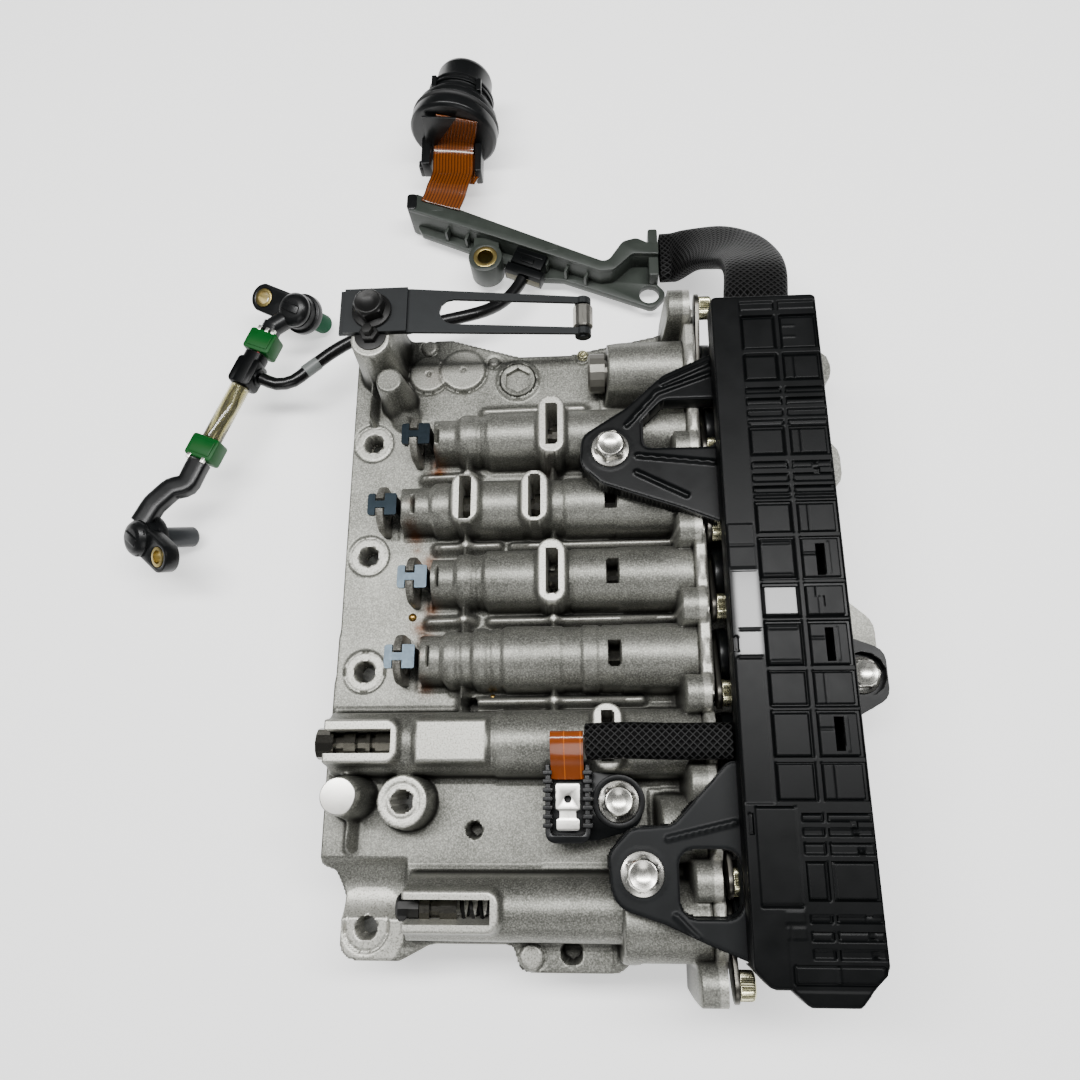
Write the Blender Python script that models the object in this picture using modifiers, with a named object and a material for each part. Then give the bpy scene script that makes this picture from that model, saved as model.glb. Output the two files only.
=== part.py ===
"""Transmission valve body with its solenoid block and wiring harness.

The driving dimensions below are in millimetres and every helper turns them into metres. X runs along the
valve bores, Y across them and Z up from the flat face that the lower casting rests on. The origin is on
that face, in the middle of the casting.
"""

import math

import bmesh
import bpy
from mathutils import Matrix, Vector

MM = 0.001

# Fits
FIT = 0.3          # gap between pieces that touch
SLIDE_FIT = 0.3    # radial gap of a spool in its bore
PIN_FIT = 0.3      # radial gap of the roller on its pin

# Heights of the sandwich
LOWER_HEIGHT = 26.0
SEPARATOR_THICKNESS = 1.6
PLATE_THICKNESS = 9.8
BORE_RISE = 8.0        # bore axis above the plate's face
PAD_RISE = 22.0        # tops of window frames, posts and pads above the plate's face
ROOT_RISE = 4.0        # where the forms that stand on the plate begin, above its underside
RIB_RISE = 8.0         # tops of the thin ribs above the plate's face
SEPARATOR_BOTTOM = LOWER_HEIGHT + FIT
PLATE_BOTTOM = SEPARATOR_BOTTOM + SEPARATOR_THICKNESS + FIT
PLATE_TOP = PLATE_BOTTOM + PLATE_THICKNESS
AXIS_Z = PLATE_TOP + BORE_RISE
PAD_Z = PLATE_TOP + PAD_RISE
ROOT_Z = PLATE_BOTTOM + ROOT_RISE

# Castings
BASE_FILLET = 2.4
FLANGE_FACE_X = 55.3
FLANGE_THICKNESS = 4.8
FLANGE_RADIUS = 14.2
SCREW_BOSS_RADIUS = 7.6
SCREW_BOSS_LENGTH = 12.0
MOUNT_HOLE_RADIUS = 3.75
SPOT_FACE_RADIUS = 8.0
SPOT_FACE_DEPTH = 0.8
CHANNEL_WIDTH = 8.0
CHANNEL_DEPTH = 12.0
BARREL_SLOPE = 0.9         # half the length of the slope between one radius of a barrel and the next
FLANGE_LOWER = -112.0
FLANGE_UPPER = 122.0
FLANGE_WEB_RISE = 2.0      # top of the low web between the flange's faces, above the bore axis
UPPER_WEB_RISE = 14.0      # top of the high web, above the bore axis

# Valve bores
BORE_RADIUS = 5.6
SPOOL_RADIUS = BORE_RADIUS - SLIDE_FIT
SPOOL_WAIST = 3.4
SPRING_WIRE = 0.7
SPRING_RADIUS = 3.9
SPRING_TURNS = 4
PLUG_LENGTH = 6.0
KEY_THICKNESS = 1.4
KEY_SLOT_LENGTH = 5.4
EAR_LENGTH = 3.2
EAR_RADIUS = 9.3
SPOOL_END_X = 38.0
SPRING_LENGTH = 12.0
WINDOW_SLOT_WIDTH = 4.2
WINDOW_SLOT_LENGTH = 16.6
WINDOW_FRAME_WIDTH = 11.6
WINDOW_WALL = 4.4
WINDOW_SLOT_FLOOR = AXIS_Z - 6.6

# Each control bore: row, left face of its ears, and the barrel's outer radii from one X to the next
BARREL_B = (80.7, -58.6, [(-49.6, 7.6), (-40.2, 9.9), (-31.6, 10.0), (-28.4, 10.6), (50.0, 10.6)])
BARREL_C = (51.3, -70.6, [(-61.6, 8.2), (-51.0, 10.1), (-41.6, 9.6), (-27.4, 10.8), (-3.0, 10.4),
                          (4.0, 11.0), (22.4, 11.3), (50.0, 11.3)])
BARREL_D = (22.1, -57.6, [(-49.0, 8.2), (-40.2, 10.4), (-33.0, 9.6), (-29.0, 11.2), (22.4, 11.5),
                          (50.0, 11.5)])
BARREL_E = (-8.2, -61.0, [(-52.4, 8.8), (-44.0, 10.3), (-37.0, 9.7), (-33.0, 11.5), (-27.4, 11.0),
                          (-21.0, 12.0), (1.0, 11.5), (8.2, 12.6), (14.8, 11.8), (23.6, 12.1), (50.0, 12.1)])
CONTROL_BARRELS = {"b": BARREL_B, "c": BARREL_C, "d": BARREL_D, "e": BARREL_E}
WINDOWS = [(BARREL_B[0], -2.0, 12.9), (BARREL_C[0], -35.0, 10.5), (BARREL_C[0], -8.4, 11.0),
           (BARREL_D[0], -2.0, 12.9)]
SMALL_PORTS = [(BARREL_C[0], 20.2), (BARREL_D[0], 20.5), (BARREL_E[0], 20.4)]

# Bore A, the short one at the top
A_ROW = 108.6
A_LEFT = 19.6
A_RADIUS = 12.0
A_PLUG_RADIUS = 8.0
A_PLUG_LEFT = 12.6

# Bore F, the manual valve's
F_ROW = -39.0
F_LEFT = -84.0
F_RADIUS = 12.0
F_SLOT_RIGHT = -59.0
F_SLOT_WIDTH = 8.2
F_FRAME_WIDTH = 16.4
F_FRAME_RIGHT = -56.0
F_BORE_RADIUS = 6.0
F_BORE_END = 42.0
F_WINDOW_X = 17.2
LABEL_LEFT = -51.0
LABEL_RIGHT = -24.6
LABEL_WIDTH = 15.9
MANUAL_VALVE_LEFT = -88.5
MANUAL_VALVE_LENGTH = 96.0

# Bore G, the regulator valve's
G_ROW = -94.5
G_LEFT = -53.4
G_RADIUS = 10.9
G_SLOT_RIGHT = -22.8
G_SLOT_WIDTH = 6.8
G_FRAME_WIDTH = 14.6
G_FRAME_RIGHT = -19.4
G_HEAD_X = 20.0
G_HEAD_RADIUS = 13.6
G_SPRING_LEFT = -35.0
G_SPRING_RIGHT = -11.0
G_PLUG_LEFT = -56.8

# Bore H, the short one behind the module's lower lug
H_ROW = -68.5
H_LEFT = 36.0
H_RADIUS = 11.6

# Solenoids
G_HEAD_ROW = -98.6
SOLENOID_ROWS = [A_ROW, BARREL_B[0], BARREL_C[0], BARREL_D[0], BARREL_E[0], F_ROW, H_ROW, G_HEAD_ROW]
SCREW_ROWS = [131.2, 69.6, 37.8, 8.3, -22.9, -53.6, -84.8, -115.9]
SCREW_RISE = 10.0          # screw axis above the bore axis
SCREW_Z = AXIS_Z + SCREW_RISE
SOLENOID_NECK_RADIUS = 6.8
SOLENOID_CAN_LEFT = 65.4
SOLENOID_CAN_RIGHT = 94.0
SOLENOID_CAN_RADIUS = 12.2
SOCKET_LEFT = 70.0
SOCKET_RIGHT = 86.0
SOCKET_WIDTH = 12.8
SOCKET_RISE = 21.6         # top of a solenoid's plug socket above the bore axis
SOLENOID_NOSE_RADIUS = BORE_RADIUS - SLIDE_FIT
TAB_THICKNESS = 1.6
SCREW_HEAD_RADIUS = 4.6
SCREW_HEAD_LENGTH = 5.2
SCREW_SHANK_RADIUS = 2.7
SCREW_SHANK_LENGTH = 8.0

# Module cover
MODULE_RISE = 29.0         # top of the cover above the bore axis
MODULE_TOP = AXIS_Z + MODULE_RISE
MODULE_WALL = 2.4
MODULE_DEPTH = 13.0
MODULE_LEFT = 59.6
MODULE_RIGHT = 98.6
MODULE_MARGIN = 15.0       # how far the cover reaches past the first and the last solenoid's axis
MODULE_UPPER = A_ROW + MODULE_MARGIN
MODULE_LOWER = G_HEAD_ROW - MODULE_MARGIN
MODULE_SPREAD = 1.4        # how much wider the cover is at its lower end
MODULE_TIP_REACH = 4.8
MODULE_TIP_LEFT = 70.4
MODULE_TIP_RIGHT = 94.6
MODULE_SKIRT_BOTTOM = LOWER_HEIGHT + 8.0
# Cells in the cover's top, each a lower and an upper Y, and columns of a left and a right X
CELL_COLUMNS = [(70.1, 82.7), (84.2, 97.4)]
CELL_ROWS = [(117.6, 121.0), (100.9, 115.0), (88.2, 98.8), (82.9, 85.0), (78.5, 80.9), (74.0, 76.5),
             (70.6, 72.2), (58.8, 69.0), (53.7, 56.0), (48.8, 51.4), (44.6, 46.9), (29.6, 40.4),
             (13.4, 27.5),
             (0.2, 10.7), (-16.5, -2.1), (-29.3, -18.4), (-45.8, -31.7), (-59.2, -47.9)]
LOW_CELL_COLUMNS = [(76.9, 83.8), (85.0, 98.2)]
LOW_CELL_ROWS = [(-65.5, -63.1), (-70.0, -67.7), (-75.4, -72.0), (-88.9, -77.2), (-94.9, -92.8),
                 (-99.5, -97.0), (-105.1, -101.4)]
CELL_DEPTH = 1.0
CELL_SLOTS = [(91.3, 20.0), (91.7, -9.4), (92.0, -38.6)]
CELL_SLOT_SIZE = (3.3, 11.4)
LABEL_FIELD = [(63.2, -61.4), (75.6, -88.4)]
LABEL_FIELD_DEPTH = 0.5
ARM_TOP = AXIS_Z + 20.0
ARM_THICKNESS = 6.0
ARM_FOOT_Y = -108.0
UPPER_ARM_GAP = [(46.4, 77.6), (26.8, 22.0)]
LOWER_ARM_GAP = [(49.2, SCREW_ROWS[6]), (20.0, 21.0)]
SLEEVE_PORT = (78.0, 27.0)     # middle and width of the opening that the main sleeve comes out of
UPPER_LUG = (20.5, 66.4)
LOWER_LUG = (27.4, -81.9)
SIDE_LUG = (113.6, -13.6)
SIDE_LUG_TOP = LOWER_HEIGHT + 5.0
SIDE_LUG_THICKNESS = 4.6

# Flange bolts
BOLT_FLANGE_RADIUS = 7.1
BOLT_FLANGE_HEIGHT = 1.6
BOLT_HEX_WIDTH = 10.0
BOLT_HEAD_HEIGHT = 6.4
BOLT_SHANK_RADIUS = 3.0
BOLT_SHANK_LENGTH = 12.0
LUG_PILLAR_RADIUS = 9.4
SENSOR_PILLAR_RADIUS = 7.2

# Detent
DETENT_PAD_Z = PLATE_TOP + 28.0
DETENT_POST = (-72.6, 127.4)
DETENT_PIN = (-73.6, 116.6)
DETENT_POST_RADIUS = 8.6
DETENT_BOLT_SCALE = 1.12
LEAF_THICKNESS = 1.2
LEAF_LEFT = -86.0
LEAF_BEND = -57.6
LEAF_TIP = 11.0
LEAF_CENTRE = 128.0
LEAF_WIDTH = 19.6
LEAF_TIP_WIDTH = 16.8
LEAF_DROP = 8.0
SLOT_LEFT = -46.0
SLOT_WIDTH = 11.2
ROLLER_RADIUS = 4.0
ROLLER_LENGTH = 9.6
ROLLER_PIN_RADIUS = 1.6
LOCATING_PIN_RADIUS = 2.9
LOCATING_PIN_RISE = 5.6

# Temperature sensor
TEMP_LEFT = -4.6
TEMP_RIGHT = 10.8
TEMP_LOWER = -73.0
TEMP_UPPER = -47.0
TEMP_PLATE_TOP = PLATE_TOP + 14.0
TEMP_TOP = TEMP_PLATE_TOP + 7.6
TEMP_BOTTOM = TEMP_PLATE_TOP - 11.0
TEMP_BOLT = (20.6, -59.4)
TEMP_PLATE_THICKNESS = 2.4
TEMP_SLEEVE_WIDTH = 12.4
TEMP_SLEEVE_THICKNESS = 6.6
TEMP_SLEEVE_Z = TEMP_TOP + 5.0
TEMP_FLEX_THICKNESS = 0.5
TEMP_FLEX_WIDTH = 11.4
TERMINAL_WIDTH = 6.0
TERMINAL_LENGTH = 14.0

# Harness on the bench
RAIL_LEFT = (-66.2, 211.0)     # lower edge of the bracket's rail, from its left end to where it rises
RAIL_RIGHT = (19.0, 175.2)
RAIL_END = (46.0, 186.2)
RAIL_WALL = 2.0
RAIL_OUTLINE = [(-73.0, 213.6, 2), (-72.0, 220.4, 3), (-68.6, 222.0, 2), (22.0, 179.6, 4), (29.5, 190.6, 5),
                (36.0, 192.2, 4), (41.0, 189.4, 2), (46.0, 189.4, 0), (46.0, 183.0, 0), (34.0, 183.8, 3),
                (25.0, 175.4, 5), (19.0, 175.2, 3), (-66.2, 211.0, 2)]
RAIL_CHANNEL = [(-68.0, 216.6), (18.0, 178.2)]
RAIL_CHANNEL_WIDTH = 3.6
WEB_OUTLINE = [(-71.0, 214.0, 2), (-67.6, 207.4, 2), (-43.0, 196.4, 3), (-26.0, 188.0, 3), (-22.0, 180.4, 2),
               (1.3, 178.4, 2), (43.2, 161.0, 4), (50.4, 168.2, 4), (45.8, 173.6, 1), (45.8, 186.0, 0),
               (30.0, 186.0, 0), (16.0, 177.6, 0), (-64.0, 211.8, 0)]
WEB_BOTTOM = 5.0
WEB_TOP = 9.0
BRACKET_BOTTOM = 1.0
BRACKET_TOP = 20.0
BRACKET_EYE = (-34.8, 186.0)
BRACKET_EYE_RADIUS = 8.0
BRACKET_EYE_HOLE = 3.5
FOOT_HOLE = (41.7, 168.8)
FOOT_HOLE_RADIUS = 4.6
SLEEVE_BLOCK_LENGTH = 4.6
SLEEVE_BLOCK_TOP = 17.0
MAIN_SLEEVE_WIDTH = 25.0
MAIN_SLEEVE_THICKNESS = 8.0
CONNECTOR_START = (-51.4, 252.0)
CONNECTOR_AXIS_Z = 22.4
CONNECTOR_FLANGE_RADIUS = 21.4
CONNECTOR_GROOVE_RADIUS = 18.4
CONNECTOR_SOCKET_RADIUS = 9.6
CONNECTOR_LENGTH = 37.0
CONNECTOR_SOCKET_DEPTH = 16.0
CONNECTOR_HEADING = (0.157, 1.0)
CONNECTOR_LEGS = [((-67.4, 239.6), (-62.8, 256.2)), ((-41.0, 234.0), (-37.6, 252.6))]
LEG_BOTTOM = 10.0
LEG_TOP = 20.0
CONNECTOR_FLEX_WIDTH = 20.0
CONNECTOR_FLEX_THICKNESS = 0.8
SEAL_RADIUS = 1.4
CABLE_RADIUS = 2.9
PLUG_X = -12.5
PLUG_WIDTH = 8.4
PLUG_SPAN = 15.6
PLUG_HEIGHT = 9.4
PLUG_BOOT_WIDTH = 4.6
PLUG_BOOT_SPAN = 18.4
PLUG_BOOT_INSET = 1.2
PLUG_BOOT_LAP = 0.4
PLUG_Z = WEB_TOP + FIT + PLUG_HEIGHT / 2
CABLE_ROUTE = [(-23.5, 166.5, 15.0), (-31.0, 159.6, 17.0), (-42.0, 153.4, 21.0), (-68.0, 147.6, 22.0),
               (-90.0, 143.6, 22.0), (-102.0, 137.0, 22.4), (-112.0, 128.6, 23.0), (-119.4, 121.8, 23.6)]

# The sensor branch runs straight from the first clip's middle, and its pieces are placed along it
CHAIN_START = (-135.2, 140.4, 24.0)
CHAIN_HEADING = (-0.376, -0.9266, 0.0)
CLIP_WIDTH = 13.6
CLIP_LENGTH = 10.4
CLIP_HEIGHT = 10.0
JUNCTION_WIDTH = 14.0
JUNCTION_LENGTH = 14.2
JUNCTION_HEIGHT = 12.0
WIRE_NECK_LENGTH = 3.0
WIRE_NECK_RADIUS = 3.0
TUBE_RADIUS = 4.4
TUBE_LENGTH = 27.0
ARM_RADIUS = 4.6
ARM_ROUTE = [(-162.4, 72.6, 24.0), (-168.8, 71.0, 24.6), (-176.0, 64.6, 25.4)]
CABLE_SIDE_REACH = 8.0
SPEED_SENSOR_1 = {"head": (-121.9, 155.3, 30.0), "tip": (-114.4, 162.3, 2.8), "eye": (-138.6, 163.3, 30.0)}
SPEED_SENSOR_2 = {"head": (-182.3, 47.4, 28.6), "tip": (-166.1, 55.6, 3.6), "eye": (-166.8, 39.3, 28.0)}
SENSOR_LUG_THICKNESS = 6.4
SENSOR_LUG_RADIUS = 6.8
SENSOR_LUG_DROP = 6.6      # the lug's middle below the head's top
SENSOR_EYE_RADIUS = 3.0
SENSOR_HEAD_RADIUS = 8.0
SENSOR_COLLAR_RADIUS = 9.4
SENSOR_PROBE_RADIUS = 4.6
SENSOR_NECK_RADIUS = 4.2
SENSOR_HEAD_HEIGHT = 9.0
SENSOR_COLLAR_HEIGHT = 3.4
SENSOR_TIP_BEVEL = 1.2

# Small pieces in the bores
PLUG_GAP = 0.6              # between the key's slot and the round plug behind it
PLUG_BEVEL = 0.9
KEY_OVERHANG = 3.2
KEY_HALF_WIDTH = 4.4
KEY_WAIST = 1.4
KEY_RISE = 8.0
KEY_LEG_HALF = 3.4
KEY_TOE_HALF = 2.6
SPOOL_END_LAND = 9.0
SPOOL_MIDDLE_LAND = 11.0
SPOOL_MIDDLE_SHARE = 0.42
MANUAL_LANDS = [(0.0, 6.6), (10.5, 14.7), (18.6, 20.1), (22.2, 44.0)]
MANUAL_LAST_LAND = 24.0
MANUAL_WAIST = 3.6
G_PLUG_LENGTH = 8.4
G_PLUG_NOSE = 5.0
G_PLUG_NOSE_RADIUS = 4.6
G_FIRST_LAND = 3.4
G_GROOVE_END = 7.0
G_SPRING_TURNS = 7
A_PLUG_INSERT = 6.0
SHORT_NOSE = 9.4
LONG_NOSES = (2, 3, 4, 5)
SOCKET_FOOT = 6.0
TAB_NEAR_RADIUS = 8.6
TAB_FAR_RADIUS = 5.6
SCREW_HEAD_INSET = 0.4

# The leaf spring's roller and holes
ROLLER_DROP = 1.2           # the roller's axis below the leaf's tip
ROLLER_EYE_WALL = 1.7
ROLLER_PIN_OVERHANG = 0.6
ROLLER_BEVEL = 0.6
LEAF_BOLT_HOLE_RADIUS = 4.2
LEAF_NOTCH_RADIUS = 3.6
STIFFENER_INSET = 2.0
STIFFENER_GAP_TO_BEND = 1.0

CASTINGS = ("outer_valve_body", "lower_valve_body", "module_cover")


def collection(name):
    """A new collection in the scene."""
    made = bpy.data.collections.new(name)
    bpy.context.scene.collection.children.link(made)
    return made


def clear_scene():
    for thing in list(bpy.data.objects):
        bpy.data.objects.remove(thing, do_unlink=True)


def material(name, colour, roughness, metallic):
    """A Principled material from an sRGB colour in 0 to 1."""
    made = bpy.data.materials.new(name)
    made.use_nodes = True
    shader = made.node_tree.nodes["Principled BSDF"]
    linear = [c / 12.92 if c <= 0.04045 else ((c + 0.055) / 1.055) ** 2.4 for c in colour]
    shader.inputs["Base Color"].default_value = (*linear, 1.0)
    shader.inputs["Roughness"].default_value = roughness
    shader.inputs["Metallic"].default_value = metallic
    return made


def add_object(name, mesh):
    made = bpy.data.objects.new(name, mesh)
    PARTS.objects.link(made)
    return made


def from_bmesh(name, built):
    mesh = bpy.data.meshes.new(name)
    built.to_mesh(mesh)
    built.free()
    return add_object(name, mesh)


def park(tool):
    """Make an object a hidden tool: it only serves a Boolean and is no part of the model."""
    PARTS.objects.unlink(tool)
    TOOLS.objects.link(tool)
    tool.hide_render = True
    tool.display_type = "WIRE"


def combine(target, tool, operation):
    """Cut or join with a tool. The exact solver leaves edges open after a casting's hundred steps."""
    step = target.modifiers.new(operation.lower(), "BOOLEAN")
    step.operation = operation
    step.solver = "MANIFOLD" if target.name in CASTINGS else "EXACT"
    step.object = tool
    park(tool)


def cut(target, *tools):
    for tool in tools:
        combine(target, tool, "DIFFERENCE")


def join(target, *tools):
    for tool in tools:
        combine(target, tool, "UNION")


def bevel(target, width, segments=2, angle=40.0):
    step = target.modifiers.new("bevel", "BEVEL")
    step.width = width * MM
    step.segments = segments
    step.limit_method = "ANGLE"
    step.angle_limit = math.radians(angle)


def finish(part, finish_material, origin=None):
    """Give a part its material, smooth shading and, for a moving piece, an origin on its joint's axis."""
    if origin is not None:
        place = Vector(origin) * MM
        part.data.transform(Matrix.Translation(-place) @ part.matrix_world)
        part.matrix_world = Matrix.Translation(place)
    part.data.materials.clear()
    part.data.materials.append(finish_material)
    part.data.shade_smooth()
    part.data.set_sharp_from_angle(angle=math.radians(35))
    return part


def box(name, low, high):
    """A box between two corners."""
    built = bmesh.new()
    bmesh.ops.create_cube(built, size=1.0)
    size = [(b - a) * MM for a, b in zip(low, high)]
    centre = [(a + b) / 2 * MM for a, b in zip(low, high)]
    move = Matrix.Translation(centre) @ Matrix.Diagonal((*size, 1.0))
    bmesh.ops.transform(built, matrix=move, verts=built.verts)
    return from_bmesh(name, built)


def rod(name, start, end, radius, end_radius=None, sides=14):
    """A round bar or cone between two points."""
    first, last = Vector(start) * MM, Vector(end) * MM
    built = bmesh.new()
    bmesh.ops.create_cone(
        built, cap_ends=True, segments=sides, radius1=radius * MM,
        radius2=(radius if end_radius is None else end_radius) * MM, depth=(last - first).length,
    )
    turn = (last - first).to_track_quat("Z", "Y").to_matrix().to_4x4()
    move = Matrix.Translation((first + last) / 2) @ turn
    bmesh.ops.transform(built, matrix=move, verts=built.verts)
    return from_bmesh(name, built)


def curve_to_mesh(curve_object):
    """A mesh object in place of a curve object, with its caps welded."""
    bpy.context.view_layer.update()
    graph = bpy.context.evaluated_depsgraph_get()
    mesh = bpy.data.meshes.new_from_object(curve_object.evaluated_get(graph))
    built = bmesh.new()
    built.from_mesh(mesh)
    bmesh.ops.remove_doubles(built, verts=built.verts, dist=1e-6)
    bmesh.ops.recalc_face_normals(built, faces=built.faces)
    built.to_mesh(mesh)
    built.free()
    name, place = curve_object.name, curve_object.matrix_world.copy()
    bpy.data.objects.remove(curve_object, do_unlink=True)
    made = add_object(name, mesh)
    made.matrix_world = place
    return made


def slab(name, outline, low, high, frame=None):
    """A flat outline filled and extruded from one height to another, in its own frame."""
    data = bpy.data.curves.new(name, "CURVE")
    data.dimensions = "2D"
    data.fill_mode = "BOTH"
    data.extrude = (high - low) / 2 * MM
    loop = data.splines.new("POLY")
    loop.points.add(len(outline) - 1)
    for point, (x, y) in zip(loop.points, outline):
        point.co = (x * MM, y * MM, 0.0, 1.0)
    loop.use_cyclic_u = True
    made = add_object(name, data)
    made.matrix_world = (frame or Matrix()) @ Matrix.Translation((0, 0, (low + high) / 2 * MM))
    return curve_to_mesh(made)


def turned(name, profile, start, direction, steps=24):
    """A turned piece: (distance along its axis, radius) pairs, from its start along a direction."""
    mesh = bpy.data.meshes.new(name)
    points = [(radius * MM, 0.0, along * MM) for along, radius in reversed(profile)]
    mesh.from_pydata(points, [(i, i + 1) for i in range(len(points) - 1)], [])
    made = add_object(name, mesh)
    turn = Vector(direction).to_track_quat("Z", "Y").to_matrix().to_4x4()
    made.matrix_world = Matrix.Translation(Vector(start) * MM) @ turn
    screw = made.modifiers.new("turn", "SCREW")
    screw.steps = steps
    screw.render_steps = steps
    screw.use_merge_vertices = True
    screw.merge_threshold = 0.00001
    return made


def baked(part):
    """A part with its modifiers applied and its place moved into its mesh."""
    bpy.context.view_layer.update()
    graph = bpy.context.evaluated_depsgraph_get()
    mesh = bpy.data.meshes.new_from_object(part.evaluated_get(graph))
    mesh.transform(part.matrix_world)
    name = part.name
    bpy.data.objects.remove(part, do_unlink=True)
    return add_object(name, mesh)


def lofted(name, sections):
    """A closed skin over sections of equal point count, capped at both ends."""
    built = bmesh.new()
    rings = [[built.verts.new(Vector(point) * MM) for point in ring] for ring in sections]
    count = len(rings[0])
    for near, far in zip(rings, rings[1:]):
        for i in range(count):
            j = (i + 1) % count
            built.faces.new((near[i], near[j], far[j], far[i]))
    built.faces.new(list(reversed(rings[0])))
    built.faces.new(rings[-1])
    bmesh.ops.recalc_face_normals(built, faces=built.faces)
    return from_bmesh(name, built)


def tube(name, points, radius, resolution=2):
    """A round cable along points, with filled caps."""
    data = bpy.data.curves.new(name, "CURVE")
    data.dimensions = "3D"
    data.bevel_depth = radius * MM
    data.bevel_resolution = resolution
    data.use_fill_caps = True
    line = data.splines.new("POLY")
    line.points.add(len(points) - 1)
    for point, place in zip(line.points, points):
        point.co = (*[v * MM for v in place], 1.0)
    return curve_to_mesh(add_object(name, data))


def smooth_route(points, spacing):
    """Points at even spacing on a smooth curve through a route's own points."""
    knots = [Vector(p) for p in points]
    knots = [2 * knots[0] - knots[1], *knots, 2 * knots[-1] - knots[-2]]
    fine = []
    for a, b, c, d in zip(knots, knots[1:], knots[2:], knots[3:]):
        for i in range(24):
            t = i / 24
            fine.append(0.5 * (2 * b + (c - a) * t + (2 * a - 5 * b + 4 * c - d) * t * t
                               + (3 * b - a - 3 * c + d) * t ** 3))
    fine.append(knots[-2])
    length = sum((b - a).length for a, b in zip(fine, fine[1:]))
    count = max(2, round(length / spacing))
    step, gone, route = length / count, 0.0, [fine[0]]
    for a, b in zip(fine, fine[1:]):
        reach = (b - a).length
        while reach and gone + reach >= step - 1e-9:
            a = a + (b - a) * ((step - gone) / reach)
            route.append(a.copy())
            reach = (b - a).length
            gone = 0.0
        gone += reach
    route = route[:count] + [fine[-1]]
    return [tuple(p) for p in route]


def rounded(corners, steps=3):
    """An outline from (x, y, radius) corners, each turned into an arc."""
    outline = []
    for i, (x, y, radius) in enumerate(corners):
        here = Vector((x, y))
        before = Vector(corners[i - 1][:2]) - here
        after = Vector(corners[(i + 1) % len(corners)][:2]) - here
        if radius <= 0:
            outline.append((x, y))
            continue
        a, b = before.normalized(), after.normalized()
        half = math.acos(max(-1.0, min(1.0, a.dot(b)))) / 2
        reach = min(radius / math.tan(half), before.length / 2, after.length / 2)
        size = reach * math.tan(half)
        centre = here + (a + b).normalized() * (size / math.sin(half))
        first, last = here + a * reach - centre, here + b * reach - centre
        start = math.atan2(first.y, first.x)
        sweep = (math.atan2(last.y, last.x) - start + math.pi) % (2 * math.pi) - math.pi
        for step in range(steps + 1):
            angle = start + sweep * step / steps
            outline.append((centre.x + size * math.cos(angle), centre.y + size * math.sin(angle)))
    return outline


def rounded_box(name, centre, size, radius, low, high, steps=3):
    """An upright slab with a rounded rectangle for its outline."""
    (x, y), (w, d) = centre, (size[0] / 2, size[1] / 2)
    corners = [(x - w, y - d, radius), (x + w, y - d, radius), (x + w, y + d, radius),
               (x - w, y + d, radius)]
    return slab(name, rounded(corners, steps), low, high)


def hexagon(centre, width):
    """The corners of a hexagon of a width across its flats."""
    radius = width / math.sqrt(3)
    return [(centre[0] + radius * math.cos(math.radians(60 * i)),
             centre[1] + radius * math.sin(math.radians(60 * i))) for i in range(6)]


def arch(x, row, radius, base, flare=BASE_FILLET, arc_steps=6):
    """One section of a cast barrel: a half round on straight sides that flare into the plate."""
    foot = PLATE_TOP
    half = [(radius + flare, base), (radius + flare, foot), (radius, foot + flare)]
    for step in range(arc_steps // 2 + 1):
        angle = math.pi / 2 * step / (arc_steps // 2)
        half.append((radius * math.cos(angle), AXIS_Z + radius * math.sin(angle)))
    outline = [(x, row + y, z) for y, z in half]
    outline += [(x, row - y, z) for y, z in reversed(half[:-1])]
    return outline


def barrel(name, row, left, steps):
    """A cast barrel whose radius changes at each X, with short slopes between one radius and the next."""
    base = PLATE_BOTTOM + PLATE_THICKNESS / 2
    sections = [arch(left, row, steps[0][1], base)]
    for (x, radius), (_, after) in zip(steps, [*steps[1:], steps[-1]]):
        sections.append(arch(x - BARREL_SLOPE if after != radius else x, row, radius, base))
        if after != radius:
            sections.append(arch(x + BARREL_SLOPE, row, after, base))
    return lofted(name, sections)


def plate_outline():
    """Outline of the outer casting's plate."""
    return rounded([
        (-79, -113, 6), (-57, -113, 4), (-46, -107.4, 8), (-17.4, -107.4, 3), (-14.6, -116.4, 5),
        (20, -116.4, 7), (26, -111, 5), (50.5, -111, 0), (50.5, 128, 0), (42, 130, 5), (5, 122.4, 3),
        (-17, 122.4, 6), (-46, 131.4, 6), (-86.4, 131.4, 5), (-86.4, 6, 30), (-88.2, -47, 10),
        (-88.2, -81.6, 2.5), (-83, -83.6, 2), (-79, -92, 6),
    ])


def lower_outline():
    """Outline of the lower casting, with the round lugs of its right side."""
    return rounded([
        (-75, -109, 8), (-17, -105, 4), (-12, -112, 5), (20, -112, 6), (28, -108, 5), (101, -108, 8),
        (101, -29, 8), (122, -26, 9), (122, 8, 9), (104, 24, 9), (104, 62, 5), (116, 64, 8), (116, 83, 8),
        (104, 87, 5), (104, 109, 5), (116, 111, 8), (116, 128, 8), (60, 126, 8), (8, 119, 8), (-80, 127, 8),
        (-83, 4, 20), (-84, -78, 8), (-75, -90, 8),
    ])


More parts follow.
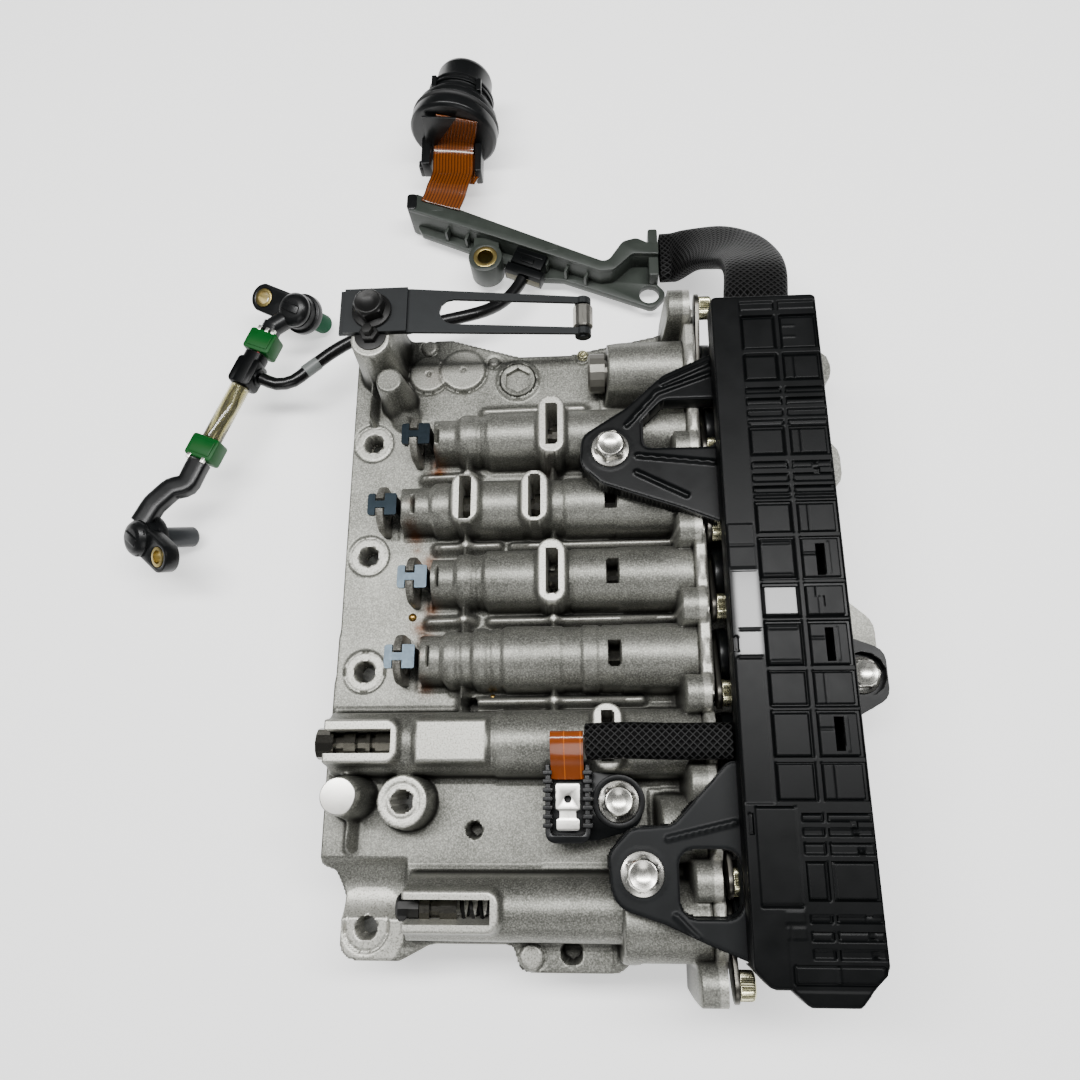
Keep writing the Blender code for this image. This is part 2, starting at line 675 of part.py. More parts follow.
# Small forms of the plate's face: middle and radius
COVER_DISCS = [(-55.1, 114.8, 8.4), (-40.3, 116.2, 9.6)]
DISC_RISE = 1.2
HEX_PLUG = (-17.0, 110.6, 7.4)
HEX_PLUG_RIM = 1.6
HEX_PLUG_RISE = 2.4
HEX_SOCKET_WIDTH = 8.0
DISC_SEAT_DEPTH = 3.0
PINS = [(-55.2, 127.4, 4.4), (-27.3, 119.6, 3.4), (10.2, 120.6, 3.2), (-10.6, -111.0, 4.6),
        (14.6, -109.4, 3.4),
        (-26.0, 96.6, 3.4), (-41.0, 101.0, 2.6), (-57.2, 9.2, 2.6), (-49.6, 66.4, 2.4)]
PIN_RISE = 1.4
OIL_HOLES = [(-31.6, -69.2, 2.7), (3.4, -109.6, 3.8), (-33.6, -24.4, 2.6)]
MOUNT_HOLES = [(-77.2, 83.8), (-76.6, 35.0), (-75.6, -11.4), (-55.6, -59.4), (-69.6, -102.2)]
RAISED_HOLE = MOUNT_HOLES[3]
RAISED_HOLE_RISE = 14.0
RAISED_HOLE_RADII = (10.0, 9.0)
SCOOP_ROW = -89.0
SCOOP_RIGHT = -56.5
SCOOP_RADIUS = 13.0
RIB_COLUMNS = (-36.4, -2.0)
RIB_THICKNESS = 3.2
# Posts: middle, top, radius at the foot and at the top
POSTS = [((-66.6, 101.5), PAD_Z, 8.0, 5.5), ((-63.0, 92.6), PLATE_TOP + 9.0, 6.0, 4.0),
         ((-76.4, -57.6), PAD_Z, 8.2, 6.3)]
GUSSETS = [((-78.0, -76.0), (-74.8, -57.6)), ((-79.0, 88.0), (-75.4, 118.0))]

# The lower casting's underside
CHANNEL_ROWS = [100.0, 50.0, 20.0, -20.0, -70.0, -94.0]
CHANNEL_SPANS = [[(-60.0, -24.0, -8.0), (10.0, 44.0, 8.0), (66.0, 92.0, -6.0)],
                 [(-62.0, -14.0, 8.0), (14.0, 34.0, -8.0), (54.0, 94.0, 6.0)]]
CASING_SCREWS = [(-60.0, 66.0), (-66.0, -36.0), (44.0, -84.0), (86.0, 94.0), (88.0, -60.0)]
COUNTERBORE_RADIUS = 7.2
COUNTERBORE_DEPTH = 8.0
CASING_HEX_WIDTH = 10.0
CASING_HEX_DEPTH = 2.0
PORT_X = 26.0
PORT_SIZE = (9.0, 5.0)


def channel_outline(left, right, row, jog, steps=3):
    """A channel that shifts sideways by a jog along its length, with round ends."""
    half = CHANNEL_WIDTH / 2
    line = []
    for i in range(steps + 1):
        t = i / steps
        blend = t * t * (3 - 2 * t)
        line.append((left + (right - left) * t, row + jog * blend))
    upper = [(x, y + half) for x, y in line]
    lower = [(x, y - half) for x, y in reversed(line)]
    ends = [math.radians(90 - 180 * i / 3) for i in range(1, 3)]
    right_cap = [(right + half * math.cos(a), line[-1][1] + half * math.sin(a)) for a in ends]
    left_cap = [(left - half * math.cos(a), line[0][1] - half * math.sin(a)) for a in ends]
    return upper + right_cap + lower + left_cap


def lower_valve_body(metal):
    """The inner casting: a flat sealing face below with oil channels, and screws up into the outer one."""
    body = slab("lower_valve_body", lower_outline(), 0, LOWER_HEIGHT)
    for i, row in enumerate(CHANNEL_ROWS):
        for left, right, jog in CHANNEL_SPANS[i % 2]:
            outline = channel_outline(left, right, row, jog)
            cut(body, slab("channel", outline, -1, CHANNEL_DEPTH))
    for x, y in CASING_SCREWS:
        cut(body, rod("counterbore", (x, y, -1), (x, y, COUNTERBORE_DEPTH), COUNTERBORE_RADIUS, sides=10))
        join(body, slab("screw_head", hexagon((x, y), CASING_HEX_WIDTH), CASING_HEX_DEPTH,
                        COUNTERBORE_DEPTH + 1))
    for x, y in MOUNT_HOLES:
        cut(body, rod("hole", (x, y, -1), (x, y, LOWER_HEIGHT + 1), MOUNT_HOLE_RADIUS, sides=14))
    x, y = SIDE_LUG
    low = SIDE_LUG_TOP - SIDE_LUG_THICKNESS - BOLT_SHANK_LENGTH - 2
    cut(body, rod("side_hole", (x, y, low), (x, y, LOWER_HEIGHT + 1), BOLT_SHANK_RADIUS + FIT, sides=12))
    return finish(body, metal)


def separator_plate(metal):
    """The steel plate between the castings, with its oil ports."""
    inset = rounded([
        (-74, -108, 6), (-58, -108, 3), (-46, -104, 6), (46, -104, 3), (46, 118, 3), (-20, 118, 6),
        (-46, 126, 6),
        (-82, 126, 5), (-82, 4, 20), (-84, -48, 10), (-84, -78, 2.5), (-74, -90, 6),
    ])
    plate = slab("separator_plate", inset, SEPARATOR_BOTTOM, SEPARATOR_BOTTOM + SEPARATOR_THICKNESS)
    low, high = SEPARATOR_BOTTOM - 1, SEPARATOR_BOTTOM + SEPARATOR_THICKNESS + 1
    for x, y in MOUNT_HOLES:
        cut(plate, rod("hole", (x, y, low), (x, y, high), MOUNT_HOLE_RADIUS + FIT, sides=12))
    for row in SOLENOID_ROWS[1:6]:
        cut(plate, rounded_box("port", (PORT_X, row), PORT_SIZE, 2, low, high, 1))
    return finish(plate, metal)


def barrel_end(body, row, ears_left):
    """The fork at a barrel's left end: two ears, a slot for the key and the key's notch between the ears."""
    slot_left = ears_left + EAR_LENGTH
    slot_right = slot_left + KEY_SLOT_LENGTH
    join(body, lofted("ears", [arch(x, row, EAR_RADIUS, ROOT_Z) for x in (ears_left, slot_left)]))
    base = AXIS_Z - BORE_RADIUS - 1.5
    cut(body,
        box("key_slot", (slot_left, row - EAR_RADIUS - 4, base),
            (slot_right, row + EAR_RADIUS + 4, PAD_Z + 2)),
        box("key_notch", (ears_left - 1, row - 1.8, AXIS_Z), (slot_left + 1, row + 1.8, PAD_Z + 2)))


def window(body, row, x, half_length):
    """A raised frame on a barrel with a slot that shows the spool."""
    join(body, rounded_box("frame", (x, row), (WINDOW_FRAME_WIDTH, 2 * half_length), 5.2,
                           ROOT_Z, PAD_Z))
    length = min(WINDOW_SLOT_LENGTH, 2 * half_length - WINDOW_WALL)
    cut(body, rounded_box("slot", (x, row), (WINDOW_SLOT_WIDTH, length), 1.4, WINDOW_SLOT_FLOOR,
                          PAD_Z + 1, 1))


def open_slot(body, row, left, slot_right, frame_right, slot_width, frame_width, floor):
    """A raised frame at the left end of a bore, with a slot that is open at that end."""
    corners = [(left, row - frame_width / 2, 0), (frame_right, row - frame_width / 2, 4.5),
               (frame_right, row + frame_width / 2, 4.5), (left, row + frame_width / 2, 0)]
    join(body, slab("open_frame", rounded(corners), ROOT_Z, PAD_Z))
    cut(body, box("open_slot", (left - 1, row - slot_width / 2, floor),
                  (slot_right, row + slot_width / 2, PAD_Z + 1)))


def flange(body):
    """The faces on the right that the solenoids bolt to, with a boss for each screw."""
    inner = FLANGE_FACE_X - FLANGE_THICKNESS
    for row in SOLENOID_ROWS:
        join(body, rod("face", (inner, row, AXIS_Z), (FLANGE_FACE_X, row, AXIS_Z), FLANGE_RADIUS, sides=16))
    join(body, box("web", (inner, FLANGE_LOWER, PLATE_BOTTOM),
                   (FLANGE_FACE_X, FLANGE_UPPER, AXIS_Z + FLANGE_WEB_RISE)))
    join(body, box("upper_web", (inner, SCREW_ROWS[4], PLATE_BOTTOM),
                   (FLANGE_FACE_X, SCREW_ROWS[2], AXIS_Z + UPPER_WEB_RISE)))
    left = FLANGE_FACE_X - SCREW_BOSS_LENGTH
    foot_half = SCREW_BOSS_RADIUS - 1.6
    for row in SCREW_ROWS:
        join(body, rod("boss", (left, row, SCREW_Z), (FLANGE_FACE_X, row, SCREW_Z), SCREW_BOSS_RADIUS,
                       sides=10))
        join(body, box("boss_foot", (left, row - foot_half, PLATE_TOP - 1),
                       (FLANGE_FACE_X, row + foot_half, SCREW_Z)))
    start = FLANGE_FACE_X - SCREW_SHANK_LENGTH - 1
    for row in SCREW_ROWS:
        cut(body, rod("tapped", (start, row, SCREW_Z), (FLANGE_FACE_X + 1, row, SCREW_Z),
                      SCREW_SHANK_RADIUS + FIT, sides=8))


def posts(body):
    """The tall posts and pads that stand on the plate."""
    for place, top, foot_radius, radius in POSTS:
        join(body, rod("post", (*place, ROOT_Z), (*place, top), foot_radius, radius))
    for (left, lower), (right, upper) in GUSSETS:
        join(body, box("gusset", (left, lower, ROOT_Z), (right, upper, PLATE_TOP + RIB_RISE)))
    x, y = RAISED_HOLE
    join(body, rod("raised_hole", (x, y, ROOT_Z), (x, y, PLATE_TOP + RAISED_HOLE_RISE), *RAISED_HOLE_RADII))
    arm_seat = ARM_TOP - ARM_THICKNESS - FIT
    for x, y, radius, height in [(*UPPER_LUG, LUG_PILLAR_RADIUS, arm_seat),
                                 (*LOWER_LUG, LUG_PILLAR_RADIUS, arm_seat),
                                 (*TEMP_BOLT, SENSOR_PILLAR_RADIUS,
                                  TEMP_PLATE_TOP - TEMP_PLATE_THICKNESS - FIT)]:
        join(body, rod("pillar", (x, y, ROOT_Z), (x, y, height), radius + 1.0, radius, 12))
    for place, spread in ((DETENT_POST, 2.6), (DETENT_PIN, 2.0)):
        join(body, rod("detent_post", (*place, ROOT_Z), (*place, DETENT_PAD_Z), DETENT_POST_RADIUS + spread,
                       DETENT_POST_RADIUS))
    join(body, rod("locating_pin", (*DETENT_PIN, DETENT_PAD_Z - 1.0),
                   (*DETENT_PIN, DETENT_PAD_Z + LOCATING_PIN_RISE), LOCATING_PIN_RADIUS, sides=12))


def bolt_holes(body):
    """The threaded holes that the module's, the sensor's and the detent's bolts go down into."""
    seats = [(UPPER_LUG, ARM_TOP, 1.0), (LOWER_LUG, ARM_TOP, 1.0), (TEMP_BOLT, TEMP_PLATE_TOP, 1.0),
             (DETENT_POST, DETENT_PAD_Z, DETENT_BOLT_SCALE)]
    for (x, y), seat, scale in seats:
        low = seat - BOLT_SHANK_LENGTH * scale - 1.0
        cut(body, rod("bolt_hole", (x, y, low), (x, y, seat + 2), BOLT_SHANK_RADIUS * scale + FIT, sides=12))


def face_details(body):
    """Spot faces, small bosses, ribs between the barrels and the oil holes of the plate's face."""
    join(body, rounded_box("label_pad", ((LABEL_LEFT + LABEL_RIGHT) / 2, F_ROW),
                           (LABEL_RIGHT - LABEL_LEFT, LABEL_WIDTH), 0.8, PLATE_TOP, PAD_Z - 0.6, 2))
    rows = [BARREL_B[0], BARREL_C[0], BARREL_D[0], BARREL_E[0], F_ROW]
    half = RIB_THICKNESS / 2
    for upper, lower in zip(rows, rows[1:]):
        for x in RIB_COLUMNS:
            join(body, box("rib", (x - half, lower + SPOOL_RADIUS, PLATE_TOP - 2),
                           (x + half, upper - SPOOL_RADIUS, PLATE_TOP + RIB_RISE + 2)))
    plug_x, plug_y, seat = HEX_PLUG
    for x, y, radius in (*COVER_DISCS, (plug_x, plug_y, seat + HEX_PLUG_RIM)):
        join(body, rod("disc", (x, y, PLATE_TOP - 2), (x, y, PLATE_TOP + DISC_RISE), radius, sides=16))
    for x, y, radius in PINS:
        join(body, rod("pin", (x, y, PLATE_TOP - 2), (x, y, PLATE_TOP + PIN_RISE), radius, sides=8))
    for x, y, radius in OIL_HOLES:
        cut(body, rod("oil_hole", (x, y, PLATE_BOTTOM - 1), (x, y, PLATE_TOP + 1), radius, sides=10))
    cut(body, rod("plug_seat", (plug_x, plug_y, PLATE_TOP - DISC_SEAT_DEPTH),
                  (plug_x, plug_y, PLATE_TOP + 3),
                  seat, sides=16))
    cut(body, rod("scoop", (F_LEFT - 6, SCOOP_ROW, AXIS_Z), (SCOOP_RIGHT, SCOOP_ROW, AXIS_Z), SCOOP_RADIUS))
    for x, y in MOUNT_HOLES:
        cut(body, rod("hole", (x, y, PLATE_BOTTOM - 1), (x, y, PAD_Z), MOUNT_HOLE_RADIUS, sides=14))
        if (x, y) != RAISED_HOLE:
            cut(body, rod("spot_face", (x, y, PLATE_TOP - SPOT_FACE_DEPTH), (x, y, PLATE_TOP + 6),
                          SPOT_FACE_RADIUS))


def bore(left, right, row, radius=BORE_RADIUS):
    """The cutter of a round bore along X."""
    return rod("bore", (left, row, AXIS_Z), (right, row, AXIS_Z), radius, sides=12)


def bores(body):
    """The valve bores themselves, with windows, slots and ports cut down to them."""
    for row, x in SMALL_PORTS:
        cut(body, rounded_box("small_port", (x, row), (4.2, 9.0), 1.2, AXIS_Z, PAD_Z, 1))
    for row, ears_left, _ in CONTROL_BARRELS.values():
        cut(body, bore(ears_left - 1, FLANGE_FACE_X + 1, row))
    cut(body, bore(A_LEFT - 1, FLANGE_FACE_X + 1, A_ROW))
    cut(body, bore(F_LEFT - 6, F_BORE_END, F_ROW, F_BORE_RADIUS))
    nose_left = FLANGE_FACE_X - 10
    for row in (F_ROW, H_ROW, SOLENOID_ROWS[7]):
        cut(body, bore(nose_left, FLANGE_FACE_X + 1, row))
    cut(body, bore(G_LEFT - 6, G_SPRING_RIGHT + FIT, G_ROW))


def outer_valve_body(metal):
    """The main casting: plate, barrels, frames, posts and solenoid flange, then what is cut into it."""
    body = slab("outer_valve_body", plate_outline(), PLATE_BOTTOM, PLATE_TOP)
    for key, (row, ears_left, steps) in CONTROL_BARRELS.items():
        start = ears_left + EAR_LENGTH + KEY_SLOT_LENGTH
        join(body, barrel("barrel_" + key, row, start, steps_from(start, steps)))
    join(body, barrel("barrel_a", A_ROW, A_LEFT, [(26.0, 9.6), (51.0, A_RADIUS)]))
    join(body, barrel("barrel_f", F_ROW, F_LEFT, [(-22.0, 11.4), (51.0, F_RADIUS)]))
    join(body, barrel("barrel_g", G_ROW, G_LEFT, [(G_HEAD_X, G_RADIUS), (30.0, G_RADIUS + 0.6)]))
    join(body, barrel("barrel_g_head", SOLENOID_ROWS[7], G_HEAD_X, [(51.0, G_HEAD_RADIUS)]))
    join(body, barrel("barrel_h", H_ROW, H_LEFT, [(51.0, H_RADIUS)]))
    flange(body)
    posts(body)
    open_slot(body, F_ROW, F_LEFT, F_SLOT_RIGHT, F_FRAME_RIGHT, F_SLOT_WIDTH, F_FRAME_WIDTH, AXIS_Z)
    open_slot(body, G_ROW, G_LEFT, G_SLOT_RIGHT, G_FRAME_RIGHT, G_SLOT_WIDTH, G_FRAME_WIDTH, AXIS_Z)
    for row, x, half_length in WINDOWS:
        window(body, row, x, half_length)
    window(body, F_ROW + 1.5, F_WINDOW_X, 12.0)
    for row, ears_left, _ in CONTROL_BARRELS.values():
        barrel_end(body, row, ears_left)
    face_details(body)
    bolt_holes(body)
    bores(body)
    return finish(body, metal)


def steps_from(start, steps):
    """A barrel's steps, with those that end before its start left out."""
    return [(x, radius) for x, radius in steps if x > start + 1.0]


def end_plug(key, row, ears_left, metal):
    """The round plug that closes a bore, behind its key."""
    left = ears_left + EAR_LENGTH + KEY_SLOT_LENGTH + PLUG_GAP
    right = left + PLUG_LENGTH
    profile = [(0, 0), (0, SPOOL_RADIUS - PLUG_BEVEL), (PLUG_BEVEL, SPOOL_RADIUS),
               (right - left, SPOOL_RADIUS), (right - left, 0)]
    return finish(turned("end_plug_" + key, profile, (left, row, AXIS_Z), (1, 0, 0), 12), metal)


def retainer_clip(key, row, ears_left, metal):
    """The folded key: a top plate with a waist between the ears, and a leg down in the slot."""
    slot_left = ears_left + EAR_LENGTH
    left, right = ears_left - KEY_OVERHANG, slot_left + KEY_SLOT_LENGTH - 0.5
    waist_left, waist_right = ears_left - FIT, slot_left + FIT
    half, waist = KEY_HALF_WIDTH, KEY_WAIST
    corners = [(left, row - half, 1.0), (waist_left, row - half, 0), (waist_left, row - waist, 0),
               (waist_right, row - waist, 0), (waist_right, row - half, 0), (right, row - half, 0.6),
               (right, row + half, 0.6), (waist_right, row + half, 0), (waist_right, row + waist, 0),
               (waist_left, row + waist, 0), (waist_left, row + half, 0), (left, row + half, 1.0)]
    top = AXIS_Z + KEY_RISE
    clip = slab("retainer_clip_" + key, rounded(corners, 2), top - KEY_THICKNESS, top)
    leg_left = right - KEY_THICKNESS
    leg_low = AXIS_Z - BORE_RADIUS + 0.5
    join(clip, box("leg", (leg_left, row - KEY_LEG_HALF, leg_low), (right, row + KEY_LEG_HALF, top - 0.2)))
    join(clip, box("toe", (left, row - KEY_TOE_HALF, AXIS_Z + 1),
                   (left + KEY_THICKNESS, row + KEY_TOE_HALF, top - 0.2)))
    return finish(clip, metal)


def spool_profile(length, lands, radius=SPOOL_RADIUS, waist=SPOOL_WAIST):
    """A spool's outline: lands of full radius with waists between them, each land (start, end)."""
    profile = [(0, 0), (0, waist)]
    for start, end in lands:
        profile += [(start, waist), (start, radius), (end, radius), (end, waist)]
    profile += [(length, waist), (length, 0)]
    kept = [profile[0]]
    for point in profile[1:]:
        if math.dist(point, kept[-1]) > 1e-6:
            kept.append(point)
    return kept


def spool_left(ears_left):
    """Where a control spool starts: behind its plug and its spring."""
    return ears_left + EAR_LENGTH + KEY_SLOT_LENGTH + PLUG_GAP + PLUG_LENGTH + SPRING_LENGTH + 2 * FIT


def control_spool(key, row, ears_left, metal):
    left = spool_left(ears_left)
    length = SPOOL_END_X - left
    middle = length * SPOOL_MIDDLE_SHARE
    lands = [(0.0, SPOOL_END_LAND), (middle, middle + SPOOL_MIDDLE_LAND), (length - SPOOL_END_LAND, length)]
    part = turned("spool_" + key, spool_profile(length, lands), (left, row, AXIS_Z), (1, 0, 0), 12)
    return finish(baked(part), metal, (left, row, AXIS_Z))


def coil(name, row, left, length, turns, metal):
    """A compression spring along X, its helix worked out turn by turn."""
    per_turn = 8
    count = turns * per_turn
    reach = length - 2 * SPRING_WIRE
    points = []
    for i in range(count + 1):
        angle = 2 * math.pi * i / per_turn
        points.append((left + SPRING_WIRE + reach * i / count, row + SPRING_RADIUS * math.cos(angle),
                       AXIS_Z + SPRING_RADIUS * math.sin(angle)))
    return finish(tube(name, points, SPRING_WIRE, 0), metal)


def manual_valve(metal):
    """The selector spool, with the groove at its left end that the lever's pin works in."""
    radius = F_BORE_RADIUS - SLIDE_FIT
    length = MANUAL_VALVE_LENGTH
    lands = [*MANUAL_LANDS, (length - MANUAL_LAST_LAND, length)]
    profile = spool_profile(length, lands, radius, MANUAL_WAIST)
    start = (MANUAL_VALVE_LEFT, F_ROW, AXIS_Z)
    return finish(baked(turned("manual_valve", profile, start, (1, 0, 0), 12)), metal, start)


def regulator(dark, steel):
    """Bore G's plug, spool and spring."""
    nose = G_PLUG_NOSE_RADIUS
    plug = [(0, 0), (0, nose - 1), (1, nose), (G_PLUG_NOSE, nose), (G_PLUG_NOSE, SPOOL_RADIUS),
            (G_PLUG_LENGTH, SPOOL_RADIUS), (G_PLUG_LENGTH, 0)]
    finish(turned("end_plug_g", plug, (G_PLUG_LEFT, G_ROW, AXIS_Z), (1, 0, 0), 12), steel)
    left = G_PLUG_LEFT + G_PLUG_LENGTH + FIT
    length = G_SPRING_LEFT - FIT - left
    lands = [(0.0, G_FIRST_LAND), (G_GROOVE_END, length)]
    spool = turned("spool_g", spool_profile(length, lands), (left, G_ROW, AXIS_Z), (1, 0, 0), 14)
    finish(baked(spool), dark, (left, G_ROW, AXIS_Z))
    coil("spring_g", G_ROW, G_SPRING_LEFT, G_SPRING_RIGHT - G_SPRING_LEFT, G_SPRING_TURNS, steel)


def solenoid(index, row, screw_row, black):
    """One solenoid: nose in the bore, neck, can and plug socket, with its retaining tab and cap screw."""
    nose_left = SPOOL_END_X + FIT if index in LONG_NOSES else FLANGE_FACE_X - SHORT_NOSE
    face = FLANGE_FACE_X + FIT
    tab_right = face + TAB_THICKNESS
    can = [(nose_left, 0), (nose_left, SOLENOID_NOSE_RADIUS), (face, SOLENOID_NOSE_RADIUS),
           (face, SOLENOID_NECK_RADIUS), (SOLENOID_CAN_LEFT, SOLENOID_NECK_RADIUS),
           (SOLENOID_CAN_LEFT, SOLENOID_CAN_RADIUS), (SOLENOID_CAN_RIGHT, SOLENOID_CAN_RADIUS),
           (SOLENOID_CAN_RIGHT, 0)]
    part = baked(turned("solenoid_%d" % index, can, (0, row, AXIS_Z), (1, 0, 0), 12))
    tab = tab_outline(row, screw_row)
    upright = Matrix(((0, 0, 1, 0), (1, 0, 0, 0), (0, 1, 0, 0), (0, 0, 0, 1)))
    join(part, slab("tab", tab, face, tab_right, upright))
    join(part, box("socket", (SOCKET_LEFT, row - SOCKET_WIDTH / 2, AXIS_Z + SOCKET_FOOT),
                   (SOCKET_RIGHT, row + SOCKET_WIDTH / 2, AXIS_Z + SOCKET_RISE)))
    head_end = tab_right + SCREW_HEAD_LENGTH
    join(part,
         rod("head", (tab_right - SCREW_HEAD_INSET, screw_row, SCREW_Z), (head_end, screw_row, SCREW_Z),
             SCREW_HEAD_RADIUS, sides=12),
         rod("shank", (FLANGE_FACE_X - SCREW_SHANK_LENGTH, screw_row, SCREW_Z),
             (tab_right, screw_row, SCREW_Z), SCREW_SHANK_RADIUS, sides=8))
    return finish(part, black)


def tab_outline(row, screw_row):
    """The outline in Y and Z: a circle round the neck, one round the screw, and lines that touch both."""
    near, far = TAB_NEAR_RADIUS, TAB_FAR_RADIUS
    offset = Vector((screw_row - row, SCREW_Z - AXIS_Z))
    heading = math.atan2(offset.y, offset.x)
    lean = math.acos((near - far) / offset.length)
    outline = []
    for i in range(9):
        angle = heading + lean + (2 * math.pi - 2 * lean) * i / 8
        outline.append((row + near * math.cos(angle), AXIS_Z + near * math.sin(angle)))
    for i in range(6):
        angle = heading - lean + 2 * lean * i / 5
        outline.append((screw_row + far * math.cos(angle), SCREW_Z + far * math.sin(angle)))
    return outline


def module_outline():
    """The cover's outline: straight sides that spread a little downwards, and a tip at its lower end."""
    tip = MODULE_LOWER - MODULE_TIP_REACH
    return rounded([
        (MODULE_LEFT, MODULE_LOWER + 5, 3), (MODULE_LEFT + 5, MODULE_LOWER, 3),
        (MODULE_TIP_LEFT, MODULE_LOWER, 1),
        (MODULE_TIP_LEFT + 5.2, tip, 3), (MODULE_TIP_RIGHT - 4, tip, 3), (MODULE_TIP_RIGHT, MODULE_LOWER, 1),
        (MODULE_RIGHT + MODULE_SPREAD - 1, MODULE_LOWER + 4, 2),
        (MODULE_RIGHT + MODULE_SPREAD, MODULE_LOWER + 7, 1),
        (MODULE_RIGHT, MODULE_UPPER, 2), (MODULE_LEFT, MODULE_UPPER, 2)], 2)


def upper_arm_outline():
    x, y = UPPER_LUG
    return rounded([
        (x - 10.5, y + 6, 6), (x + 3.5, y + 15, 8), (MODULE_LEFT + 1, y + 34.6, 1),
        (MODULE_LEFT + 1, y - 29.8, 1),
        (x + 24.5, y - 23.4, 10), (x - 3.5, y - 13.5, 8), (x - 11.5, y - 6, 6)])


def lower_arm_outline():
    x, y = LOWER_LUG
    inner = y + 35.3
    return rounded([
        (x - 11, y + 6, 6), (x - 3.4, y + 14, 6), (x + 10.6, y + 15, 6), (MODULE_LEFT - 2.6, inner, 4),
        (MODULE_LEFT + 1, inner, 0), (MODULE_LEFT + 1, ARM_FOOT_Y, 0), (x + 19.6, ARM_FOOT_Y + 5.4, 4),
        (x + 6.6, y - 15, 8), (x - 9.4, y - 10, 8)])


def cover_cells(cover):
    """Shallow cells in the cover's top, with three slots right through it and a bare field for a label."""
    over = MODULE_TOP + 1
    for rows, columns in ((CELL_ROWS, CELL_COLUMNS), (LOW_CELL_ROWS, LOW_CELL_COLUMNS)):
        for low, high in rows:
            for left, right in columns:
                cut(cover, box("cell", (left, low, MODULE_TOP - CELL_DEPTH), (right, high, over)))
    width, length = CELL_SLOT_SIZE
    for x, y in CELL_SLOTS:
        cut(cover, box("cell_slot", (x - width / 2, y - length / 2, MODULE_TOP - 2 * MODULE_WALL),
                       (x + width / 2, y + length / 2, over)))
    (left, high), (right, low) = LABEL_FIELD
    cut(cover, box("label_field", (left, low, MODULE_TOP - LABEL_FIELD_DEPTH), (right, high, over)))


def side_lug(cover):
    """The lug low on the cover's right side, with a recess for its bolt."""
    x, y = SIDE_LUG
    skirt_left = MODULE_RIGHT - MODULE_WALL
    inner, outer = MODULE_RIGHT - 2, x + 8.6
    outline = rounded([(inner, y - 19, 0), (MODULE_RIGHT + 5.4, y - 19, 3), (outer, y - 9, 6),
                       (outer, y + 9, 6),
                       (MODULE_RIGHT + 5.4, y + 16, 3), (inner, y + 16, 0)])
    join(cover, slab("side_lug", outline, SIDE_LUG_TOP - SIDE_LUG_THICKNESS + 0.4, SIDE_LUG_TOP + 4))
    cut(cover, rod("lug_recess", (x, y, SIDE_LUG_TOP), (x, y, SIDE_LUG_TOP + 9), BOLT_FLANGE_RADIUS + 1.4))
    join(cover, box("lug_wall", (skirt_left, y - 18, SIDE_LUG_TOP - 2),
                    (MODULE_RIGHT, y + 15, MODULE_SKIRT_BOTTOM + 6)))


def module_cover(black):
    """The lead-frame cover: a shell open below, a skirt on its right, two arms and a side lug."""
    low = MODULE_TOP - MODULE_DEPTH
    cover = slab("module_cover", module_outline(), low, MODULE_TOP)
    skirt_left = MODULE_RIGHT - MODULE_WALL
    join(cover, box("skirt", (skirt_left, MODULE_LOWER + 9, MODULE_SKIRT_BOTTOM),
                    (MODULE_RIGHT, MODULE_UPPER - 2, MODULE_TOP - 3)))
    arm_low = ARM_TOP - ARM_THICKNESS
    for outline in (upper_arm_outline(), lower_arm_outline()):
        join(cover, slab("arm", outline, arm_low, ARM_TOP))
    cut(cover, box("flange_relief", (FLANGE_FACE_X - SCREW_BOSS_LENGTH - 1.3, MODULE_LOWER - 4, arm_low - 1),
                   (MODULE_LEFT + 2, MODULE_UPPER, SCREW_Z + SCREW_BOSS_RADIUS + FIT)))
    for (place, size), radius in ((UPPER_ARM_GAP, 3), (LOWER_ARM_GAP, 5)):
        cut(cover, rounded_box("arm_gap", place, size, radius, arm_low - 2, ARM_TOP + 4, 3))
    inner_low, inner_high = MODULE_LOWER + MODULE_WALL, MODULE_UPPER - MODULE_WALL
    cut(cover, box("cavity", (MODULE_LEFT + 2, inner_low + 4, low - 3),
                   (skirt_left, inner_high, MODULE_TOP - MODULE_WALL - CELL_DEPTH)))
    cover_cells(cover)
    side_lug(cover)
    for (x, y), top in ((UPPER_LUG, ARM_TOP), (LOWER_LUG, ARM_TOP), (SIDE_LUG, SIDE_LUG_TOP)):
        cut(cover, rod("bolt_hole", (x, y, top - 8), (x, y, top + 2), BOLT_SHANK_RADIUS + 0.5, sides=16))
    middle, width = SLEEVE_PORT
    cut(cover, rounded_box("sleeve_port", (middle, MODULE_UPPER), (width, 8), 1, low - 1, MODULE_TOP - 5, 1))
    return finish(cover, black)


def flange_bolt(name, place, seat, metal, scale=1.0):
    """A hexagon flange bolt standing on a seat."""
    x, y = place
    low = seat + FIT
    shank = BOLT_SHANK_LENGTH * scale
    profile = [(-shank, 0), (-shank, BOLT_SHANK_RADIUS * scale), (0, BOLT_SHANK_RADIUS * scale),
               (0, BOLT_FLANGE_RADIUS * scale), (BOLT_FLANGE_HEIGHT * 0.6, BOLT_FLANGE_RADIUS * scale),
               (BOLT_FLANGE_HEIGHT * 1.4, BOLT_HEX_WIDTH * scale * 0.5), (BOLT_FLANGE_HEIGHT * 1.4, 0)]
    bolt = baked(turned(name, profile, (x, y, low), (0, 0, 1), 16))
    top = low + BOLT_HEAD_HEIGHT * scale
    join(bolt, slab("hex", hexagon(place, BOLT_HEX_WIDTH * scale), low + 0.6, top))
    return finish(bolt, metal)


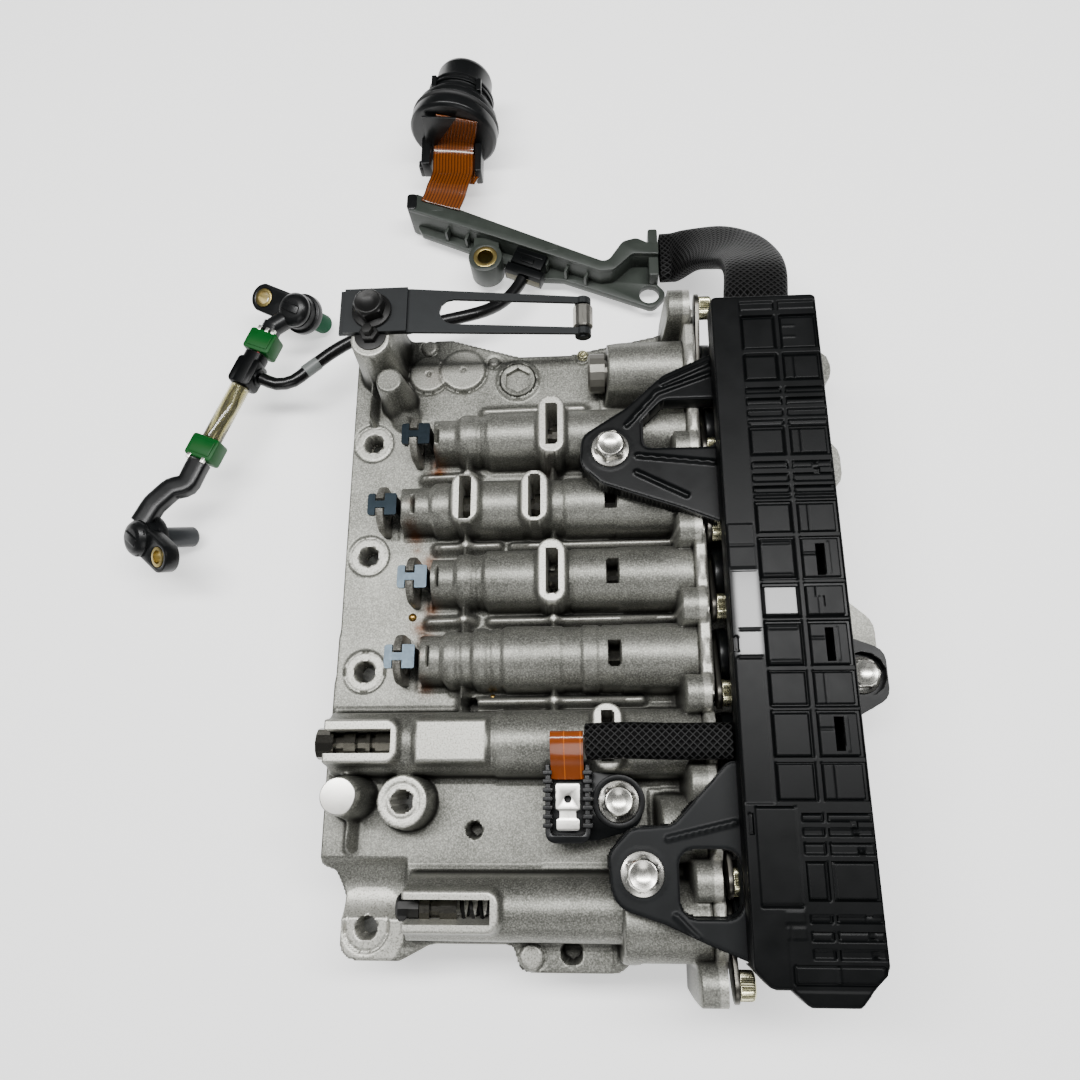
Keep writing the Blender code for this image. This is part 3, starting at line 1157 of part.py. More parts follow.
def leaf_sections(left, right, thickness, base):
    """Sections along the detent leaf: flat on its post, then sloping down to its tip."""
    sections = []
    for x in [left, LEAF_BEND, LEAF_BEND + 3, (LEAF_BEND + right) / 2,
              right] if right > LEAF_BEND else [left, right]:
        t = max(0.0, (x - LEAF_BEND) / (LEAF_TIP - LEAF_BEND))
        half = (LEAF_WIDTH + (LEAF_TIP_WIDTH - LEAF_WIDTH) * t) / 2
        z = base - LEAF_DROP * t
        sections.append([(x, LEAF_CENTRE - half, z), (x, LEAF_CENTRE + half, z),
                         (x, LEAF_CENTRE + half, z + thickness), (x, LEAF_CENTRE - half, z + thickness)])
    return sections


def detent(dark, steel, black):
    """The leaf spring that rides on the gear lever's detent plate, with its roller."""
    base = DETENT_PAD_Z + FIT
    tip_z = base - LEAF_DROP
    leaf = lofted("detent_spring", leaf_sections(LEAF_LEFT, LEAF_TIP, LEAF_THICKNESS, base))
    half = LEAF_TIP_WIDTH / 2
    roller_z = tip_z - ROLLER_DROP
    ear = (half - ROLLER_LENGTH / 2) - FIT
    for side in (-1, 1):
        near = LEAF_CENTRE + side * half
        far = near - side * ear
        join(leaf, rod("eye", (LEAF_TIP, near, roller_z), (LEAF_TIP, far, roller_z),
                       ROLLER_PIN_RADIUS + ROLLER_EYE_WALL, sides=20))
    slot_right = LEAF_TIP + 6
    corners = [(SLOT_LEFT, LEAF_CENTRE - SLOT_WIDTH / 2, 5.4), (slot_right, LEAF_CENTRE - SLOT_WIDTH / 2, 0),
               (slot_right, LEAF_CENTRE + SLOT_WIDTH / 2, 0), (SLOT_LEFT, LEAF_CENTRE + SLOT_WIDTH / 2, 5.4)]
    cut(leaf, slab("slot", rounded(corners), tip_z - 8, base + 4))
    pin_half = half + ROLLER_PIN_OVERHANG
    join(leaf, rod("pin", (LEAF_TIP, LEAF_CENTRE - pin_half, roller_z),
                   (LEAF_TIP, LEAF_CENTRE + pin_half, roller_z), ROLLER_PIN_RADIUS, sides=12))
    stiff_right = LEAF_BEND - STIFFENER_GAP_TO_BEND
    stiffener = lofted("detent_stiffener",
                       leaf_sections(LEAF_LEFT + STIFFENER_INSET, stiff_right, LEAF_THICKNESS,
                                     base + LEAF_THICKNESS + FIT))
    bolt_x, bolt_y = DETENT_POST
    pin_x, pin_y = DETENT_PIN
    for piece in (leaf, stiffener):
        cut(piece, rod("bolt_hole", (bolt_x, bolt_y, base - 2), (bolt_x, bolt_y, base + 8),
                       LEAF_BOLT_HOLE_RADIUS, sides=18),
            rod("pin_notch", (pin_x, pin_y, base - 2), (pin_x, pin_y, base + 8), LEAF_NOTCH_RADIUS,
                sides=18))
    finish(leaf, dark)
    finish(stiffener, dark)
    seat = base + 2 * LEAF_THICKNESS + FIT
    flange_bolt("detent_bolt", DETENT_POST, seat, black, DETENT_BOLT_SCALE)
    hole, edge = ROLLER_PIN_RADIUS + PIN_FIT, ROLLER_BEVEL
    profile = [(0, hole), (0, ROLLER_RADIUS - edge), (edge, ROLLER_RADIUS),
               (ROLLER_LENGTH - edge, ROLLER_RADIUS), (ROLLER_LENGTH, ROLLER_RADIUS - edge),
               (ROLLER_LENGTH, hole), (0, hole)]
    roller = turned("detent_roller", profile, (LEAF_TIP, LEAF_CENTRE - ROLLER_LENGTH / 2, roller_z),
                    (0, 1, 0), 16)
    finish(baked(roller), steel, (LEAF_TIP, LEAF_CENTRE, roller_z))


def cover_parts(steel):
    """Bore A's stepped plug and the screwed plug with a hexagon socket on the casting's face."""
    face = A_LEFT - A_PLUG_LEFT
    profile = [(0, 0), (0, A_PLUG_RADIUS - PLUG_BEVEL), (PLUG_BEVEL, A_PLUG_RADIUS),
               (face - FIT, A_PLUG_RADIUS), (face - FIT, SPOOL_RADIUS),
               (face + A_PLUG_INSERT, SPOOL_RADIUS), (face + A_PLUG_INSERT, 0)]
    finish(turned("end_plug_a", profile, (A_PLUG_LEFT, A_ROW, AXIS_Z), (1, 0, 0), 16), steel)
    x, y, radius = HEX_PLUG
    low = PLATE_TOP - DISC_SEAT_DEPTH + FIT
    plug = rod("hex_plug", (x, y, low), (x, y, PLATE_TOP + HEX_PLUG_RISE), radius - FIT, sides=16)
    cut(plug, slab("drive", hexagon((x, y), HEX_SOCKET_WIDTH), low + 1.6, PLATE_TOP + HEX_PLUG_RISE + 1))
    finish(plug, steel)


def strip(name, path, width, thickness, across):
    """A flat band along a path in space, as wide as said along one direction and as thick across it."""
    sections = []
    side = Vector(across).normalized()
    for i, place in enumerate(path):
        before, after = Vector(path[max(i - 1, 0)]), Vector(path[min(i + 1, len(path) - 1)])
        run = (after - before).normalized()
        level = run.cross(side).normalized()
        wide = level.cross(run).normalized() * (width / 2)
        thin = level * (thickness / 2)
        centre = Vector(place)
        sections.append([centre - wide - thin, centre + wide - thin, centre + wide + thin,
                         centre - wide + thin])
    return lofted(name, sections)


def sleeve(name, path, width, thickness, sides=10):
    """A flattened braided sleeve along a path: (x, y, z, direction of its width) for each station."""
    sections = []
    for i, (x, y, z, side) in enumerate(path):
        before, after = Vector(path[max(i - 1, 0)][:3]), Vector(path[min(i + 1, len(path) - 1)][:3])
        run = (after - before).normalized()
        level = run.cross(Vector(side)).normalized()
        wide = level.cross(run).normalized()
        ring = []
        for step in range(sides):
            angle = 2 * math.pi * (step + 0.5) / sides
            u, v = math.cos(angle), math.sin(angle)
            bulge = (abs(u) ** 4 + abs(v) ** 4) ** 0.25
            ring.append(Vector((x, y,
                                z)) + wide * (width / 2 * u / bulge) + level * (thickness / 2 * v / bulge))
        sections.append(ring)
    return lofted(name, sections)


def temperature_sensor(black, amber, steel):
    """The oil temperature sensor on the plate, with its flexible circuit and flat sleeve to the module."""
    x, y = TEMP_BOLT
    middle = ((TEMP_LEFT + TEMP_RIGHT) / 2, (TEMP_LOWER + TEMP_UPPER) / 2)
    body = rounded_box("temp_sensor", middle, (TEMP_RIGHT - TEMP_LEFT, TEMP_UPPER - TEMP_LOWER), 3.4,
                       TEMP_BOTTOM, TEMP_TOP)
    low = TEMP_PLATE_TOP - TEMP_PLATE_THICKNESS
    join(body, slab("plate",
                    rounded([(middle[0], TEMP_LOWER - 2, 8), (x + 8.4, y - 8.4, 8), (x + 8.4, y + 8, 8),
                                      (middle[0], TEMP_UPPER - 1, 1)]), low, TEMP_PLATE_TOP))
    cut(body, rod("bolt_hole", (x, y, low - 1), (x, y, TEMP_PLATE_TOP + 1), BOLT_SHANK_RADIUS + 0.5,
                  sides=12),
        box("mouth", (TEMP_LEFT + 1.6, TEMP_LOWER + 3.6, TEMP_PLATE_TOP - 0.6),
            (TEMP_RIGHT - 1.6, TEMP_UPPER + 1, TEMP_TOP + 1)),
        rod("barrel_relief", (TEMP_LEFT - 9, F_ROW, AXIS_Z), (x + 20, F_ROW, AXIS_Z), F_RADIUS + FIT + 0.3),
        box("side_relief", (TEMP_LEFT - 9, F_ROW - F_RADIUS - FIT, TEMP_BOTTOM - 1),
            (x + 20, F_ROW, AXIS_Z)))
    plate_low = TEMP_LOWER + 6.0
    join(body, box("terminal", (middle[0] - TERMINAL_WIDTH / 2, plate_low, TEMP_PLATE_TOP - 1.2),
                   (middle[0] + TERMINAL_WIDTH / 2, plate_low + TERMINAL_LENGTH, TEMP_PLATE_TOP + 2)))
    hole = (middle[0], plate_low + TERMINAL_LENGTH * 0.6)
    cut(body, rod("terminal_hole", (*hole, TEMP_PLATE_TOP + 0.2), (*hole, TEMP_TOP), 1.1, sides=8))
    finish(body, black)
    flange_bolt("temp_sensor_bolt", TEMP_BOLT, TEMP_PLATE_TOP, steel)
    rise = TEMP_SLEEVE_Z
    path = [(middle[0], TEMP_UPPER - 4.4, TEMP_TOP - 4.2), (middle[0], TEMP_UPPER - 1.0, TEMP_TOP - 0.6),
            (middle[0], TEMP_UPPER + 3.0, rise - 1.6), (middle[0], TEMP_UPPER + 8.0, rise + 1.0),
            (middle[0], TEMP_UPPER + 10.6, rise), (middle[0], TEMP_UPPER + 10.8, rise - 3.0)]
    finish(strip("temp_flex", path, TEMP_FLEX_WIDTH, TEMP_FLEX_THICKNESS, (1, 0, 0)), amber)
    row = TEMP_UPPER + 7.0
    start, end = middle[0] + TEMP_FLEX_WIDTH / 2 + FIT, MODULE_LEFT - FIT
    path = [(start, row, rise - 0.6, (0, 1, 0)), (start + 12, row + 0.4, rise + 0.2, (0, 1, 0)),
            (start + 30, row, rise + 0.6, (0, 1, 0)), (end - 6, row, rise + 1.0, (0, 1, 0)),
            (end, row, rise + 1.2, (0, 1, 0))]
    finish(sleeve("temp_sleeve", path, TEMP_SLEEVE_WIDTH, TEMP_SLEEVE_THICKNESS), black)


def ribbon(points, width):
    """The outline of a band of even width along a line of points."""
    left, right = [], []
    for i, point in enumerate(points):
        here = Vector(point)
        before = Vector(points[max(i - 1, 0)])
        after = Vector(points[min(i + 1, len(points) - 1)])
        first = (here - before).normalized() if i else (after - here).normalized()
        last = (after - here).normalized() if i < len(points) - 1 else first
        run = (first + last).normalized()
        reach = width / 2 / max(0.5, run.dot(first))
        side = Vector((-run.y, run.x)) * reach
        left.append(tuple(here + side))
        right.append(tuple(here - side))
    return right + list(reversed(left))


def harness_bracket(green):
    """The moulded bracket of the harness: a high rail that is open below, a low web, an eye and a foot."""
    body = slab("harness_bracket", rounded(RAIL_OUTLINE), BRACKET_BOTTOM, BRACKET_TOP)
    join(body, slab("web", rounded(WEB_OUTLINE), WEB_BOTTOM, WEB_TOP))
    x, y = BRACKET_EYE
    join(body, rod("eye", (x, y, WEB_BOTTOM), (x, y, BRACKET_TOP - 1), BRACKET_EYE_RADIUS, sides=20))
    join(body, box("eye_web", (x - 6, y, WEB_BOTTOM), (x + 6, y + 13, BRACKET_TOP - 4)))
    end_x, end_y = RAIL_END
    half = MAIN_SLEEVE_WIDTH / 2
    join(body, box("sleeve_block", (end_x - SLEEVE_BLOCK_LENGTH, end_y - half, WEB_BOTTOM - 1),
                   (end_x, end_y + half, SLEEVE_BLOCK_TOP)))
    cut(body, slab("channel", ribbon(RAIL_CHANNEL, RAIL_CHANNEL_WIDTH), BRACKET_BOTTOM - 1,
                   BRACKET_TOP - RAIL_WALL))
    cut(body, rod("eye_hole", (x, y, 0), (x, y, BRACKET_TOP + 1), BRACKET_EYE_HOLE, sides=14))
    cut(body, rod("foot_hole", (*FOOT_HOLE, 0), (*FOOT_HOLE, BRACKET_TOP), FOOT_HOLE_RADIUS, sides=16))
    return finish(body, green)


def main_sleeve(black):
    """The wide braided sleeve, up out of the module and round into the bracket's right end."""
    rise = MODULE_TOP - 8.4
    end_x, end_y = RAIL_END
    middle = SLEEVE_PORT[0] + 0.4
    low = 11.6
    path = [(middle, MODULE_UPPER + FIT, rise, (1, 0, 0)), (middle, MODULE_UPPER + 5, rise, (1, 0, 0)),
            (middle + 1.6, MODULE_UPPER + 20, rise - 5, (1, 0, 0)),
            (middle + 1.2, MODULE_UPPER + 34, rise - 16, (1, 0.2, 0)),
            (middle - 3, MODULE_UPPER + 47, rise - 29, (1, 0.7, 0)),
            (middle - 11.4, MODULE_UPPER + 57, rise - 41, (0.7, 1, 0)),
            (end_x + 9, end_y, low + 0.8, (0, 1, 0)), (end_x + 3, end_y, low, (0, 1, 0)),
            (end_x + FIT, end_y, low, (0, 1, 0))]
    return finish(sleeve("main_sleeve", path, MAIN_SLEEVE_WIDTH, MAIN_SLEEVE_THICKNESS), black)


def bulkhead_connector(black, rubber, amber):
    """The round connector that goes through the transmission's case, its seal and its flexible circuit."""
    x, y = CONNECTOR_START
    start = (x, y, CONNECTOR_AXIS_Z)
    heading = Vector((*CONNECTOR_HEADING, 0)).normalized()
    groove = CONNECTOR_GROOVE_RADIUS
    end, floor = CONNECTOR_LENGTH, CONNECTOR_LENGTH - CONNECTOR_SOCKET_DEPTH
    rim = CONNECTOR_FLANGE_RADIUS
    profile = [(0, 0), (0, rim - 1.4), (1.4, rim), (6, rim), (6, groove), (10, groove), (10, groove + 1.4),
               (13, groove + 1.4), (13, 17), (17, 16.8), (17, 15.4), (20, 15.4), (20, 16.6), (24, 16.4),
               (24, 14.4), (end - 3, 13.6), (end, 11.8), (end, CONNECTOR_SOCKET_RADIUS),
               (floor, CONNECTOR_SOCKET_RADIUS), (floor, 0)]
    body = baked(turned("bulkhead_connector", profile, start, heading, 20))
    for (left, lower), (right, upper) in CONNECTOR_LEGS:
        join(body, box("leg", (left, lower, LEG_BOTTOM), (right, upper, LEG_TOP)))
    finish(body, black)
    ring = []
    for step in range(9):
        angle = 2 * math.pi * step / 8
        ring.append((8 - SEAL_RADIUS * math.sin(angle),
                     groove + FIT + SEAL_RADIUS - SEAL_RADIUS * math.cos(angle)))
    finish(turned("connector_seal", ring, start, heading, 20), rubber)
    over = BRACKET_TOP + FIT + CONNECTOR_FLEX_THICKNESS / 2
    path = [(x - 0.6, y - FIT - 1.4, 17.0), (x - 0.6, y - 8, 17.0), (x - 0.4, y - 16, 17.6),
            (x - 0.8, y - 21, 19.4), (x - 1.8, y - 27, over + 0.6), (x - 3.4, y - 32.4, over),
            (x - 5.4, y - 38, over)]
    finish(strip("connector_flex", path, CONNECTOR_FLEX_WIDTH, CONNECTOR_FLEX_THICKNESS, (1, -0.12, 0)),
           amber)


def plug_place():
    """The plug's middle against the rail's lower side, the rail's direction, and the way out to its boot."""
    first, last = Vector(RAIL_LEFT), Vector(RAIL_RIGHT)
    run = (last - first).normalized()
    side = Vector((run.y, -run.x))
    edge = first + run * ((PLUG_X - first.x) / run.x)
    return edge + side * (PLUG_WIDTH / 2 + FIT), run, side


def plug_face():
    """How far the boot's outer face, where the cable comes out, lies from the plug's middle."""
    return PLUG_WIDTH / 2 + PLUG_BOOT_WIDTH - PLUG_BOOT_LAP


def sensor_plug(black):
    """The plug clipped to the side of the bracket's rail, with a wider boot that the cable comes out of."""
    centre, run, out = plug_place()
    reach = run * (PLUG_SPAN / 2)
    low, high = PLUG_Z - PLUG_HEIGHT / 2, PLUG_Z + PLUG_HEIGHT / 2
    plug = slab("sensor_plug", ribbon([tuple(centre - reach), tuple(centre + reach)], PLUG_WIDTH), low, high)
    bevel(plug, 1.0, 1)
    plug = baked(plug)
    middle = centre + out * (plug_face() - PLUG_BOOT_WIDTH / 2)
    reach = run * (PLUG_BOOT_SPAN / 2)
    outline = ribbon([tuple(middle - reach), tuple(middle + reach)], PLUG_BOOT_WIDTH)
    join(plug, slab("boot", outline, low, high - PLUG_BOOT_INSET))
    return finish(plug, black)


def on_chain(distance, side=0.0):
    """A point on the sensor branch's line, so far along it and so far to its right."""
    run = Vector(CHAIN_HEADING).normalized()
    return Vector(CHAIN_START) + run * distance + Vector((-run.y, run.x, 0.0)) * side


def chain_block(name, start, length, width, height):
    """A rounded block on the sensor branch, lying along it."""
    run = Vector(CHAIN_HEADING).normalized()
    place = on_chain(start + length / 2)
    turn = Matrix.Rotation(math.atan2(run.y, run.x), 4, "Z")
    frame = Matrix.Translation(Vector((place.x, place.y, 0)) * MM) @ turn
    half, wide = length / 2, width / 2
    outline = rounded([(-half, -wide, 1.6), (half, -wide, 1.6), (half, wide, 1.6), (-half, wide, 1.6)], 2)
    return slab(name, outline, place.z - height / 2, place.z + height / 2, frame)


def cable_branch(black, clear, green):
    """The cable to the speed sensors: clip, junction, clear tube, second clip and bent arm, end to end."""
    first_end = CLIP_LENGTH / 2
    neck = first_end + FIT
    junction = neck + WIRE_NECK_LENGTH
    tube_start = junction + JUNCTION_LENGTH + FIT
    second = tube_start + TUBE_LENGTH + FIT
    finish(chain_block("sensor_clip_1", -first_end, CLIP_LENGTH, CLIP_WIDTH, CLIP_HEIGHT), green)
    finish(chain_block("sensor_clip_2", second, CLIP_LENGTH, CLIP_WIDTH, CLIP_HEIGHT), green)
    block = chain_block("sensor_junction", junction, JUNCTION_LENGTH, JUNCTION_WIDTH, JUNCTION_HEIGHT)
    bevel(block, 1.4, 1)
    block = baked(block)
    join(block, rod("wires", on_chain(neck), on_chain(junction + 1), WIRE_NECK_RADIUS, sides=8))
    finish(block, black)
    finish(rod("sensor_tube", on_chain(tube_start), on_chain(tube_start + TUBE_LENGTH), TUBE_RADIUS,
               sides=14),
           clear)
    middle = junction + JUNCTION_LENGTH / 2
    seat = JUNCTION_WIDTH / 2 + FIT
    centre, _, out = plug_place()
    start = [(*(centre + out * (plug_face() + reach)), PLUG_Z) for reach in (FIT, FIT + 2.0)]
    route = smooth_route([*start, *CABLE_ROUTE, on_chain(middle, seat + CABLE_SIDE_REACH),
                          on_chain(middle, seat)], 7.0)
    route[:1] = [start[0], start[1]]
    route[-1:] = [tuple(on_chain(middle, seat + 1.0)), tuple(on_chain(middle, seat))]
    finish(tube("sensor_cable", route, CABLE_RADIUS), black)
    arm_start = second + CLIP_LENGTH + FIT
    head, towards = sensor_frame(**SPEED_SENSOR_2)
    last = Vector(ARM_ROUTE[-1])
    inward = (head - last).normalized()
    stop = head - inward * (SENSOR_HEAD_RADIUS + ARM_RADIUS * abs(inward.dot(towards)) + FIT + 1.0)
    route = [tuple(on_chain(arm_start)), tuple(on_chain(arm_start + 1.0)), tuple(on_chain(arm_start + 6.0)),
             *ARM_ROUTE, tuple(stop)]
    finish(tube("sensor_arm", route, ARM_RADIUS, 1), black)


def sensor_frame(head, tip, eye):
    """The middle of a sensor's head, below its top, and the direction that its probe points in."""
    top, point = Vector(head), Vector(tip)
    down = (point - top).normalized()
    return top + down * SENSOR_LUG_DROP, down


def speed_sensor(name, place, plastic):
    """A speed sensor standing on its probe: domed head, lug with an eye, collar and probe."""
    top, point = Vector(place["head"]), Vector(place["tip"])
    middle, down = sensor_frame(**place)
    reach = (point - top).length
    head, collar, probe = SENSOR_HEAD_RADIUS, SENSOR_COLLAR_RADIUS, SENSOR_PROBE_RADIUS
    seat, under = SENSOR_HEAD_HEIGHT, SENSOR_HEAD_HEIGHT + SENSOR_COLLAR_HEIGHT
    edge = SENSOR_TIP_BEVEL
    profile = [(0, 0), (0, head - 3.0), (1.0, head - 1.0), (2.8, head), (seat, head), (seat, collar),
               (under, collar), (under, probe), (reach - edge, probe), (reach, probe - edge), (reach, 0)]
    body = baked(turned(name, profile, top, down, 16))
    up = -down
    along = Vector(place["eye"]) - middle
    along = along - up * along.dot(up)
    span = along.length
    along.normalize()
    axes = Matrix((along, up.cross(along), up)).transposed().to_4x4()
    radius = SENSOR_LUG_RADIUS
    outline = [(0, -radius), (span, -radius)]
    outline += [(span + radius * math.sin(a),
                 -radius * math.cos(a)) for a in (math.radians(30 * i) for i in range(1, 6))]
    outline += [(span, radius), (0, radius)]
    thick = SENSOR_LUG_THICKNESS / 2
    join(body, slab("lug", outline, -thick, thick, Matrix.Translation(middle * MM) @ axes))
    hole = middle + along * span
    cut(body, rod("eye", hole - down * 6, hole + down * 6, SENSOR_EYE_RADIUS, sides=14))
    return body


def speed_sensors(plastic):
    """Both sensors; the first has a short neck that its clip is pushed onto."""
    first = speed_sensor("speed_sensor_1", SPEED_SENSOR_1, plastic)
    middle, _ = sensor_frame(**SPEED_SENSOR_1)
    plug = on_chain(-CLIP_LENGTH / 2 - FIT)
    join(first, rod("neck", middle, on_chain(-CLIP_LENGTH / 2 - 4.0), SENSOR_NECK_RADIUS, sides=10),
         rod("neck_end", on_chain(-CLIP_LENGTH / 2 - 6.0), plug, SENSOR_NECK_RADIUS, sides=10))
    finish(first, plastic)
    finish(speed_sensor("speed_sensor_2", SPEED_SENSOR_2, plastic), plastic)


def main():
    clear_scene()
    cast = material("cast_aluminium", (0.70, 0.69, 0.66), 0.45, 0.9)
    steel = material("steel", (0.78, 0.78, 0.76), 0.3, 1.0)
    dark = material("blued_steel", (0.17, 0.19, 0.21), 0.35, 0.9)
    black = material("black_plastic", (0.05, 0.05, 0.06), 0.35, 0.0)
    lower_valve_body(cast)
    separator_plate(steel)
    outer_valve_body(cast)
    for key, (row, ears_left, _) in CONTROL_BARRELS.items():
        end_plug(key, row, ears_left, steel)
        retainer_clip(key, row, ears_left, dark)
        control_spool(key, row, ears_left, dark)
        spring_left = ears_left + EAR_LENGTH + KEY_SLOT_LENGTH + PLUG_GAP + PLUG_LENGTH + FIT
        coil("spring_" + key, row, spring_left, SPRING_LENGTH, SPRING_TURNS, steel)
    manual_valve(dark)
    regulator(dark, steel)
    for index, (row, screw_row) in enumerate(zip(SOLENOID_ROWS, SCREW_ROWS), 1):
        solenoid(index, row, screw_row, black)
    module_cover(black)
    flange_bolt("module_bolt_1", UPPER_LUG, ARM_TOP, steel)
    flange_bolt("module_bolt_2", LOWER_LUG, ARM_TOP, steel)
    flange_bolt("module_bolt_3", SIDE_LUG, SIDE_LUG_TOP, steel)
    detent(dark, steel, black)
    cover_parts(steel)
    amber = material("amber_film", (0.55, 0.31, 0.10), 0.35, 0.0)
    green = material("bracket_plastic", (0.30, 0.33, 0.30), 0.5, 0.0)
    clip_green = material("clip_green", (0.04, 0.42, 0.12), 0.4, 0.0)
    clear = material("clear_tube", (0.62, 0.62, 0.50), 0.2, 0.0)
    rubber = material("rubber", (0.06, 0.06, 0.06), 0.7, 0.0)
    temperature_sensor(black, amber, steel)
    harness_bracket(green)
    main_sleeve(black)
    bulkhead_connector(black, rubber, amber)
    sensor_plug(black)
    cable_branch(black, clear, clip_green)
    speed_sensors(black)


PARTS = collection("valve_body")
TOOLS = collection("tools")
main()
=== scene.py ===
"""Looks of the transmission valve body: cast relief, black module, detent spring, harness and sensors.

Lengths are in millimetres and become metres where a mesh is made. X runs along the valve bores, Y across
them, Z up from the bench.
"""

import math

import bmesh
import bpy
import numpy as np
from mathutils import Matrix, Vector


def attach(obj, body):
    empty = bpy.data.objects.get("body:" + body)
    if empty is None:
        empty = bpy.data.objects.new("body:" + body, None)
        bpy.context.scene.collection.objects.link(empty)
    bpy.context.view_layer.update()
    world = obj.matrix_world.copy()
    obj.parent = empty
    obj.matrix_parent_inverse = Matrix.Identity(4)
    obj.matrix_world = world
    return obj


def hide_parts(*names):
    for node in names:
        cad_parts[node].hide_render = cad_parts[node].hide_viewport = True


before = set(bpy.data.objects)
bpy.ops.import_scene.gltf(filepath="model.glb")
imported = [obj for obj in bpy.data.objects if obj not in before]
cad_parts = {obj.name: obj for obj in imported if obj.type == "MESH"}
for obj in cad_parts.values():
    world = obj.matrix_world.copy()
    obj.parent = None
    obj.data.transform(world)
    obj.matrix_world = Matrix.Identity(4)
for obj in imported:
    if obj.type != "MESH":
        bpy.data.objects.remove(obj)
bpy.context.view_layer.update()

MM = 0.001
ROOT = "valve_body"

# Heights and rows of the castings, as in the solids
FOOT = 28.2
PLATE = 38.0
AXIS = 46.0
PAD = 60.0
ROWS = {"a": 108.6, "b": 80.7, "c": 51.3, "d": 22.1, "e": -8.2, "f": -39.0, "h": -68.5, "g": -94.5,
        "g_head": -98.6}
SOLENOID_ROWS = [108.6, 80.7, 51.3, 22.1, -8.2, -39.0, -68.5, -98.6]
SCREW_ROWS = [131.2, 69.6, 37.8, 8.3, -22.9, -53.6, -84.8, -115.9]
SCREW_Z = 56.0
EARS = {"b": -58.6, "c": -70.6, "d": -57.6, "e": -61.0}
EAR_LENGTH = 3.2
KEY_SLOT = 5.4
SLOT_FLOOR = 38.6
PORT_FLOOR = 40.5
GRID = 0.6
HEX_PLUG = (-17.0, 110.6)
WHITE_PIN = (-76.4, -57.6)
UPPER_BOLT = (20.5, 66.4)
LOWER_BOLT = (27.4, -81.9)
TEMP_BOLT = (20.6, -59.4)
LEAF_BOLT = (-72.6, 127.4)
LEAF_STUD = (-73.4, 118.0)
BRACKET_EYE = (-34.8, 186.0)
RAIL_RUN = Vector((0.92193, -0.38738))
RAIL_OUT = Vector((-0.38738, -0.92193))
BOLT_HEXAGON = 10.0
PLUG_HEXAGON = 9.8
BRAID_STEP = 2.6
MOUNT_HOLES = [(-77.2, 83.8), (-76.6, 35.0), (-75.6, -11.4), (-55.6, -59.4), (-69.6, -102.2)]


def linked(name, data):
    """An object of some data, in the scene."""
    made = bpy.data.objects.new(name, data)
    bpy.context.scene.collection.objects.link(made)
    return made


# Camera

def stand_camera():
    """The photograph's view: from 368 mm up, looking 72 degrees down."""
    data = bpy.data.cameras.new("photo_view")
    data.sensor_width = 36.0
    data.lens = 29.0
    data.clip_start = 0.01
    camera = linked("photo_view", data)
    right = Vector((0.997687, 0.0, -0.067982))
    up = Vector((0.019911, 0.956147, 0.292211))
    back = Vector((0.065000, -0.292889, 0.953935))
    turn = Matrix((right, up, back)).transposed().to_4x4()
    camera.matrix_world = Matrix.Translation((0.014798, -0.061052, 0.368)) @ turn
    bpy.context.scene.camera = camera


# Materials

def linear(code, alpha=1.0):
    """An sRGB hex colour as linear red, green, blue and alpha."""
    parts = [int(code[i:i + 2], 16) / 255 for i in (1, 3, 5)]
    return (*[c / 12.92 if c <= 0.04045 else ((c + 0.055) / 1.055) ** 2.4 for c in parts], alpha)


def add(tree, kind, settings=None, stops=None, **sockets):
    """Adds a node with its settings and links; a socket is named, or given by its number as i6."""
    made = tree.nodes.new("ShaderNode" + kind)
    for key, value in (settings or {}).items():
        setattr(made, key, value)
    if stops:
        ramp = made.color_ramp.elements
        while len(ramp) < len(stops):
            ramp.new(0.5)
        for element, (place, shade) in zip(ramp, stops):
            element.position = place
            element.color = linear(shade) if isinstance(shade, str) else (shade, shade, shade, 1.0)
    for key, value in sockets.items():
        numbered = key[0] == "i" and key[1:].isdigit()
        socket = made.inputs[int(key[1:]) if numbered else key.replace("_", " ")]
        if isinstance(value, bpy.types.NodeSocket):
            tree.links.new(value, socket)
        else:
            socket.default_value = value
    return made


def blank(name, roughness, metallic=0.0, **shader):
    """A material with its Principled shader's constant sockets set, its tree, and Object coordinates."""
    made = bpy.data.materials.new(name)
    made.use_nodes = True
    tree = made.node_tree
    tree.nodes.clear()
    surface = add(tree, "BsdfPrincipled", Metallic=metallic, Roughness=roughness, **shader)
    add(tree, "OutputMaterial", Surface=surface.outputs[0])
    where = add(tree, "TexCoord").outputs["Object"]
    return made, tree, surface, where


def noise(tree, where, size_mm, detail=2.0, rough=0.5):
    """Cloudy noise whose blotches are about as large as said."""
    return add(tree, "TexNoise", Vector=where, Scale=1000.0 / size_mm, Detail=detail,
               Roughness=rough).outputs[0]


def blend_colour(tree, factor, a, b):
    """From colour a to colour b as the factor goes from 0 to 1."""
    return add(tree, "Mix", {"data_type": "RGBA"}, i0=factor, i6=a, i7=b).outputs[2]


def bumped(tree, surface, height, depth_mm, strength):
    """Bump on the shader's normal, so many millimetres deep."""
    made = add(tree, "Bump", Height=height, Distance=depth_mm * MM, Strength=strength)
    tree.links.new(made.outputs[0], surface.inputs["Normal"])


def computed(tree, operation, *values):
    """One step of arithmetic on one or two values."""
    sockets = {"i%d" % place: value for place, value in enumerate(values)}
    return add(tree, "Math", {"operation": operation}, **sockets).outputs[0]


def spread(tree, value, low, high):
    """A 0 to 1 value stretched between two others."""
    return add(tree, "MapRange", Value=value, To_Min=low, To_Max=high).outputs[0]


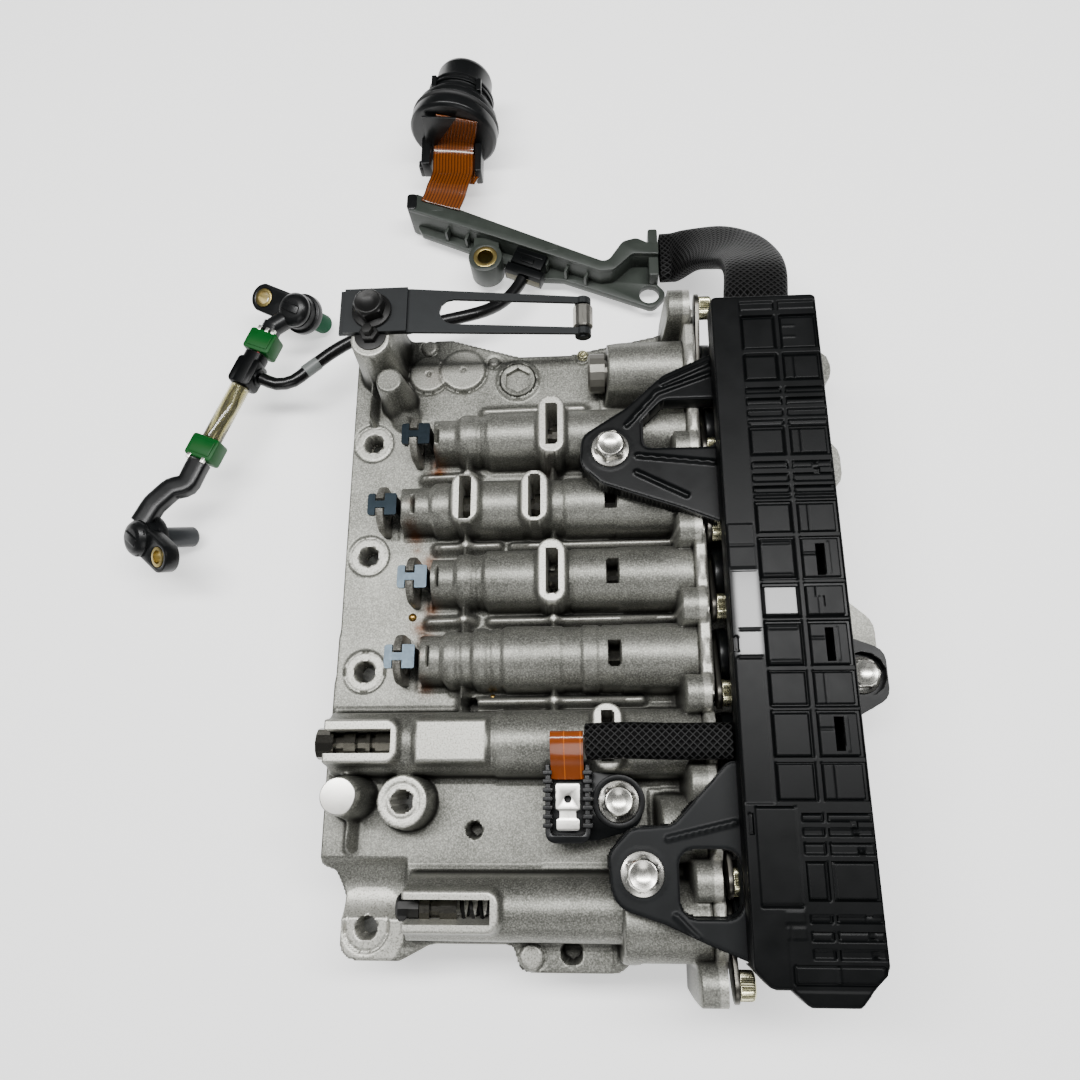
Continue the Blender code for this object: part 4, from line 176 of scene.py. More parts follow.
def die_cast_aluminium(name="die_cast_aluminium", relief=False):
    """Silicon rich aluminium, pressure cast and shot blasted: fine pale grain with dark pits. Where it is
    milled it is paler and flatter, and oil has dried brown round the keys. In the relief the milled value
    also paints the ribs' crests paler, a painted highlight, and where the relief lies low among its
    surroundings it is painted darker, a painted shade."""
    made, tree, surface, where = blank(name, 0.4, 0.72)
    grain = noise(tree, where, 0.6, 3.0, 0.6)
    pits = noise(tree, where, 0.95, 2.0, 0.7)
    cloud = noise(tree, where, 22.0, 3.0)
    tone = add(tree, "ValToRGB", stops=[(0.34, "#50514B"), (0.5, "#787872"), (0.66, "#AEAEA6")],
               Fac=grain).outputs[0]
    wide = add(tree, "ValToRGB", stops=[(0.36, "#5A5A54"), (0.62, "#84847D")], Fac=cloud).outputs[0]
    colour = blend_colour(tree, 0.45, tone, wide)
    pit = add(tree, "ValToRGB", stops=[(0.33, 1.0), (0.40, 0.0)], Fac=pits).outputs[0]
    colour = blend_colour(tree, spread(tree, pit, 0.0, 0.35), colour, linear("#2E2C29"))
    rough = spread(tree, grain, 0.34, 0.56)
    if relief:
        milled = add(tree, "Attribute", {"attribute_name": "milled"}).outputs["Fac"]
        hollow_shade = add(tree, "Attribute", {"attribute_name": "hollow_shade"}).outputs["Fac"]
        stain = add(tree, "Attribute", {"attribute_name": "stain"}).outputs["Fac"]
        pale = add(tree, "ValToRGB", stops=[(0.34, "#7B7A73"), (0.44, "#ACABA3"), (0.7, "#C9C8C0")],
                   Fac=grain).outputs[0]
        colour = blend_colour(tree, milled, colour, pale)
        # Painted shade: points that lie low among their surroundings are darkened towards #201F1C.
        colour = blend_colour(tree, spread(tree, hollow_shade, 0.0, 0.9), colour, linear("#201F1C"))
        edge = spread(tree, noise(tree, where, 1.6, 3.0), 0.5, 1.5)
        amount = add(tree, "Math", {"operation": "MULTIPLY", "use_clamp": True}, i0=stain, i1=edge).outputs[0]
        colour = blend_colour(tree, amount, colour, linear("#4A2A12"))
    tree.links.new(colour, surface.inputs["Base Color"])
    tree.links.new(rough, surface.inputs["Roughness"])
    bumped(tree, surface, grain, 0.06, 0.6)
    return made


def steel(name, code, roughness=0.28, scratch_mm=0.6, tint=None, metallic=1.0):
    """Steel turned or rolled and then plated or blued: one tone, broken by handling marks."""
    made, tree, surface, where = blank(name, roughness, metallic)
    cloud = noise(tree, where, 5.0, 3.0)
    mark = noise(tree, where, scratch_mm, 2.0, 0.65)
    dark = blend_colour(tree, spread(tree, cloud, 0.0, 0.55), linear(code), linear(tint or "#8A887F"))
    tree.links.new(dark, surface.inputs["Base Color"])
    tree.links.new(spread(tree, mark, roughness - 0.09, roughness + 0.12), surface.inputs["Roughness"])
    bumped(tree, surface, mark, 0.02, 0.3)
    return made


def moulded(name, code, roughness=0.34, other=None, grain_mm=0.8, depth=0.03, **shader):
    """Injection moulded plastic: a nearly even colour with the fine orange peel of the mould."""
    made, tree, surface, where = blank(name, roughness, 0.0, **shader)
    peel = noise(tree, where, grain_mm, 2.0)
    cloud = noise(tree, where, 9.0, 3.0)
    colour = blend_colour(tree, spread(tree, cloud, 0.0, 1.0), linear(code), linear(other or code))
    tree.links.new(colour, surface.inputs["Base Color"])
    tree.links.new(spread(tree, cloud, roughness - 0.08, roughness + 0.12), surface.inputs["Roughness"])
    bumped(tree, surface, peel, depth, 0.4)
    return made


def lead_frame_cover():
    """Glass filled PPS, moulded: nearly black and dull, with the polish of the tool on the strip that has no
    cells. The piece's gloss value says where that is."""
    made, tree, surface, where = blank("black_pps_cover", 0.4, 0.0, Specular_IOR_Level=0.12,
                                       Coat_Roughness=0.1)
    cloud = noise(tree, where, 9.0, 3.0)
    gloss = add(tree, "Attribute", {"attribute_name": "gloss"}).outputs["Fac"]
    tree.links.new(blend_colour(tree, cloud, linear("#040505"), linear("#0B0C0D")),
                   surface.inputs["Base Color"])
    tree.links.new(spread(tree, cloud, 0.3, 0.46), surface.inputs["Roughness"])
    tree.links.new(gloss, surface.inputs["Coat Weight"])
    bumped(tree, surface, noise(tree, where, 0.9), 0.02, 0.4)
    return made


def braid():
    """Polyester monofilament braided at 45 degrees over a flat core. The piece's UV map is in millimetres,
    and both families of strands lie 1.8 mm apart, twice the real pitch, so that they show."""
    made, tree, surface, _ = blank("braided_monofilament", 0.45, 0.0, Specular_IOR_Level=0.05)
    split = add(tree, "SeparateXYZ", Vector=add(tree, "UVMap").outputs[0])
    u, v = split.outputs[0], split.outputs[1]
    turns = 2 * math.pi / BRAID_STEP
    waves = [computed(tree, "SINE", computed(tree, "MULTIPLY", computed(tree, way, u, v), turns))
             for way in ("ADD", "SUBTRACT")]
    weave = computed(tree, "MAXIMUM", *waves)
    lift = add(tree, "MapRange", Value=weave, From_Min=-0.9, From_Max=1.0, To_Min=0.0, To_Max=1.0).outputs[0]
    # The weave's crests are painted lighter and the gaps between the strands darker: painted highlight and
    # painted shade.
    shade = add(tree, "ValToRGB", stops=[(0.55, "#010101"), (0.88, "#050505"), (0.97, "#262626")],
                Fac=lift).outputs[0]
    tree.links.new(shade, surface.inputs["Base Color"])
    bumped(tree, surface, lift, 0.3, 0.7)
    return made


def film(name, code, track, pitch_mm, share):
    """Polyimide film laminated over copper tracks that run along the piece's UV map in millimetres."""
    made, tree, surface, where = blank(name, 0.22, 0.0, Coat_Weight=0.5, Coat_Roughness=0.1)
    split = add(tree, "SeparateXYZ", Vector=add(tree, "UVMap").outputs[0])
    phase = computed(tree, "FRACT", computed(tree, "MULTIPLY", split.outputs[0], 1.0 / pitch_mm))
    line = add(tree, "ValToRGB", stops=[(share, 0.0), (share + 0.06, 1.0)], Fac=phase).outputs[0]
    cloud = noise(tree, where, 7.0)
    base = blend_colour(tree, spread(tree, cloud, 0.0, 0.5), linear(code), linear("#5A2E0A"))
    tree.links.new(blend_colour(tree, line, base, linear(track)), surface.inputs["Base Color"])
    bumped(tree, surface, line, 0.06, 0.6)
    return made


def clear_plastic():
    """Clear PVC tube, so thin walled that the wires inside show through."""
    made, tree, surface, where = blank("clear_pvc", 0.08, 0.0, IOR=1.45, Transmission_Weight=0.92)
    haze = noise(tree, where, 6.0)
    tree.links.new(blend_colour(tree, haze, linear("#D2CEB0"), linear("#B3AE88")),
                   surface.inputs["Base Color"])
    return made


def make_materials():
    return {
        "relief": die_cast_aluminium("die_cast_aluminium_relief", True),
        "cast": die_cast_aluminium(),
        "zinc": steel("zinc_plated_steel", "#EFEDE6", 0.27, 0.5, "#CFCCC0"),
        "screw": steel("yellow_zinc_plated_steel", "#D9D5B4", 0.24, 0.5, "#A6A382"),
        "bare": steel("bare_turned_steel", "#B9B6AE", 0.3, 0.5, "#8C8981"),
        "spool": steel("hard_anodised_spool", "#66645E", 0.16, 0.5, "#2A2926", 0.95),
        "blued": steel("blued_spring_steel", "#20272C", 0.34, 1.2, "#0A0C0E"),
        "bright_key": steel("bright_spring_steel", "#48525A", 0.36, 1.2, "#181E23"),
        "leaf": steel("black_oxide_spring_steel", "#232526", 0.45, 0.6, "#17191A", 0.5),
        "black_bolt": steel("black_phosphated_steel", "#161616", 0.42, 0.5, "#262523", 0.6),
        "brass": steel("brass", "#C9A45C", 0.3, 0.4, "#8F6A2C"),
        "bush": steel("brass_bush", "#B7A468", 0.3, 0.4, "#6E5C30"),
        "silver": steel("tin_plated_contact", "#E4E2DC", 0.3, 0.4, "#BDBAB2"),
        "cover": lead_frame_cover(),
        "module": moulded("black_pps", "#040505", 0.3, "#090A0B", 0.9, 0.02, Specular_IOR_Level=0.14),
        "dark_module": moulded("black_pps_worn", "#0B0C0D", 0.44, "#141617", 0.9, 0.03,
                               Specular_IOR_Level=0.16),
        "plug": steel("grey_anodised_plug", "#7B7972", 0.42, 0.5, "#4A4945", 0.8),
        "zinc_dark": steel("dark_zinc_plate", "#5C5A55", 0.35, 0.5, "#3C3A36"),
        "black": moulded("black_pa66", "#070808", 0.3, "#0F1011", 0.8, 0.03, Specular_IOR_Level=0.3),
        "grey_green": moulded("grey_green_pa66", "#262A26", 0.4, "#353A35", 0.9, 0.03,
                              Specular_IOR_Level=0.3),
        "green": moulded("green_pbt", "#033F12", 0.4, "#054D18", 0.8, 0.02, Specular_IOR_Level=0.15),
        "probe": moulded("dark_green_pps", "#14402A", 0.5, "#1D4E36", 0.8, 0.01, Specular_IOR_Level=0.05),
        "dark_grey": moulded("dark_grey_pps", "#1E2022", 0.36, "#2A2D30", 0.8, 0.02, Specular_IOR_Level=0.35),
        "cable": moulded("black_pvc_cable", "#060606", 0.26, "#0C0C0D", 1.4, 0.03, Specular_IOR_Level=0.35),
        "rubber": moulded("black_rubber", "#101010", 0.6, "#171717", 0.5, 0.03),
        "red_wire": moulded("red_wire", "#B8343C", 0.4, "#C9505A", 0.6, 0.01),
        "olive_wire": moulded("olive_wire", "#332E10", 0.4, "#4A431D", 0.6, 0.01),
        "white_wire": moulded("white_wire", "#77765A", 0.4, "#8F8D70", 0.6, 0.01),
        "band": moulded("grey_band", "#5C605E", 0.4, "#6A6E6C", 0.6, 0.02),
        "braid": braid(),
        "film": film("polyimide_flex", "#3C1C06", "#68340C", 1.5, 0.4),
        "film_bright": film("polyimide_flex_bright", "#843B07", "#C9691A", 5.6, 0.93),
        "clear": clear_plastic(),
    }


# Meshes

def mesh_of(name, points, faces, uv=None, values=None, closed=False, angle=35):
    """A mesh object from points in millimetres and faces, with a UV map in millimetres and point values."""
    mesh = bpy.data.meshes.new(name)
    points = np.asarray(points, dtype=float).reshape(-1, 3)
    faces = np.asarray(faces, dtype=np.int64)
    mesh.vertices.add(len(points))
    mesh.vertices.foreach_set("co", (points * MM).ravel())
    mesh.loops.add(faces.size)
    mesh.loops.foreach_set("vertex_index", faces.ravel())
    mesh.polygons.add(len(faces))
    mesh.polygons.foreach_set("loop_start", np.arange(0, faces.size, faces.shape[1]))
    mesh.update(calc_edges=True)
    if uv is not None:
        layer = mesh.uv_layers.new(name="UVMap")
        layer.data.foreach_set("uv", np.asarray(uv, dtype=float).reshape(-1, 2)[faces.ravel()].ravel())
    for key, value in (values or {}).items():
        mesh.attributes.new(key, "FLOAT", "POINT").data.foreach_set("value", np.asarray(value, float).ravel())
    mesh.validate()
    if closed:
        tidy(mesh)
    return finished(name, mesh, angle)


def tidy(mesh):
    """Closes poles and seams and turns every face outwards."""
    built = bmesh.new()
    built.from_mesh(mesh)
    bmesh.ops.remove_doubles(built, verts=built.verts, dist=1e-6)
    bmesh.ops.dissolve_degenerate(built, edges=built.edges, dist=1e-7)
    bmesh.ops.recalc_face_normals(built, faces=built.faces)
    built.to_mesh(mesh)
    built.free()


def finished(name, mesh, angle):
    """An object of a mesh, smooth but for its sharp edges."""
    mesh.shade_smooth()
    mesh.set_sharp_from_angle(angle=math.radians(angle))
    return linked(name, mesh)


def grid_faces(rows, columns, wrap=False):
    """Quads between the points of a grid, whose last column meets the first one where it wraps."""
    i = np.arange(rows - 1)[:, None]
    j = np.arange(columns if wrap else columns - 1)[None, :]
    k = (j + 1) % columns
    return np.stack([i * columns + j, i * columns + k, (i + 1) * columns + k, (i + 1) * columns + j],
                    -1).reshape(-1, 4)


def dress(piece, material, replaces=()):
    """Material, material slot and body of a piece, and the CAD nodes that it stands for."""
    piece.data.materials.clear()
    piece.data.materials.append(LOOKS[material])
    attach(piece, ROOT)
    if replaces:
        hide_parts(*replaces)
    return piece


def frame_along(start, direction):
    """The matrix that lays Z along a direction from a start, in millimetres."""
    turn = Vector(direction).to_track_quat("Z", "Y").to_matrix().to_4x4()
    return Matrix.Translation(Vector(start)) @ turn


def placed(points, matrix):
    """Points times a 4 by 4 matrix."""
    m = np.array(matrix)
    return points @ m[:3, :3].T + m[:3, 3]


def softened(line, radius):
    """A line of points with each inner corner replaced by three points of an arc."""
    line = np.asarray(line, float)
    out = [line[0]]
    for before, here, after in zip(line, line[1:], line[2:]):
        a, b = before - here, after - here
        la, lb = np.linalg.norm(a), np.linalg.norm(b)
        reach = min(radius, la * 0.45, lb * 0.45)
        first, last = here + a / la * reach, here + b / lb * reach
        out += [first, 0.25 * first + 0.5 * here + 0.25 * last, last]
    return np.array(out + [line[-1]])


def turned(name, profile, start, direction, steps=48, soft=0.25):
    """A turned piece: a softened line of (along, radius) pairs carried round its axis."""
    line = softened(profile, soft) if soft else np.asarray(profile, float)
    turn = np.linspace(0, 2 * np.pi, steps, endpoint=False)
    along, radius = line[:, 0][:, None], line[:, 1][:, None]
    points = np.stack([radius * np.cos(turn), radius * np.sin(turn), along + 0 * turn], -1)
    points = placed(points, frame_along(start, direction))
    return mesh_of(name, points, grid_faces(len(line), steps, True), closed=True, angle=30)


def smooth_path(points, count):
    """Points at even spacing on a Catmull-Rom curve through a path's own points."""
    knots = np.asarray(points, float)
    knots = np.vstack([2 * knots[0] - knots[1], knots, 2 * knots[-1] - knots[-2]])
    t = np.linspace(0, 1, 24, endpoint=False)[:, None]
    a, b, c, d = knots[:-3, None], knots[1:-2, None], knots[2:-1, None], knots[3:, None]
    fine = 0.5 * (2 * b + (c - a) * t + (2 * a - 5 * b + 4 * c - d) * t ** 2 + (3 * b - a - 3 * c + d)
                  * t ** 3)
    fine = np.vstack([fine.reshape(-1, knots.shape[1]), knots[-2]])
    length = np.concatenate([[0], np.cumsum(np.linalg.norm(np.diff(fine, axis=0), axis=1))])
    even = np.linspace(0, length[-1], count)
    return np.stack([np.interp(even, length, fine[:, k]) for k in range(fine.shape[1])], -1)


def swept(name, path, wide, sides=24, width=1.0, thick=1.0, power=2.0, ends=0.6):
    """A section carried along a path. The section is a superellipse: |u/width|^power + |v/thick|^power = 1,
    its width laid along a direction for each point. Both ends are rounded off to a pole."""
    path = np.asarray(path, float)
    run = np.gradient(path, axis=0)
    run /= np.linalg.norm(run, axis=1)[:, None]
    wide = np.broadcast_to(np.asarray(wide, float), path.shape)
    level = np.cross(run, wide)
    level /= np.linalg.norm(level, axis=1)[:, None]
    side = np.cross(level, run)
    turn = np.linspace(0, 2 * np.pi, sides, endpoint=False)
    cosine, sine = np.cos(turn), np.sin(turn)
    bulge = (np.abs(cosine) ** power + np.abs(sine) ** power) ** (1 / power)
    u, v = width * cosine / bulge, thick * sine / bulge
    caps = np.array([0.0, 0.62, 0.9, 1.0])
    push = ends * (1 - np.sqrt(1 - caps ** 2))
    scale = np.concatenate([caps, np.ones(len(path) - 2), caps[::-1]])
    centre = np.vstack([path[0] + run[0] * (push[:, None]), path[1:-1],
                        path[-1] - run[-1] * push[::-1, None]])
    pick = np.concatenate([np.zeros(4, int), np.arange(1, len(path) - 1), np.full(4, len(path) - 1)])
    points = centre[:, None] + scale[:, None, None] * (side[pick][:, None] * u[:, None]
                                                       + level[pick][:, None] * v[:, None])
    gone = np.concatenate([[0], np.cumsum(np.linalg.norm(np.diff(centre, axis=0), axis=1))])
    arc = np.concatenate([[0], np.cumsum(np.hypot(np.diff(u), np.diff(v)))])
    uv = np.stack(np.broadcast_arrays(arc[None, :], gone[:, None]), -1)
    return mesh_of(name, points, grid_faces(len(points), sides, True), uv=uv, closed=True, angle=50)


def flat_piece(name, outlines, low, high, soft=0.3, turn=None):
    """A plate from an outline and its holes, filled and extruded, with softened edges."""
    data = bpy.data.curves.new(name, "CURVE")
    data.dimensions = "2D"
    data.fill_mode = "BOTH"
    data.extrude = ((high - low) / 2 - soft) * MM
    data.bevel_depth = soft * MM
    data.offset = -soft * MM
    data.bevel_resolution = 1
    for outline in outlines:
        loop = data.splines.new("POLY")
        loop.points.add(len(outline) - 1)
        for point, (x, y) in zip(loop.points, outline):
            point.co = (x * MM, y * MM, 0.0, 1.0)
        loop.use_cyclic_u = True
    made = linked(name, data)
    bpy.context.view_layer.update()
    mesh = bpy.data.meshes.new_from_object(made.evaluated_get(bpy.context.evaluated_depsgraph_get()))
    bpy.data.objects.remove(made, do_unlink=True)
    mesh.transform(Matrix.Translation((0, 0, (low + high) / 2 * MM)))
    if turn is not None:
        mesh.transform(Matrix([[*row[:3], row[3] * MM] for row in turn[:3]] + [[0, 0, 0, 1]]))
    tidy(mesh)
    return finished(name, mesh, 30)


def merged(name, pieces):
    """Several meshes made one object."""
    built = bmesh.new()
    for piece in pieces:
        built.from_mesh(piece.data)
    mesh = bpy.data.meshes.new(name)
    built.to_mesh(mesh)
    built.free()
    for piece in pieces:
        bpy.data.objects.remove(piece, do_unlink=True)
    return finished(name, mesh, 35)


def ring_line(x, y, radius, count=32):
    turn = np.linspace(0, 2 * np.pi, count, endpoint=False)
    return np.stack([x + radius * np.cos(turn), y + radius * np.sin(turn)], -1)


def rounded(corners, steps=5):
    """An outline from (x, y, radius) corners, each turned into an arc."""
    outline = []
    for i, (x, y, radius) in enumerate(corners):
        here = Vector((x, y))
        before = Vector(corners[i - 1][:2]) - here
        after = Vector(corners[(i + 1) % len(corners)][:2]) - here
        if radius <= 0:
            outline.append((x, y))
            continue
        a, b = before.normalized(), after.normalized()
        half = math.acos(max(-1.0, min(1.0, a.dot(b)))) / 2
        reach = min(radius / math.tan(half), before.length / 2, after.length / 2)
        size = reach * math.tan(half)
        centre = here + (a + b).normalized() * (size / math.sin(half))
        first, last = here + a * reach - centre, here + b * reach - centre
        start = math.atan2(first.y, first.x)
        sweep = (math.atan2(last.y, last.x) - start + math.pi) % (2 * math.pi) - math.pi
        for step in range(steps + 1):
            angle = start + sweep * step / steps
            outline.append((centre.x + size * math.cos(angle), centre.y + size * math.sin(angle)))
    return outline


# Relief of the castings

def rectangle(x, y, cx, cy, width, height, radius):
    """Distance to a rounded rectangle, negative inside."""
    qx = np.abs(x - cx) - width / 2 + radius
    qy = np.abs(y - cy) - height / 2 + radius
    return np.hypot(np.maximum(qx, 0), np.maximum(qy, 0)) + np.minimum(np.maximum(qx, qy), 0) - radius


def disc(x, y, cx, cy, radius):
    """Distance to a circle, negative inside."""
    return np.hypot(x - cx, y - cy) - radius


def capsule(x, y, x1, y1, x2, y2, radius):
    """Distance to a bar with round ends between two points."""
    dx, dy = x2 - x1, y2 - y1
    t = np.clip(((x - x1) * dx + (y - y1) * dy) / (dx * dx + dy * dy), 0, 1)
    return np.hypot(x - x1 - t * dx, y - y1 - t * dy) - radius


def polygon(x, y, corners):
    """Distance to a polygon: the least to its edges, negative where a ray crosses them an odd number of
    times."""
    best = np.full(x.shape, 1e9)
    inside = np.zeros(x.shape, bool)
    for (x1, y1), (x2, y2) in zip(corners, [*corners[1:], corners[0]]):
        dx, dy = x2 - x1, y2 - y1
        span = dx * dx + dy * dy
        if span < 1e-9:
            continue
        t = np.clip(((x - x1) * dx + (y - y1) * dy) / span, 0, 1)
        best = np.minimum(best, np.hypot(x - x1 - t * dx, y - y1 - t * dy))
        if y1 != y2:
            crosses = ((y1 > y) != (y2 > y)) & (x < (x2 - x1) * (y - y1) / (y2 - y1) + x1)
            inside ^= crosses
    return np.where(inside, -best, best)


def soft_max(a, b, reach):
    """The larger of two heights, with a fillet where they are closer than the reach."""
    near = np.maximum(reach - np.abs(a - b), 0)
    return np.maximum(a, b) + near * near / (4 * reach)


def stand(z, d, top, fillet=2.2, wall=0.7, edge=0.6):
    """Raises a form to its top: steep wall, rounded upper edge and a quarter round at its foot."""
    out = np.clip(d, 0, fillet)
    foot = z + fillet - np.sqrt(np.maximum(fillet ** 2 - (fillet - out) ** 2, 0))
    inside = np.maximum(-d, 0)
    rounding = edge - np.sqrt(np.maximum(edge ** 2 - (edge - np.clip(inside - wall, 0, edge)) ** 2, 0))
    base = np.minimum(z + fillet, top)
    climb = base + (top - edge - base) * np.clip(inside / wall, 0, 1)
    raised = np.where(inside >= wall, top - rounding, climb)
    return np.maximum(z, np.where(d < 0, raised, np.minimum(foot, top)))


def sunk(z, d, floor, wall=0.45):
    """Sinks what lies inside a form to a floor, over a wall so many millimetres wide."""
    return np.where(d < 0, z - (z - floor) * np.clip(-d / wall, 0, 1), z)


def machined(milled, d, share=1.0):
    """Marks as milled what lies more than half a millimetre inside a form."""
    return np.maximum(milled, share * np.clip(-d / 0.5 - 1.0, 0, 1))


def barrel(z, x, y, row, left, right, knots, axis=AXIS, fillet=2.4, base=PLATE, blend=1.6):
    """A cast barrel: a half round of varying radius on upright sides that run out into the plate."""
    knots = np.array(knots)
    shifts = np.linspace(-0.6, 0.6, 5)
    radius = np.mean([np.interp(x + s, knots[:, 0], knots[:, 1]) for s in shifts], axis=0)
    across = np.abs(y - row)
    arch = axis + np.sqrt(np.maximum(radius ** 2 - across ** 2, 0))
    d = np.maximum(across - radius, np.maximum(left - x, x - right))
    steep = base + fillet + 14.0 * np.maximum(-d, 0)
    out = np.clip(d, 0, fillet)
    foot = base + fillet - np.sqrt(np.maximum(fillet ** 2 - (fillet - out) ** 2, 0))
    height = np.where(d < 0, np.minimum(arch, steep), foot)
    return np.where(d < fillet, soft_max(z, height, blend), z)


KNOTS = {
    "b": [(-50, 7.9), (-40.4, 7.9), (-39.3, 8.6), (-38.3, 9.7), (-35, 10.0), (-32, 9.7), (-30.6, 8.8),
          (-29.6, 9.6), (-28.2, 9.8), (-27.4, 10.7), (56, 10.7)],
    "c": [(-62, 8.4), (-50.6, 8.6), (-49.7, 8.3), (-48.6, 9.9), (-44.5, 10.3), (-41, 9.9), (-40, 9.2),
          (-39, 9.9), (-30.5, 10.8), (-14, 10.8), (-13.6, 10.4), (1.6, 10.4), (2.1, 9.9), (3, 11),
          (22, 11.1), (22.8, 11.4), (56, 11.4)],
    "d": [(-50, 8.3), (-40.2, 8.4), (-39.2, 8.1), (-38.1, 9.9), (-35, 10.3), (-32.2, 9.8), (-31.4, 9.0),
          (-30.4, 9.7), (-28.2, 9.7), (-27.4, 11.1), (3.6, 11.2), (4.5, 10.6), (5.3, 11.4), (22.4, 11.5),
          (23.2, 11.8), (41, 11.8), (56, 12.0)],
    "e": [(-52, 8.8), (-44.6, 8.9), (-43.4, 8.5), (-42.2, 10.4), (-39.5, 10.8), (-37.2, 10.3), (-36.4, 9.4),
          (-35.6, 10.3), (-33.2, 10.4), (-32.1, 9.7), (-31, 11.4), (-28, 11.7), (-25.8, 11.2), (-25.1, 10.4),
          (-24.4, 11.2), (-21.8, 11.3), (-21.1, 10.7), (-19.8, 12), (1, 12.1), (1.8, 11.5), (7.4, 11.6),
          (8.1, 11.0), (9, 12.3), (14.2, 12.3), (15.2, 11.5), (16.2, 12), (22.8, 12), (23.6, 12.4),
          (56, 12.5)],
}
PLATE_CORNERS = [
    (-79, -113, 6), (-57, -113, 4), (-46, -107.4, 8), (-17.4, -107.4, 3), (-14.6, -116.4, 5), (20, -116.4, 7),
    (26, -111, 5), (50.5, -111, 0), (50.5, 128, 0), (42, 130, 5), (5, 122.4, 3), (-17, 122.4, 6),
    (-46, 131.4, 6), (-86.4, 131.4, 5), (-86.4, 6, 30), (-88.2, -47, 10), (-88.2, -81.6, 2.5),
    (-83, -83.6, 2),
    (-79, -92, 6)]


def relief_heights(x, y):
    """Height of the outer casting over the bench at each point, how far it is milled and stained, and the
    distances to the casting's outline and to the nearest drilled hole. The ribs' crests are marked as milled
    too, which paints them paler: a painted highlight."""
    outline = polygon(x, y, rounded(PLATE_CORNERS, 4))
    z = np.full(x.shape, PLATE)
    milled = np.zeros(x.shape)
    for row, x1, x2, high in [(66.0, -54, -34, 41.2), (36.6, -48, -24, 41.0), (36.6, -18, 44, 41.4),
                              (6.8, -50, -34, 41.2), (6.8, -26, 44, 41.4), (-23.8, -30, 30, 41.6),
                              (95.0, -30, 10, 40.2)]:
        rib = capsule(x, y, x1, row, x2, row + 0.5, 1.5)
        z = stand(z, rib, high + 2.2, 3.2, 0.9, 0.6)
        # Painted highlight: the crest of each cast rib is marked as milled, which makes it paler.
        milled = np.maximum(milled, 0.9 * np.clip(-rib / 0.5 - 0.2, 0, 1))
    z = barrel(z, x, y, ROWS["a"], 19.6, 56, [(19, 11.2), (24, 11.8), (26, 12), (44, 12), (56, 12)],
               blend=2.4)
    for key in "bcde":
        z = barrel(z, x, y, ROWS[key], EARS[key] + EAR_LENGTH + KEY_SLOT, 56, KNOTS[key])
    z = barrel(z, x, y, ROWS["f"], -84, 56, [(-84, 11.4), (-24, 11.4), (-22, 12.0), (18, 12), (22, 12.3),
                                            (38, 12.3), (56, 12.3)])
    z = barrel(z, x, y, ROWS["g"], -53.4, 24, [(-55, 10.9), (17, 11.2), (24, 11.2)])
    z = barrel(z, x, y, ROWS["g_head"], 20, 56, [(20, 12.6), (22, 13.6), (44, 13.6), (56, 13.4)], blend=2.4)
    z = barrel(z, x, y, ROWS["h"], 34, 56, [(34, 11.0), (37, 11.6), (56, 11.6)], blend=2.4)
    for row in SCREW_ROWS:
        z = barrel(z, x, y, row, 43.3, 55.3, [(43, 6.6), (45, 7.6), (56, 7.6)], axis=SCREW_Z, fillet=1.8,
                   blend=2.6)
    for row in SOLENOID_ROWS:
        z = barrel(z, x, y, row, 50.3, 56, [(50, 14.2), (56, 14.2)], fillet=1.2, blend=1.2)
    z = stand(z, rectangle(x, y, 53, 52, 5.2, 154, 0.6), 59.4, 1.6, 0.5, 0.4)
    z = stand(z, rectangle(x, y, 53, -74, 5.2, 76, 0.6), 52, 1.6, 0.5, 0.4)
    z, milled = ribs_and_posts(x, y, z, milled)
    z, milled = frames_and_slots(x, y, z, milled)
    z, milled, holes = drilled(x, y, z, milled)
    milled = np.maximum(milled, 0.8 * ((x > 50.9) & (z > 51.0)))
    z = ear_slots(x, y, z)
    body = np.minimum(outline, rectangle(x, y, 53, 0, 5.0, 225, 0.5))
    for row in SCREW_ROWS:
        body = np.minimum(body, rectangle(x, y, 49.3, row, 12.0, 12.8, 1.0))
    for row in SOLENOID_ROWS:
        body = np.minimum(body, rectangle(x, y, 53, row, 4.9, 28.4, 1.0))
    drop = np.clip(body / 0.7 + 0.2, 0, 1)
    edge = np.clip(1 + body / 0.9, 0, 1)
    z = np.where(body < 0.7, z - 0.35 * edge ** 2 - (z - 0.35 - FOOT) * drop, FOOT)
    return z, milled, stains(x, y), body, holes


